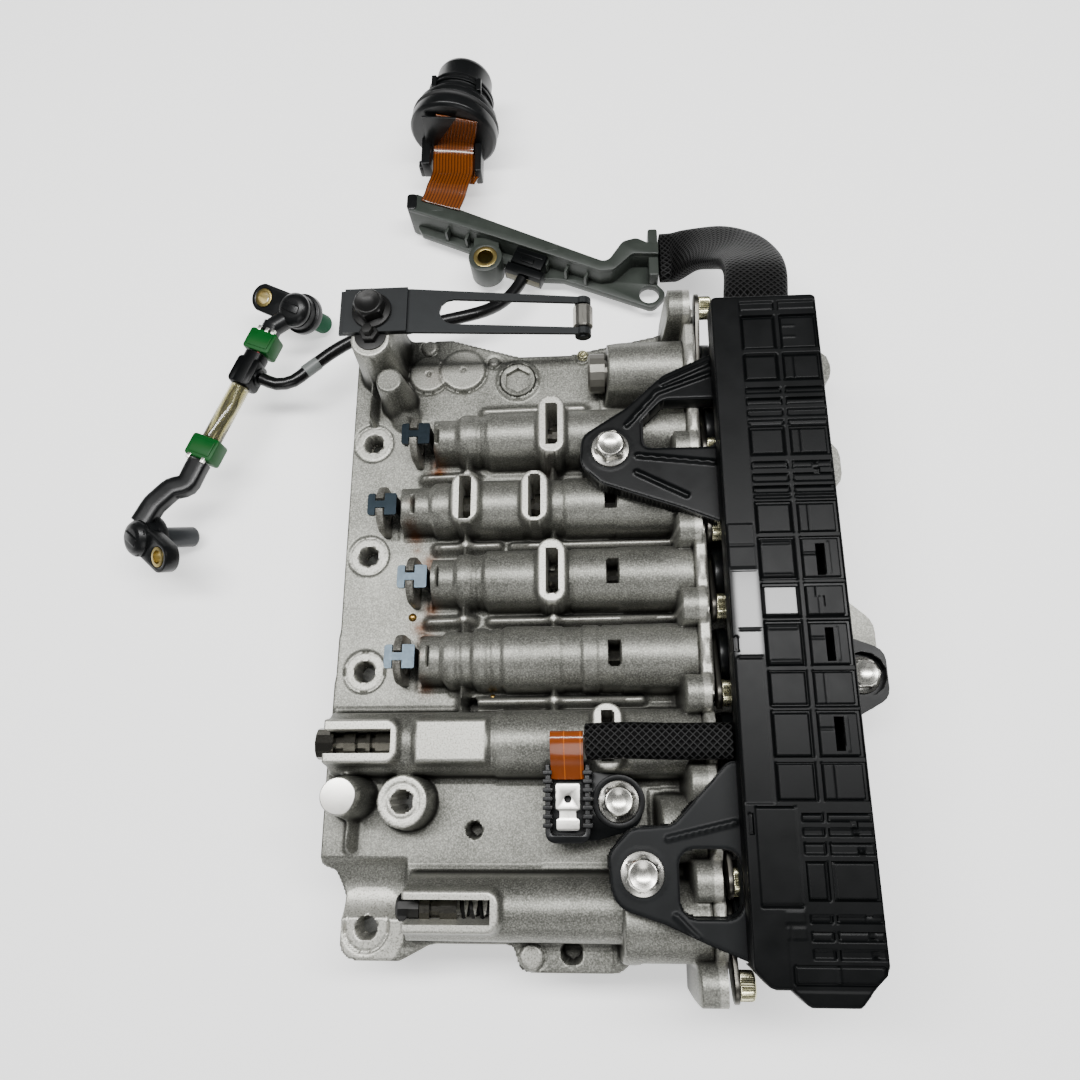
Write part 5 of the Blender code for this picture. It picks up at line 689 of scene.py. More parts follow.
def ribs_and_posts(x, y, z, milled):
    """Ribs that tie the barrels, tall posts, pillars under the bolts and raised rings."""
    rows = [ROWS[key] for key in "bcdef"]
    for upper, lower in zip(rows, rows[1:]):
        for column in (-36.2, -2.0):
            rib = capsule(x, y, column, lower + 8, column, upper - 8, 1.3)
            z = stand(z, rib, 46.8, 3.6, 0.9, 0.8)
    z = stand(z, capsule(x, y, -66.6, 101.5, -63.6, 94.2, 5.4), 47.0, 2.0, 6.5, 1.0)
    z = stand(z, disc(x, y, -66.6, 101.5, 7.2), PAD, 1.6, 1.9, 0.5)
    z = stand(z, capsule(x, y, -76.4, -60, -76.6, -75, 1.8), 45.5, 2.0, 1.4, 0.8)
    z = stand(z, disc(x, y, *WHITE_PIN, 8.2), PAD, 1.4, 1.8, 0.4)
    milled = np.maximum(milled, np.clip(1 - (disc(x, y, *WHITE_PIN, 6.2)) / 0.4, 0, 1))
    z = stand(z, disc(x, y, *MOUNT_HOLES[3], 10.0), 52.0, 1.4, 0.8, 0.5)
    milled = np.maximum(milled, np.clip(-disc(x, y, *MOUNT_HOLES[3], 9.0) / 0.4, 0, 1))
    for px, py, radius, top in [(*UPPER_BOLT, 9.8, 59.7), (*LOWER_BOLT, 9.8, 59.7), (*TEMP_BOLT, 7.6, 49.3)]:
        z = stand(z, disc(x, y, px, py, radius), top, 1.6, 0.9, 0.4)
    post = capsule(x, y, *LEAF_BOLT, -73.6, 116.6, 9.6)
    z = stand(z, post, 66.0, 2.4, 1.6, 0.8)
    milled = np.maximum(milled, np.clip(-(post + 1.6) / 0.5, 0, 1) * (z > 65))
    z = stand(z, capsule(x, y, -77.2, 92, -77.0, 112, 0.9), 46.4, 1.8, 0.6, 0.5)
    return z, milled


def frames_and_slots(x, y, z, milled):
    """Raised window frames with their slots, and the two long frames that are open at the left."""
    frames = [(ROWS["b"], -2.0, 12.9), (ROWS["c"], -35.0, 10.5), (ROWS["c"], -8.4, 11.0),
              (ROWS["d"], -2.0, 12.9),
              (ROWS["f"] + 1.5, 17.2, 12.0)]
    for row, column, half in frames:
        frame_edge = rectangle(x, y, column, row, 11.6, 2 * half, 5.2)
        z = stand(z, frame_edge, PAD, 1.4, 0.7, 0.5)
        slot = rectangle(x, y, column, row, 4.4, min(16.8, 2 * half - 4.2), 1.2)
        milled = machined(milled, frame_edge)
        z = sunk(z, slot, SLOT_FLOOR)
    for row, left, right, slot_right, width, slot_width in [
            (ROWS["f"], -90.0, -56.0, -59.0, 16.4, 8.4), (ROWS["g"], -62.0, -19.4, -22.8, 14.6, 7.0)]:
        stop = -84.0 if row == ROWS["f"] else -53.4
        frame_edge = np.maximum(rectangle(x, y, (left + right) / 2, row, right - left, width, 4.8), stop - x)
        z = stand(z, frame_edge, PAD, 1.4, 0.7, 0.5)
        milled = machined(milled, frame_edge)
        slot = rectangle(x, y, (left - 20 + slot_right) / 2, row, slot_right - left + 20, slot_width, 0.6)
        z = np.where((slot < 0) & (x > stop - 4), z - (z - np.minimum(z, 41.0)) * np.clip(-slot / 0.45, 0, 1),
                     z)
    pad = rectangle(x, y, -37.8, ROWS["f"], 26.4, 15.9, 0.8)
    z = stand(z, pad, PAD - 0.6, 1.6, 0.8, 0.4)
    milled = machined(milled, pad, 0.6)
    for row, column in [(ROWS["c"], 20.2), (ROWS["d"], 20.5), (ROWS["e"], 20.4)]:
        port = rectangle(x, y, column, row, 4.4, 9.0, 1.0)
        z = z + np.where((port > 0) & (port < 0.8), 0.18, 0)
        z = sunk(z, port, PORT_FLOOR)
    for key, column in [("b", -47.6), ("c", -56.0), ("d", -45.6), ("e", -48.0)]:
        slit = capsule(x, y, column, ROWS[key] - 3.4, column, ROWS[key] + 3.4, 0.55)
        z = np.where(slit < 0.1, np.minimum(z, z - 3.0 * np.clip(-slit / 0.4, 0, 1)), z)
    return z, milled


def drilled(x, y, z, milled):
    """Holes, spot faces, discs, pins and plug seats of the plate's face, and the scoop at its lower left."""
    holes = np.full(x.shape, 1e9)
    for i, (px, py) in enumerate(MOUNT_HOLES):
        d = np.hypot(x - px, y - py)
        if i != 3:
            z = np.where(d < 8.0, np.minimum(z, PLATE - 0.5), z)
            z = z - 0.7 * np.exp(-((d - 8.0) / 0.35) ** 2)
            milled = np.maximum(milled, 0.55 * (d < 7.8))
        else:
            z = z - 0.5 * np.exp(-((d - 6.0) / 0.3) ** 2)
        z = sunk(z, d - 3.9, FOOT, 0.5)
        holes = np.minimum(holes, d - 3.75)
    for px, py, radius in [(-55.1, 114.8, 8.4), (-40.3, 116.2, 9.6)]:
        d = disc(x, y, px, py, radius)
        z = stand(z, d, PLATE + 1.0, 0.3, 0.5, 0.3)
        z = z - 0.8 * np.exp(-((d - 0.5) / 0.4) ** 2) * (y < py + radius * 0.4)
        z = z - 1.6 * np.exp(-(np.hypot(x - px, y - py) / 0.75) ** 4)
        milled = np.maximum(milled, 0.35 * (d < -0.5))
    for px, py, radius, mark in [(-55.2, 127.4, 3.5, 0.7), (-27.3, 119.6, 2.3, 0.9), (10.2, 120.6, 2.3, 0.9),
                                 (-10.6, -111.0, 4.5, 0.6)]:
        d = disc(x, y, px, py, radius)
        z = stand(z, d, PLATE + 0.9, 0.2, 0.5, 0.4)
        z = z - 0.7 * np.exp(-((d - 0.35) / 0.35) ** 2)
        milled = np.maximum(milled, mark * (d < -0.4))
    d = disc(x, y, *HEX_PLUG, 7.4)
    z = stand(z, d - 1.6, PLATE + 1.2, 0.8, 0.7, 0.5)
    z = np.where(d < 0.2, np.minimum(z, z - (z - 35.2) * np.clip(0.4 - d / 0.5, 0, 1)), z)
    for px, py, radius in [(-31.6, -69.2, 2.7), (3.4, -109.6, 3.6), (-33.6, -24.4, 2.6)]:
        d = disc(x, y, px, py, radius)
        z = sunk(z, d - 0.2, FOOT, 0.5)
    scoop = 46.0 - np.sqrt(np.maximum(13.0 ** 2 - (y + 89.0) ** 2, 0))
    inside = (x < -56.2) & (np.abs(y + 89.0) < 12.6)
    z = np.where(inside, np.minimum(z, scoop), z)
    arcs = np.hypot(x + 69.6, y + 102.2)
    milled = np.maximum(milled, 0.9 * ((arcs < 14.0) & (y < -89) & (x < -56.4)))
    return z, milled, holes


def ear_slots(x, y, z):
    """Clears the barrels' left ends for the ears, which are pieces of their own."""
    for key in "bcde":
        row, left = ROWS[key], EARS[key]
        end = left + EAR_LENGTH + KEY_SLOT
        z = np.where((x > left - 3) & (x < end - 0.3) & (np.abs(y - row) < 12.0), np.minimum(z, PLATE + 0.2),
                     z)
    return z


def stains(x, y):
    """Brown oil stains beside the keys: round spots that fade out."""
    spots = [(-49.4, 69.8, 3.2, 1.0), (-50.0, 73.4, 2.4, 0.8), (-57.6, 42.4, 3.0, 0.9),
             (-57.0, 36.8, 2.0, 0.5),
             (-50.2, 12.6, 3.0, 1.0), (-51.6, 31.6, 3.4, 0.8), (-54.0, 5.2, 3.2, 0.8), (-52.0, 0.8, 3.0, 0.9),
             (-51.0, -17.8, 2.8, 0.8), (-50.8, -8.0, 1.4, 0.45), (-56.8, 52.0, 1.6, 0.35),
             (-52.0, 113.0, 4.0, 0.18),
             (-4.2, 67.0, 3.0, 0.15)]
    amount = np.zeros(x.shape)
    for px, py, size, share in spots:
        amount = np.maximum(amount, share * np.exp(-((x - px) ** 2 + (y - py) ** 2) / size ** 2))
    return amount


def blurred(z, times):
    """The mean of each height and its neighbours, again and again."""
    for _ in range(times):
        padded = np.pad(z, 1, mode="edge")
        z = (padded[:-2, 1:-1] + padded[2:, 1:-1] + padded[1:-1, :-2] + padded[1:-1, 2:] + 2 * z) / 6
    return z


def sheet(name, x, y, z, gone, values=None, angle=60, foot=None):
    """The part of a height over a grid that isn't gone. With a foot, its rim runs down to that height and a
    flat copy closes it below."""
    faces = grid_faces(*x.shape)
    keep = ~gone.ravel()[faces].any(axis=1)
    used = np.unique(faces[keep])
    index = np.full(x.size, -1)
    index[used] = np.arange(len(used))
    points = np.stack([x, y, z], -1).reshape(-1, 3)[used]
    faces, rim = index[faces[keep]], np.intersect1d(index[np.unique(faces[~keep])], np.arange(len(used)))
    if foot is not None:
        points[rim, 2] = foot
        points = np.vstack([points, points * [1, 1, 0] + [0, 0, foot]])
        faces = np.vstack([faces, faces[:, ::-1] + len(used)])
    values = {key: value.ravel()[used] for key, value in (values or {}).items()}
    return mesh_of(name, points, faces, values=values, closed=foot is not None, angle=angle)


def outer_casting():
    """The outer casting's face as a height over each point of a 0.6 mm grid, open where it is drilled. A
    point outside the outline goes back onto it, against the slope of its distance, so walls are upright."""
    xs = np.arange(-89.4, 56.01, GRID)
    ys = np.arange(-126.0, 140.01, GRID)
    y, x = np.meshgrid(ys, xs, indexing="ij")
    z, milled, stain, body, holes = relief_heights(x, y)
    # Painted shade: how far each point lies below the mean of its surroundings, over two reaches; the
    # material darkens it by that, less on milled faces.
    hollow_shade = np.clip(np.maximum((blurred(z, 20) - z) / 3.4, (blurred(z, 80) - z) / 8.0), 0, 1)
    values = {"milled": milled, "stain": stain, "hollow_shade": hollow_shade * (1 - 0.75 * milled)}
    down, right = np.gradient(body, GRID)
    steep = np.maximum(np.hypot(right, down), 0.3)
    back = np.clip(body, 0, 1.2) / steep
    x, y = x - back * right / steep, y - back * down / steep
    piece = sheet("outer_casting_face", x, y, z, (body > 0.95) | (holes < -0.9), values, 80)
    dress(piece, "relief", replaces=["outer_valve_body"])
    openings = [(*place, 3.75) for place in MOUNT_HOLES] + [(-31.6, -69.2, 2.6), (3.4, -109.6, 3.5),
                                                            (-33.6, -24.4, 2.5)]
    rings = [ring_line(*hole) for hole in openings]
    base = flat_piece("outer_casting_base", [rounded(PLATE_CORNERS, 4), *rings], FOOT + 0.05, FOOT + 0.65,
                      0.1)
    dress(base, "cast")


def ear_ring(key):
    """The two ears of a barrel's left end, one C-shaped plate: an arch outside, the bore inside."""
    row, left = ROWS[key], EARS[key]
    turn = np.radians(np.linspace(90 - 13, -270 + 13, 61))
    cosine, sine = np.cos(turn), np.sin(turn)
    outer = np.where(sine > 0, 9.3, np.minimum(9.3 / np.maximum(np.abs(cosine), 1e-6),
                                               8.0 / np.maximum(-sine, 1e-6)))
    inner = np.full(turn.shape, 5.6)
    stations = [(inner, 0.3), (inner + 0.3, 0.0), (outer - 0.7, 0.0), (outer - 0.2, 0.25), (outer, 0.8),
                (outer, EAR_LENGTH - 0.8), (outer - 0.2, EAR_LENGTH - 0.25), (outer - 0.7, EAR_LENGTH),
                (inner, EAR_LENGTH)]
    loop = np.stack([np.stack([left + shift + 0 * r, row + r * cosine, AXIS + r * sine], -1)
                     for r, shift in stations], 1)
    first, last = loop[:1].mean(axis=1, keepdims=True), loop[-1:].mean(axis=1, keepdims=True)
    points = np.vstack([np.repeat(first, len(stations), 1), loop, np.repeat(last, len(stations), 1)])
    piece = mesh_of("ears_" + key, points, grid_faces(len(points), len(stations), True), closed=True,
                    angle=40)
    zero = np.zeros(len(piece.data.vertices))
    co = np.zeros(len(piece.data.vertices) * 3)
    piece.data.vertices.foreach_get("co", co)
    height = co.reshape(-1, 3)[:, 2] / MM
    # Painted shade: each ear is darkened towards its foot, below 44 mm.
    for name, value in (("milled", zero), ("stain", zero + 0.12),
                        ("hollow_shade", np.clip((44 - height) / 12, 0, 0.6))):
        piece.data.attributes.new(name, "FLOAT", "POINT").data.foreach_set("value", value)
    return dress(piece, "relief")


def hexagon_radius(turn, width):
    """Distance from a hexagon's middle to its side in each direction: half its width over the cosine."""
    return width / 2 / np.cos((turn + np.pi / 6) % (np.pi / 3) - np.pi / 6)


def hexagon_turned(name, place, hexed, plain, width, turn0=0.0, scale=1.0, angle=32):
    """Rings about an upright axis from (radius, height) stations. Those of the hexed part are no wider than a
    hexagon: the smaller of the station's radius and the hexagon's."""
    turn = np.linspace(0, 2 * np.pi, 72, endpoint=False)
    radius, height = np.array(hexed + plain).T[:, :, None]
    ring = np.where(np.arange(len(radius))[:, None] < len(hexed),
                    np.minimum(radius, hexagon_radius(turn + turn0, width)), radius)
    x, y, z = place
    points = np.stack([x + scale * ring * np.cos(turn), y + scale * ring * np.sin(turn),
                       z + scale * height + 0 * ring], -1)
    return mesh_of(name, points, grid_faces(len(points), 72, True), closed=True, angle=angle)


def hex_socket_plug():
    """The screwed plug: a hexagon socket with its floor, and a round rim."""
    socket = [(0.0, -1.4), (5.6, -1.4), (5.7, 0.9)]
    rim = [(6.1, 1.2), (7.0, 1.2), (7.3, 0.9), (7.3, -2.4), (0.0, -2.4)]
    piece = hexagon_turned("hex_socket_plug", (*HEX_PLUG, PLATE + 0.2), socket, rim, PLUG_HEXAGON, angle=25)
    dress(piece, "cast", replaces=["hex_plug"])


def small_fittings():
    """Check balls, a small screw, the white pin's top and the stud beside the detent's bolt."""
    turn = np.linspace(0, np.pi / 2, 8)
    ball = [(1.7 * math.sin(a), 1.7 * math.cos(a)) for a in turn]
    for i, (x, y) in enumerate([(-48.4, 67.8), (-57.6, 9.6), (-25.5, -21.8)]):
        piece = turned("check_ball_%d" % i, [(0, 0), *ball[:-1], (1.7, 0)], (x, y, PLATE - 0.3), (0, 0, 1),
                       32, 0)
        dress(piece, "brass")
    head = turned("small_screw", [(0, 0), (0, 2.4), (0.9, 2.3), (1.4, 1.6), (1.4, 1.0), (0.8, 0.8), (0.8, 0)],
                  (10.4, 121.0, PLATE + 0.6), (0, 0, 1), 32, 0.1)
    dress(head, "screw")
    top = turned("pin_top", [(0, 0), (0, 6.3), (0.25, 6.3), (0.45, 6.0), (0.45, 0)], (*WHITE_PIN, PAD - 0.1),
                 (0, 0, 1), 48, 0.05)
    dress(top, "silver")
    washer = turned("stud_washer", [(0, 0), (0, 6.4), (0.8, 6.4), (0.8, 0)], (*LEAF_STUD, 66.0), (0, 0, 1),
                    40, 0.2)
    nut = turned("stud_nut", [(0, 0), (0, 4.0), (2.6, 4.0), (2.9, 3.6), (2.9, 2.3), (5.4, 2.3), (5.7, 2.0),
                              (5.7, 0)],
                 (*LEAF_STUD, 66.7), (0, 0, 1), 6, 0.1)
    dress(merged("detent_stud", [washer, nut]), "black_bolt")


# Module

MODULE_TOP = 75.0
MODULE_LEFT, MODULE_RIGHT = 59.6, 98.6
MODULE_UPPER, MODULE_LOWER = 123.6, -113.6
CELL_ROWS = [(117.6, 121.0), (100.9, 115.0), (88.2, 98.8), (82.9, 85.0), (78.5, 80.9), (74.0, 76.5),
             (70.6, 72.2), (58.8, 69.6), (53.7, 56.0), (48.8, 51.4), (44.6, 46.9), (42.5, 43.6),
             (29.6, 41.1), (13.0, 28.2), (0.0, 11.6), (-16.6, -1.5), (-29.8, -18.0), (-46.1, -31.2),
             (-59.5, -47.5)]
LOW_ROWS = [(-65.5, -63.1), (-70.0, -67.7), (-75.4, -72.0), (-88.9, -77.2), (-94.9, -92.8),
            (-99.9, -97.7), (-105.2, -102.4)]
CELL_COLUMNS = [(70.4, 82.5), (84.3, 97.9)]
LOW_COLUMNS = [(76.9, 83.4), (84.6, 98.2)]
MODULE_CORNERS = [
    (59.45, -108.6, 3), (64.6, -113.75, 3), (70.3, -113.75, 1), (75.5, -118.55, 3), (90.7, -118.55, 3),
    (94.7, -113.75, 1), (99.1, -109.6, 2), (100.15, -106.6, 1), (98.75, 123.75, 2), (59.45, 123.75, 2)]


def panel(z, d, floor, wall=0.25, moat=0.5, depth=0.55):
    """Sinks a field to its floor, with a moat inside its edge."""
    z = sunk(z, d, floor, wall)
    return np.where((d < 0) & (d > -moat - wall), np.minimum(z, floor - depth * np.clip(-d / wall, 0, 1)), z)


def field(u, y, left, right, low, high, radius=0.2):
    """Distance to a rounded rectangle that is given by its sides."""
    return rectangle(u, y, (left + right) / 2, (low + high) / 2, right - left, high - low, radius)


def groove(z, d, width, depth):
    """A line sunk or raised along a distance's zero."""
    return z - depth * np.exp(-(d / width) ** 4)


def module_heights(u, y):
    """The cover's top over the solid's 75 mm: two columns of sunk cells between thin ribs, and a strip."""
    z = np.full(u.shape, MODULE_TOP + 0.95)
    floor = MODULE_TOP + 0.30
    z = np.where((u > 69.7) & (y > -114), z - 0.12, z)
    for rows, columns in ((CELL_ROWS, CELL_COLUMNS), (LOW_ROWS, LOW_COLUMNS)):
        for low, high in rows:
            slim = high - low < 5
            for left, right in columns:
                z = panel(z, field(u, y, left, right, low, high), floor - 0.1 * slim, moat=0.0 if slim
                          else 0.45)
    for low, high, split in [(29.6, 41.1, 88.1), (-29.8, -18.0, 88.3), (-59.5, -47.5, 88.4),
                             (58.8, 69.6, 88.0),
                             (88.2, 98.8, 88.4)]:
        z = np.where((y > low + 0.6) & (y < high - 0.6), groove(z, u - split, 0.34, 0.3), z)
    for low, high, line in [(13.0, 28.2, 22.2), (-16.6, -1.5, -7.2), (-46.1, -31.2, -37.0)]:
        z = np.where((u > 84.8) & (u < 89.4), groove(z, y - line, 0.34, 0.3), z)
        z = np.where(np.abs(y - (low + high) / 2) < 5.6, groove(z, u - 93.6, 0.3, -0.22), z)
    step = np.where(y > 7.2, 88.0, 89.0)
    z = np.where((y > 0.6) & (y < 11.0), groove(z, u - step, 0.3, 0.3), z)
    for low, high in [(13.0, 28.2), (-16.6, -1.5)]:
        for line in (low + 1.6, high - 2.2):
            z = np.where((u > 71.6) & (u < 81.2), groove(z, y - line, 0.5, -0.28), z)
    for line in (106.0, 110.6):
        z = np.where((u > 84.9) & (u < 90.0), groove(z, y - line, 0.3, -0.2), z)
    strip = (u < 69.2) & (u > 60.4)
    z = np.where(strip & (y < 33.0) & (y > 16.5), z - 0.35, z)
    z = np.where(strip & (y < 16.9) & (y > -13.4), z - 0.12, z)
    z = np.where(strip & (y < -13.4) & (y > -60.0), z - 0.3, z)
    z = np.where(strip, groove(z, y - 16.9, 0.55, -0.3), z)
    z = np.where(strip & (u > 61.8), groove(z, y + 4.2, 0.3, 0.3), z)
    z = np.where(strip & (u > 61.0), groove(z, y + 13.6, 0.3, 0.35), z)
    z = np.where(strip, groove(z, y - 25.4, 0.4, 0.2), z)
    z = panel(z, field(u, y, 60.0, 61.3, -11.4, -6.6), MODULE_TOP + 0.02, moat=0.0)
    z = panel(z, field(u, y, 61.0, 62.4, -69.4, -63.2, 0.6), MODULE_TOP + 0.02, moat=0.0)
    z = panel(z, field(u, y, 62.9, 75.5, -90.4, -61.0, 0.6), MODULE_TOP + 0.55, moat=0.0)
    z = np.where((u > 62.9) & (u < 75.5), groove(z, y + 90.4, 0.5, 0.3), z)
    for low, high, left, right in [(-95.0, -91.6, 66.4, 75.4), (-99.6, -96.2, 66.4, 70.6),
                                   (-99.6, -96.2, 71.4, 75.4),
                                   (-99.6, -91.6, 63.4, 65.6)]:
        z = np.maximum(z, np.where(field(u, y, left, right, low, high, 0.4) < 0, MODULE_TOP + 0.95, 0))
    z = panel(z, field(u, y, 71.2, 97.4, -112.4, -106.8, 0.8), MODULE_TOP + 0.25, moat=0.3)
    z = np.where((y > -112.2) & (y < -107), groove(z, u - 84.0, 0.5, -0.3), z)
    for column, row in [(92.4, 52.4), (92.2, 54.8), (92.4, -66.6), (93.0, -68.9), (94.0, -74.4),
                        (94.2, -94.0),
                        (94.6, -98.8), (95.0, -103.8)]:
        z = panel(z, field(u, y, column - 1.0, column + 1.0, row - 0.9, row + 0.9, 0.1), MODULE_TOP + 0.02,
                  moat=0.0)
    return z


def module_face():
    """The cover's top as a height over a 0.42 mm grid, each point moved right by as much as the cover widens
    downwards, with its outer wall running down to the cover's lower edge."""
    us = np.arange(58.85, 99.6, 0.40)
    ys = np.arange(-119.2, 124.6, 0.42)
    y, u = np.meshgrid(ys, us, indexing="ij")
    x = u + 1.4 * np.clip((MODULE_UPPER - y) / 230.2, 0, 1) * (u - MODULE_LEFT) / 39.0
    z = module_heights(u, y)
    d = polygon(x, y, rounded(MODULE_CORNERS, 5))
    z = z - 0.75 * np.clip(1 + d / 0.8, 0, 1) ** 2
    z = z - (z - 62.2) * np.clip(d / 0.35, 0, 1)
    slots = np.full(u.shape, 1e9)
    for cx, cy in [(91.3, 20.0), (91.7, -9.4), (92.0, -38.6)]:
        slots = np.minimum(slots, rectangle(x, y, cx, cy, 3.1, 11.2, 0.2))
    slots = np.minimum(slots, rectangle(x, y, 91.0, 5.3, 1.2, 4.2, 0.1))
    strip = (u > 61.4) & (u < 69.0) & (y > -13.0) & (y < 16.6)
    cell = (u > 71.0) & (u < 82.0) & (y > 0.6) & (y < 11.0)
    gloss = 0.8 * blurred(np.where(strip | cell, 1.0, 0.0), 6)
    piece = sheet("module_face", x, y, z, (d > 0.5) | (slots < -0.25), {"gloss": gloss})
    dress(piece, "cover")


def arm_face(name, corners, gap, bolt, look, ridges):
    """An arm as a height over a 0.5 mm grid, closed below, with a rounded edge, a gap and a round seat."""
    outline = rounded(corners, 5)
    xs = [p[0] for p in outline]
    ys = [p[1] for p in outline]
    y, x = np.meshgrid(np.arange(min(ys) - 1, max(ys) + 1, 0.5), np.arange(min(xs) - 1, max(xs) + 1, 0.5),
                       indexing="ij")
    d = np.maximum(polygon(x, y, outline) - 0.15, -polygon(x, y, rounded(gap, 4)))
    z = np.full(x.shape, 66.2)
    for x1, y1, x2, y2 in ridges:
        z = stand(z, capsule(x, y, x1, y1, x2, y2, 0.7), 67.0, 0.8, 0.3, 0.3)
    z = np.where(np.hypot(x - bolt[0], y - bolt[1]) < 8.4, 66.25, z)
    z = z - 0.6 * np.clip(1 + d / 1.1, 0, 1) ** 2
    z = z - (z - 59.8) * np.clip(d / 0.4, 0, 1)
    gone = (d > 0.55) | (np.hypot(x - bolt[0], y - bolt[1]) < 3.2) | (x > 60.4)
    dress(sheet(name, x, y, z, gone, foot=59.8), look)


def module_arms():
    x, y = UPPER_BOLT
    arm_face("upper_arm_face", [
        (x - 10.5, y + 6, 6), (x + 6, y + 16.9, 6), (x + 20.5, y + 30.3, 8), (58.4, 104.6, 4),
        (60.6, 105.0, 0),
        (60.6, y - 29.8, 1), (x + 24.5, y - 23.4, 10), (x - 3.5, y - 13.5, 8), (x - 11.5, y - 6, 6)],
        [(32.6, 67.0, 3), (32.6, 77.4, 3), (41.0, 86.1, 6), (61.5, 86.1, 2), (61.5, 67.0, 3)], (x, y),
             "module",
        [(30.6, 63.6, 58.6, 60.2), (30.0, 57.0, 48.0, 47.6), (27.0, 76.0, 38.6, 89.2),
         (38.6, 89.2, 58.6, 96.4),
         (41.0, 92.8, 58.4, 100.6)])
    x, y = LOWER_BOLT
    arm_face("lower_arm_face", [
        (x - 11, y + 6, 6), (x - 3.4, y + 14, 6), (x + 10.6, y + 15, 6), (57.0, y + 35.3, 4),
        (60.6, y + 35.3, 0), (60.6, -108.0, 0), (x + 19.6, -102.6, 4),
        (x + 6.6, y - 15, 8), (x - 9.4, y - 10, 8)],
        [(39.35, -95.15, 5), (39.35, -74.45, 5), (59.05, -74.45, 5), (59.05, -95.15, 5)], (x, y),
             "dark_module",
        [(36.0, -71.0, 58.0, -66.0), (37.6, -94.4, 44.4, -100.8)])


def flange_bolt(name, x, y, seat, look, scale=1.0, turn0=0.0):
    """A hexagon head with a dished top on a round flange."""
    head = [(0.0, 5.3), (1.6, 5.3), (2.6, 5.75), (3.7, 6.2), (4.3, 6.4), (4.62, 6.28), (4.9, 5.9), (5.2, 5.6),
            (9.0, 5.45), (9.0, 1.9), (9.0, 1.6)]
    flange = [(5.9, 1.2), (6.3, 1.05), (6.9, 0.8), (7.1, 0.45), (7.0, 0.0), (3.1, 0.0), (3.0, -4.0),
              (0.0, -4.0)]
    piece = hexagon_turned(name + "_head", (x, y, seat + 0.3), head, flange, BOLT_HEXAGON, turn0, scale)
    dress(piece, look, replaces=[name])


def cap_screw(index, row):
    """A cap screw's head: knurled round its rim by 40 ridges, with a round socket."""
    turn = np.linspace(0, 2 * np.pi, 160, endpoint=False)
    ridge = 0.13 * np.cos(40 * turn)
    stations = [(0.0, 4.1, 0.0), (0.0, 4.35, 0.0), (0.25, 4.5, 0.6), (0.5, 4.5, 1.0), (4.0, 4.5, 1.0),
                (4.5, 4.5, 0.3), (4.9, 4.2, 0.0),
                (5.2, 3.8, 0.0), (5.2, 2.6, 0.0), (3.0, 2.5, 0.0), (2.8, 0.0, 0.0)]
    points = np.array([np.stack([np.full(160, 57.25 + along), row + (radius + share * ridge) * np.cos(turn),
                                 SCREW_Z + (radius + share * ridge) * np.sin(turn)], -1) for along, radius,
                                 share in stations])
    start = points[:1].mean(axis=1, keepdims=True).repeat(160, 1)
    points = np.vstack([start, points])
    piece = mesh_of("cap_screw_%d" % index, points, grid_faces(len(points), 160, True), closed=True, angle=40)
    dress(piece, "screw")


def solenoid(index, row, screw_row):
    """A solenoid: nose, neck, can with its ribs and contact socket, and the plate that holds it."""
    nose = 41.3 if index in (2, 3, 4, 5) else 45.9
    body = turned("can", [(nose, 0), (nose, 5.3), (55.6, 5.3), (55.6, 6.8), (57.6, 6.8), (57.6, 9.6),
                          (58.2, 10.1),
                          (61.2, 10.1), (61.2, 9.2), (62.2, 9.2), (62.2, 10.1), (65.4, 10.1), (65.4, 11.6),
                          (66.4, 12.2),
                          (72, 12.2), (72, 11.7), (73.2, 11.7), (73.2, 12.2), (92.6, 12.2), (94, 11.2),
                          (94, 0)],
                  (0, row, AXIS), (1, 0, 0), 40)
    socket = flat_piece("socket", [rounded([(70, row - 6.4, 1), (86, row - 6.4, 1), (86, row + 6.4, 1),
                                            (70, row + 6.4, 1)], 2)],
                        AXIS + 6, AXIS + 21.6, 0.4)
    dress(merged("solenoid_body_%d" % index, [body, socket]), "black",
          replaces=["solenoid_%d" % index])
    offset = Vector((screw_row - row, SCREW_Z - AXIS))
    heading, lean = math.atan2(offset.y, offset.x), math.acos(3.0 / offset.length)
    outline = [(row + 8.6 * math.cos(heading + lean + (2 * math.pi - 2 * lean) * i / 20),
                AXIS + 8.6 * math.sin(heading + lean + (2 * math.pi - 2 * lean) * i / 20)) for i in range(21)]
    outline += [(screw_row + 5.6 * math.cos(heading - lean + 2 * lean * i / 10),
                 SCREW_Z + 5.6 * math.sin(heading - lean + 2 * lean * i / 10)) for i in range(11)]
    upright = Matrix(((0, 0, 1, 0), (1, 0, 0, 0), (0, 1, 0, 0), (0, 0, 0, 1)))
    plate = flat_piece("solenoid_plate_%d" % index, [outline, ring_line(row, AXIS, 6.95)], 55.6, 57.2, 0.2,
                       upright)
    dress(plate, "zinc_dark")
    cap_screw(index, screw_row)


# Harness

def block(name, x1, y1, x2, y2, low, high, soft=0.4, radius=0.8):
    """A box with rounded corners and softened edges."""
    corners = [(x1, y1, radius), (x2, y1, radius), (x2, y2, radius), (x1, y2, radius)]
    return flat_piece(name, [rounded(corners, 3)], low, high, soft)


def ribbon(points, width):
    """The outline of a band of even width along a line of points."""
    line = np.asarray(points, float)
    run = np.gradient(line, axis=0)
    run /= np.linalg.norm(run, axis=1)[:, None]
    side = np.stack([-run[:, 1], run[:, 0]], -1) * width / 2
    return [tuple(p) for p in np.vstack([line - side, (line + side)[::-1]])]


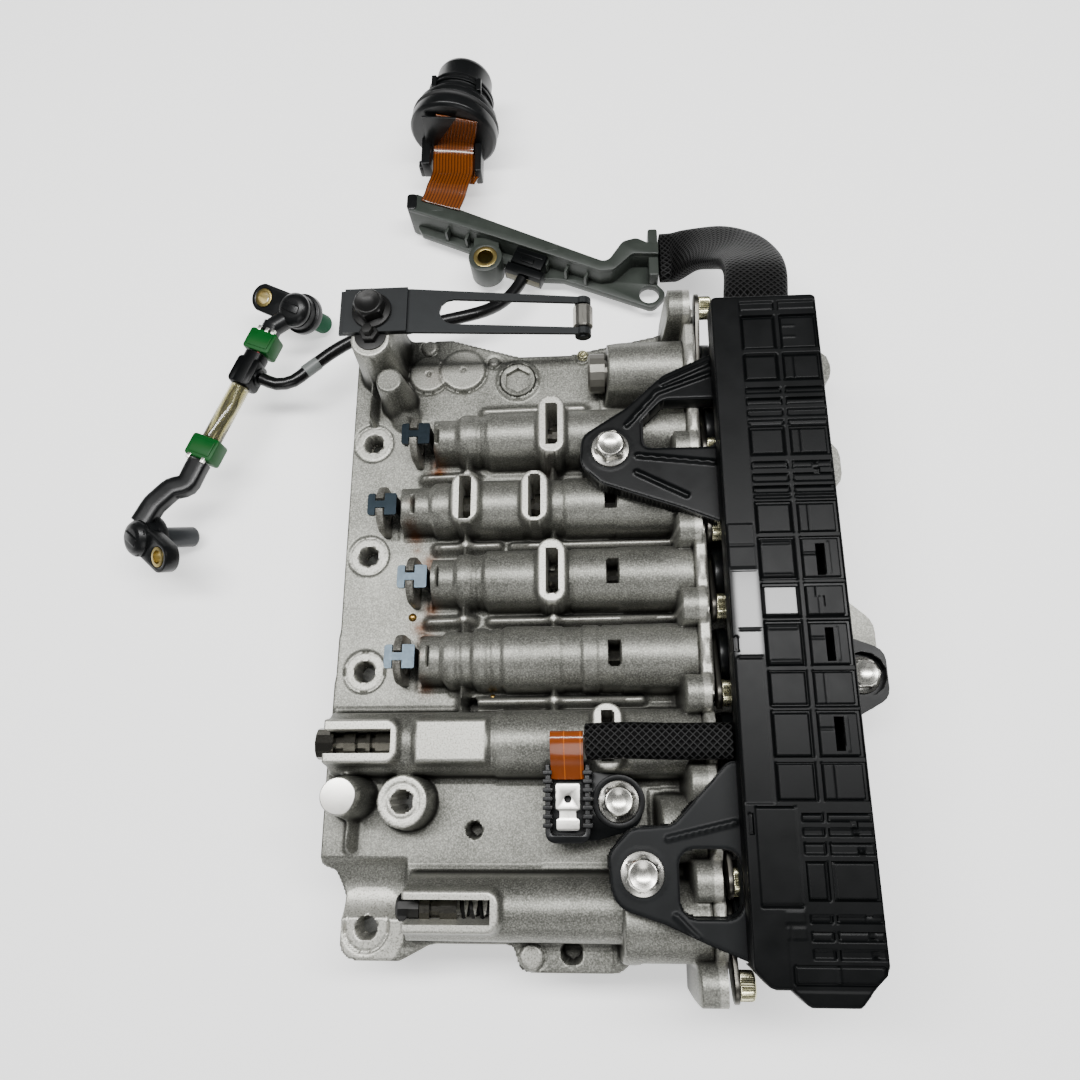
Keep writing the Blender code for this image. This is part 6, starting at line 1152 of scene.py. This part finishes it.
def main_sleeve():
    """The wide braided sleeve, from the module round into the bracket."""
    path = [(78.4, 123.95, 66.6), (78.4, 128.6, 66.6), (80.0, 143.6, 61.6), (79.6, 157.6, 50.6),
            (75.4, 170.6, 37.6),
            (67.0, 180.6, 25.6), (55.0, 186.2, 12.4), (49.0, 186.2, 11.6), (46.35, 186.2, 11.6)]
    wide = [(1, 0, 0), (1, 0, 0), (1, 0, 0), (1, 0.2, 0), (1, 0.7, 0), (0.7, 1, 0), (0, 1, 0), (0, 1, 0),
            (0, 1, 0)]
    line = smooth_path(np.hstack([path, wide]), 64)
    piece = swept("main_sleeve_braid", line[:, :3], line[:, 3:], 40, 12.3, 3.85, 3.6)
    dress(piece, "braid", replaces=["main_sleeve"])


def temperature_sensor():
    """The sensor in its tray, with combs on both sides, a silver terminal, its film and its sleeve."""
    tray = flat_piece("tray", [rounded([(-4.6, -73, 3.4), (10.8, -73, 3.4), (10.8, -47, 3.4),
                                        (-4.6, -47, 3.4)], 4)],
                      42.0, 52.0, 0.4)
    walls = flat_piece("walls", [rounded([(-4.6, -73, 3.4), (10.8, -73, 3.4), (10.8, -47, 0.6),
                                          (9.0, -47, 0.6),
                                          (9.0, -70.4, 1.4), (-2.8, -70.4, 1.4), (-2.8, -47, 0.6),
                                          (-4.6, -47, 0.6)], 4)],
                       51.6, 57.4, 0.35)
    teeth = []
    for row in np.arange(-68.0, -49.5, 2.9):
        for x1, x2 in ((-5.4, -2.2), (8.4, 11.6)):
            teeth.append(block("tooth", x1, row, x2, row + 1.5, 53.0, 58.6, 0.25, 0.3))
    dress(merged("temp_sensor_tray", [tray, walls, *teeth]), "black",
          replaces=["temp_sensor"])
    outline = rounded([(3.1, -75, 8), (29, -67.8, 8), (29, -51.4, 8), (3.1, -48, 1)], 6)
    plate = flat_piece("temp_sensor_plate", [outline, ring_line(*TEMP_BOLT, 3.4)], 49.6, 51.95, 0.35)
    dress(plate, "module")
    ring = turned("temp_seat", [(0, 7.2), (0.25, 7.2), (0.25, 9.0), (0, 9.2), (0, 7.2)], (*TEMP_BOLT, 51.95),
                  (0, 0, 1), 48, 0.1)
    dress(ring, "module")
    body = flat_piece("terminal", [rounded([(-0.9, -69.0, 0.8), (7.1, -69.0, 0.8), (7.1, -65.4, 0.3),
                                            (6.0, -64.8, 0.3),
                                            (6.0, -62.6, 0.3), (7.3, -62.0, 0.3), (7.3, -53.4, 0.6),
                                            (-1.1, -53.4, 0.6),
                                            (-1.1, -62.0, 0.3), (0.2, -62.6, 0.3), (0.2, -64.8, 0.3),
                                            (-0.9, -65.4, 0.3)], 2),
                                   ring_line(3.1, -58.6, 1.25, 20)], 54.4, 55.8, 0.2)
    dress(body, "silver")
    path = smooth_path([(3.1, -52.0, 55.2), (3.1, -48.0, 59.0), (3.1, -44.0, 63.0), (3.1, -39.4, 65.4),
                        (3.1, -36.8, 64.5),
                        (3.1, -36.3, 61.8)], 40)
    film = swept("temp_film", path, (1, 0, 0), 20, 5.7, 0.26, 8.0, 0.1)
    dress(film, "film_bright", replaces=["temp_flex"])
    path = smooth_path([(9.3, -40.0, 64.3), (21.0, -39.6, 65.1), (39.0, -40.0, 65.5), (53.0, -40.0, 65.9),
                        (59.2, -40.0, 66.1)], 60)
    sleeve = swept("temp_sleeve_braid", path, (0, 1, 0), 36, 6.1, 3.2, 2.8)
    dress(sleeve, "braid", replaces=["temp_sleeve"])


HEADING = (0.155101, 0.987899, 0.0)


def connector():
    """The round connector: flange, seal, ringed body, cap and its two legs, with the film that leaves it."""
    start = (-51.4, 252.0, 22.4)
    profile = [(0.05, 0), (0.05, 19.9), (1.4, 21.3), (6, 21.3), (6, 18.3), (10, 18.3), (10, 19.7), (13, 19.7),
               (13, 17),
               (14.6, 17), (14.6, 16.3), (15.6, 16.3), (15.6, 16.9), (17, 16.8), (17, 15.3), (20, 15.3),
               (20, 16.5), (21.2, 16.5), (21.2, 15.9),
               (22.4, 15.9), (22.4, 16.4), (24, 16.3), (24, 14.3), (34, 13.6), (36.2, 12.6), (36.95, 11.2),
               (36.95, 9.7), (21, 9.7), (21, 0)]
    body = turned("round", profile, start, HEADING, 72, 0.4)
    legs = [block("leg", -67.35, 239.65, -62.85, 256.0, 10.05, 19.95, 0.4),
            block("leg", -40.95, 234.05, -37.65, 252.5, 10.05, 19.95, 0.4)]
    foot = block("foot", -69.0, 239.7, -66.6, 244.0, 10.2, 17.0, 0.4)
    keys = []
    side = Vector((HEADING[1], -HEADING[0], 0))
    for shift in (-11.0, 11.0):
        middle = Vector((*start[:2], 0)) + Vector(HEADING) * 20.2 + side * shift
        keys.append(block("key", middle.x - 1.2, middle.y - 3.4, middle.x + 1.2, middle.y + 3.4, 30.0, 36.0,
                          0.3, 0.4))
    window = block("window", -56.0, 243.6, -46.0, 252.6, 9.0, 15.6, 0.4)
    dress(merged("connector_body", [body, *legs, foot, *keys, window]), "black",
          replaces=["bulkhead_connector"])
    face = Matrix.Identity(4)
    face.col[0][:3], face.col[1][:3], face.col[2][:3], face.col[3][:3] = side, (0, 0,
                                                                                1), -Vector(HEADING), start
    wedge = flat_piece("connector_wedge", [[(4.6, 15.4), (-12.4, 14.6), (-13.6, -5.0), (-9.4, -5.0)]], 1.5,
                       2.6, 0.3, face)
    dress(wedge, "black")
    turn = np.linspace(0, 2 * np.pi, 17)[:-1]
    ring = [(8 - 1.4 * math.sin(a), 20.0 - 1.4 * math.cos(a)) for a in turn]
    seal = turned("connector_ring", [*ring, ring[0]], start, HEADING, 72, 0)
    dress(seal, "rubber", replaces=["connector_seal"])
    path = smooth_path([(-47.4, 250.6, 36.0), (-48.6, 250.8, 30.0), (-50.4, 251.0, 24.0),
                        (-51.6, 250.4, 19.0),
                        (-52.0, 247.6, 16.8), (-52.0, 243.6, 16.9), (-51.8, 236.0, 17.6),
                        (-52.2, 231.0, 19.4),
                        (-53.2, 225.0, 21.3), (-54.8, 219.6, 20.7), (-56.8, 214.0, 20.7)], 60)
    flat = swept("connector_film", path, (1, -0.12, 0), 24, 9.95, 0.4, 8.0, 0.1)
    dress(flat, "film", replaces=["connector_flex"])
    path = smooth_path([(-44.6, 251.0, 12.4), (-44.0, 243.0, 13.0), (-43.6, 236.0, 14.6),
                        (-45.4, 229.0, 17.4)], 30)
    behind = swept("connector_film_behind", path, (1, -0.12, 0), 20, 4.6, 0.35, 8.0, 0.1)
    dress(behind, "film")


def bracket():
    """The harness bracket: high rail with gussets, low web, eye with a brass bush, foot and sleeve block."""
    rail = [(-73.0, 213.6, 2), (-72.0, 220.4, 3), (-68.6, 222.0, 2), (22.0, 179.6, 4), (29.5, 190.6, 5),
            (36.0, 192.2, 4), (41.0, 189.4, 2), (46.0, 189.4, 0.6), (46.0, 183.0, 0.6), (34.0, 183.8, 3),
            (25.0, 175.4, 5), (19.0, 175.2, 3), (-66.2, 211.0, 2)]
    web = [(-71.0, 214.0, 2), (-67.6, 207.4, 2), (-43.0, 196.4, 3), (-26.0, 188.0, 3), (-22.0, 180.4, 2),
           (1.3, 178.4, 2), (43.2, 161.0, 4), (50.4, 168.2, 4), (45.8, 173.6, 1), (45.8, 186.0, 0),
           (30.0, 186.0, 0), (16.0, 177.6, 0), (-64.0, 211.8, 0)]
    channel = ribbon([(-68.0, 216.6), (18.0, 178.2)], 3.6)
    eye = ring_line(*BRACKET_EYE, 5.5)
    parts = [flat_piece("rail_top", [rounded(rail, 5)], 17.6, 19.95, 0.45),
             flat_piece("rail_wall", [rounded(rail, 5), channel], 1.05, 18.4, 0.3),
             flat_piece("web", [rounded(web, 5), eye, ring_line(41.7, 168.8, 4.6)], 5.05, 8.95, 0.4),
             flat_piece("eye", [ring_line(*BRACKET_EYE, 7.95, 48), eye], 5.05, 18.9, 0.5),
             flat_piece("eye_web", [[(-40.8, 190.6), (-28.8, 190.6), (-28.8, 198.4), (-40.8, 198.8)]], 5.05,
                        15.95, 0.4),
             block("sleeve_block", 41.45, 173.75, 45.95, 198.65, 4.05, 16.95, 0.5, 1.0)]
    for along in (14.0, 24.5, 35.0, 66.0, 76.0, 86.0):
        foot = Vector((-66.2, 211.0)) + RAIL_RUN * along
        end = foot + RAIL_OUT * 3.4
        parts.append(flat_piece("gusset", [ribbon([tuple(foot - RAIL_OUT), tuple(end)], 1.2)], 6.0, 15.6,
                                0.25))
    for x, y in ((-58.1, 213.4), (-3.6, 188.6)):
        parts.append(block("clip_seat", x - 3.0, y - 1.6, x + 3.0, y + 1.6, 19.2, 19.98, 0.2, 0.4))
    dress(merged("bracket_body", parts), "grey_green", replaces=["harness_bracket"])
    bush = turned("bracket_bush", [(0, 3.6), (0, 5.6), (13.7, 5.6), (13.7, 3.6), (0, 3.6)],
                  (*BRACKET_EYE, 5.2), (0, 0, 1), 48, 0.3)
    dress(bush, "bush")
    cap = block("bracket_end", -73.2, 213.2, -68.4, 221.8, 1.4, 20.4, 0.4, 1.6)
    dress(cap, "black")


def plug_on_rail():
    """The plug in its seat on the rail, its boot and the strip below it."""
    centre = Vector((-14.243, 184.287))

    def bar(name, shift, span, width, low, high, soft):
        middle, half = centre + RAIL_OUT * shift, RAIL_RUN * span / 2
        return flat_piece(name, [ribbon([tuple(middle - half), tuple(middle + half)], width)], low, high,
                          soft)

    parts = [bar("housing", 0, 15.5, 8.3, 9.35, 18.65, 0.9), bar("boot", 6.1, 18.3, 4.5, 9.35, 17.4, 0.7),
             bar("ridge", -1.6, 13.0, 1.2, 18.2, 19.0, 0.3), bar("latch", 1.6, 6.0, 2.6, 18.2, 19.4, 0.35)]
    dress(merged("plug_housing", parts), "module", replaces=["sensor_plug"])
    dress(bar("plug_strip", 8.1, 17.0, 0.8, 10.4, 14.4, 0.2), "olive_wire")


# Sensor branch

CHAIN_START = Vector((-135.2, 140.4, 24.0))
CHAIN_RUN = Vector((-0.376, -0.9266, 0.0)).normalized()
CHAIN_SIDE = Vector((0.9266, -0.376, 0.0)).normalized()


def on_chain(distance, side=0.0, rise=0.0):
    """A point on the sensor branch's line, so far along it, to its right and above it."""
    return CHAIN_START + CHAIN_RUN * distance + CHAIN_SIDE * side + Vector((0, 0, rise))


def chain_block(name, start, end, left, right, low, high, soft=0.5, radius=1.4):
    """A rounded block that lies along the branch: lengths along it, widths to its right, heights about it."""
    turn = Matrix.Identity(4)
    turn.col[0][:3], turn.col[1][:3], turn.col[2][:3] = CHAIN_RUN, -CHAIN_SIDE, (0, 0, 1)
    turn.col[3][:3] = CHAIN_START
    corners = [(start, -right, radius), (end, -right, radius), (end, -left, radius), (start, -left, radius)]
    return flat_piece(name, [rounded(corners, 3)], low, high, soft, turn)


def clip(name, start, node):
    """A green clip: a rounded block with a low step on top."""
    body = chain_block("body", start, start + 10.4, -6.6, 6.6, -4.9, 4.5, 0.6)
    step = chain_block("step", start + 1.6, start + 8.8, -5.2, 5.2, 4.0, 4.9, 0.3, 0.6)
    dress(merged(name, [body, step]), "green", replaces=[node])


def sensor_cable():
    """The cable from the plug to the junction, lying in a loose curve under the leaf spring."""
    route = [(-17.613, 176.266, 14.0), (-18.388, 174.422, 14.0), (-23.5, 166.5, 15.0), (-31.0, 159.6, 17.0),
             (-42.0, 153.4, 21.0), (-68.0, 147.6, 22.0), (-90.0, 143.6, 22.0), (-102.0, 137.0, 22.4),
             (-112.0, 128.6, 23.0), (-119.4, 121.8, 23.6), (-126.889, 120.192, 24.0),
             (-133.375, 122.824, 24.0),
             (-134.302, 123.2, 24.0)]
    line = smooth_path(route, 36)
    piece = swept("cable_to_sensors", line, (0, 0, 1), 20, 2.85, 2.85, 2.0, 0.3)
    return dress(piece, "cable", replaces=["sensor_cable"]), line


def branch():
    """Junction, tube with its wires, clips and the flat arm to the second sensor."""
    line = np.array([on_chain(7.3, 0.0, 0.0), on_chain(10.0, 0.6), on_chain(13.0, 2.6), on_chain(15.4, 5.4),
                     on_chain(15.6, 7.0)])
    fork = swept("fork", smooth_path(line, 20), (0, 0, 1), 20, 3.5, 3.5, 2.0, 0.4)
    trunk = swept("trunk", [on_chain(d) for d in (5.6, 7.5, 9.5, 14.0, 18.0, 22.6)], (0, 0, 1), 20, 4.9, 4.9,
                  3.0, 0.5)
    collar = swept("collar", [on_chain(15.6, s) for s in (2.0, 3.0, 5.4, 7.0)], (0, 0, 1), 20, 3.9, 3.9, 2.2,
                   0.5)
    body = chain_block("block", 9.0, 22.5, -5.6, 5.6, -5.6, 4.6, 0.9, 2.2)
    dress(merged("junction_moulding", [trunk, collar, fork, body]), "module",
          replaces=["sensor_junction"])
    for i, side in enumerate((-1.5, 1.4)):
        wire = swept("neck_wire_%d" % i, [on_chain(d, side, 2.6 + 0.4 * math.sin(d))
                                          for d in (5.5, 6.4, 7.4, 8.4, 9.4)], (0, 0, 1), 12, 0.9, 0.9, 2.0,
                                          0.1)
        dress(wire, "red_wire" if i else "cable")
    shell = turned("tube_shell", [(23.1, 3.5), (23.1, 4.3), (49.9, 4.3), (49.9, 3.5), (23.1, 3.5)],
                   CHAIN_START, CHAIN_RUN, 40, 0.15)
    dress(shell, "clear", replaces=["sensor_tube"])
    for i, (look, side, rise) in enumerate([("olive_wire", -1.8, 0.6), ("white_wire", 0.2, 1.3),
                                            ("olive_wire", 1.9, 0.4)]):
        line = [on_chain(d, side + 0.5 * math.sin(0.35 * d + i), rise + 0.3 * math.cos(0.5 * d))
                for d in np.linspace(22.7, 50.2, 24)]
        dress(swept("tube_wire_%d" % i, line, (0, 0, 1), 12, 0.95, 0.95, 2.0, 0.2), look)
    clip("clip_upper", -5.2, "sensor_clip_1")
    clip("clip_lower", 50.3, "sensor_clip_2")
    start = on_chain(61.05)
    route = [tuple(start), tuple(on_chain(66.0)), (-162.4, 72.6, 24.0), (-168.8, 71.0, 24.6),
             (-175.6, 63.6, 25.2), (-180.2, 54.6, 25.0)]
    line = softened(route, 1.6)
    arm = swept("arm_bar", line, (0, 0, 1), 24, 3.4, 4.7, 5.0, 0.5)
    dress(arm, "black", replaces=["sensor_arm"])


def speed_sensor(name, top, tip, eye, probe, look, node, neck=False):
    """A speed sensor: domed head with a ring, lug with a bush, collar and probe along one axis."""
    top, tip, eye = Vector(top), Vector(tip), Vector(eye)
    down = (tip - top).normalized()
    reach = (tip - top).length
    head = turned("head", [(0.05, 0), (0.05, 4.6), (0.6, 6.2), (1.4, 7.0), (2.6, 7.85), (4.4, 7.9),
                           (4.4, 7.4), (5.2, 7.4), (5.2, 7.9),
                           (9.0, 7.9), (9.0, 9.3), (12.3, 9.3), (12.3, 5.4), (12.8, 4.5), (13.2, 4.5),
                           (13.2, 0)], top, down, 56, 0.35)
    stem = turned("probe", [(12.2, 0), (12.2, 4.55), (reach - 1.3, 4.55), (reach - 0.1, 3.4),
                            (reach - 0.05, 0)], top, down, 40, 0.5)
    middle = top + down * 6.6
    up = -down
    along = eye - middle
    along -= up * along.dot(up)
    span = along.length
    along.normalize()
    across = up.cross(along)
    turn = Matrix.Identity(4)
    turn.col[0][:3], turn.col[1][:3], turn.col[2][:3], turn.col[3][:3] = along, across, up, middle
    bar = [(0.0, -6.5)] + [(span + 6.7 * math.sin(a), -6.7 * math.cos(a))
                           for a in np.linspace(0.25, math.pi - 0.25, 16)] + [(0.0, 6.5)]
    lug = flat_piece("lug", [bar, ring_line(span, 0, 4.4)], -3.15, 3.15, 0.5, turn)
    crown = flat_piece("crown", [rounded([(-4.6, -2.0, 0.8), (4.6, -2.0, 0.8), (4.6, 2.0, 0.8),
                                          (-4.6, 2.0, 0.8)], 3)], 5.6, 7.0, 0.4, turn)
    parts = [head, lug, crown]
    if not neck:
        cap = rounded([(-6.0, -5.4, 3.0), (6.2, -7.4, 3.0), (6.2, 6.4, 3.0), (-4.0, 7.0, 3.0),
                       (-6.6, 2.6, 2.0)], 3)
        parts.append(flat_piece("cap", [cap], -1.0, 4.8, 0.5, turn))
    else:
        end = on_chain(-9.2)
        parts.append(swept("neck", [tuple(middle), tuple(middle.lerp(end, 0.4)), tuple(middle.lerp(end, 0.8)),
                                    tuple(end)], (0, 0, 1), 24, 4.1, 4.1, 2.6, 0.5))
        parts.append(swept("neck_end", [tuple(on_chain(d)) for d in (-11.2, -9.0, -7.0, -5.6)], (0, 0, 1), 24,
                           4.1, 4.1, 3.0, 0.5))
    dress(merged(name + "_body", parts), look, replaces=[node])
    dress(stem, probe)
    stem.name = name + "_probe"
    bush = turned(name + "_bush", [(-3.3, 2.9), (-3.3, 4.3), (3.3, 4.3), (3.3, 2.9), (-3.3, 2.9)],
                  middle + along * span, down, 40, 0.2)
    dress(bush, "bush")


def contacts():
    """The tinned contacts that show at the clips' outer ends."""
    for i, (along, side) in enumerate([(-6.9, -3.8), (-6.9, 0.0), (-6.9, 3.0), (59.9, -4.6), (59.9, 2.4)]):
        dress(chain_block("contact_%d" % i, along, along + 2.4, side, side + 1.7, 2.6, 4.6, 0.2, 0.3),
              "silver")


def cable_band():
    """The grey marker band on the cable."""
    line = smooth_path([(-109.0, 131.1, 22.8), (-112.0, 128.6, 23.0), (-114.9, 126.0, 23.25)], 8)
    dress(swept("cable_band", line, (0, 0, 1), 20, 3.05, 3.05, 2.0, 0.2), "band")


# Floor and light

def stand_floor():
    data = bpy.data.meshes.new("floor")
    reach = 2.0
    data.from_pydata([(-reach, -reach, -0.0002), (reach, -reach, -0.0002), (reach, reach, -0.0002),
                      (-reach, reach, -0.0002)], [], [(0, 1, 2, 3)])
    floor = linked("floor", data)
    made, tree, surface, where = blank("pale_paper", 0.85)
    pulp = noise(tree, where, 60.0, 2.0)
    tree.links.new(blend_colour(tree, pulp, linear("#F4F4F3"), linear("#F8F8F7")),
                   surface.inputs["Base Color"])
    surface.inputs["Emission Color"].default_value = linear("#FFFFFF")
    surface.inputs["Emission Strength"].default_value = 0.8
    data.materials.append(made)


def hang_light(name, place, aim, size, power, depth=None):
    """A soft panel, round or size by depth, that faces a point."""
    data = bpy.data.lights.new(name, "AREA")
    data.shape = "RECTANGLE" if depth else "DISK"
    data.size = size
    data.size_y = depth or size
    data.energy = power
    lamp = linked(name, data)
    away = Vector(place) - Vector(aim)
    lamp.matrix_world = Matrix.Translation(place) @ away.to_track_quat("Z", "Y").to_matrix().to_4x4()


def light_scene():
    world = bpy.data.worlds.new("studio")
    world.use_nodes = True
    world.node_tree.nodes["Background"].inputs[0].default_value = linear("#E9ECEE")
    world.node_tree.nodes["Background"].inputs[1].default_value = 0.14
    bpy.context.scene.world = world
    hang_light("tube", (0.02, 0.17, 0.90), (0.02, 0.1699, 0.0), 1.3, 17.0, 0.14)
    hang_light("fill", (-0.45, 0.05, 0.95), (0.0, 0.0, 0.0), 0.6, 1.2)
    hang_light("front", (0.05, -0.75, 0.55), (0.0, 0.0, 0.03), 0.5, 1.6)


def dress_nodes():
    """Materials of the CAD nodes that stay."""
    finishes = {
        "cast": ["lower_valve_body"],
        "module": ["module_cover"],
        "leaf": ["detent_spring", "detent_stiffener"],
        "zinc": ["separator_plate"],
        "plug": ["end_plug_a"],
        "bare": ["detent_roller", "end_plug_b", "end_plug_c", "end_plug_d", "end_plug_e", "spring_b",
                 "spring_c",
                 "spring_d", "spring_e"],
        "black_bolt": ["spring_g", "end_plug_g"],
        "spool": ["spool_b", "spool_c", "spool_d", "spool_e", "spool_g", "manual_valve"],
        "blued": ["retainer_clip_b", "retainer_clip_c"],
        "bright_key": ["retainer_clip_d", "retainer_clip_e"],
    }
    for finish, names in finishes.items():
        for name in names:
            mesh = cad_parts[name].data
            mesh.materials.clear()
            mesh.materials.append(LOOKS[finish])


stand_camera()
LOOKS = make_materials()
cable, cable_line = sensor_cable()
outer_casting()
for ear in "bcde":
    ear_ring(ear)
hex_socket_plug()
small_fittings()
module_face()
module_arms()
for number, rows in enumerate(zip(SOLENOID_ROWS, SCREW_ROWS), 1):
    solenoid(number, *rows)
main_sleeve()
temperature_sensor()
connector()
bracket()
plug_on_rail()
branch()
cable_band()
contacts()
speed_sensor("sensor_upper", (-121.9, 155.3, 30.0), (-114.4, 162.3, 2.8), (-138.6, 163.3, 30.0), "probe",
             "black", "speed_sensor_1", True)
speed_sensor("sensor_lower", (-182.3, 47.4, 28.6), (-166.1, 55.6, 3.6), (-166.8, 39.3, 28.0), "dark_grey",
             "black", "speed_sensor_2")
flange_bolt("module_bolt_1", *UPPER_BOLT, 66.0, "zinc", turn0=0.3)
flange_bolt("module_bolt_2", *LOWER_BOLT, 66.0, "zinc", turn0=0.1)
flange_bolt("module_bolt_3", 113.6, -13.6, 31.0, "zinc", turn0=0.5)
flange_bolt("temp_sensor_bolt", *TEMP_BOLT, 52.0, "zinc", turn0=0.2)
flange_bolt("detent_bolt", *LEAF_BOLT, 69.0, "black_bolt", 1.12, 0.2)
dress_nodes()
stand_floor()
light_scene()
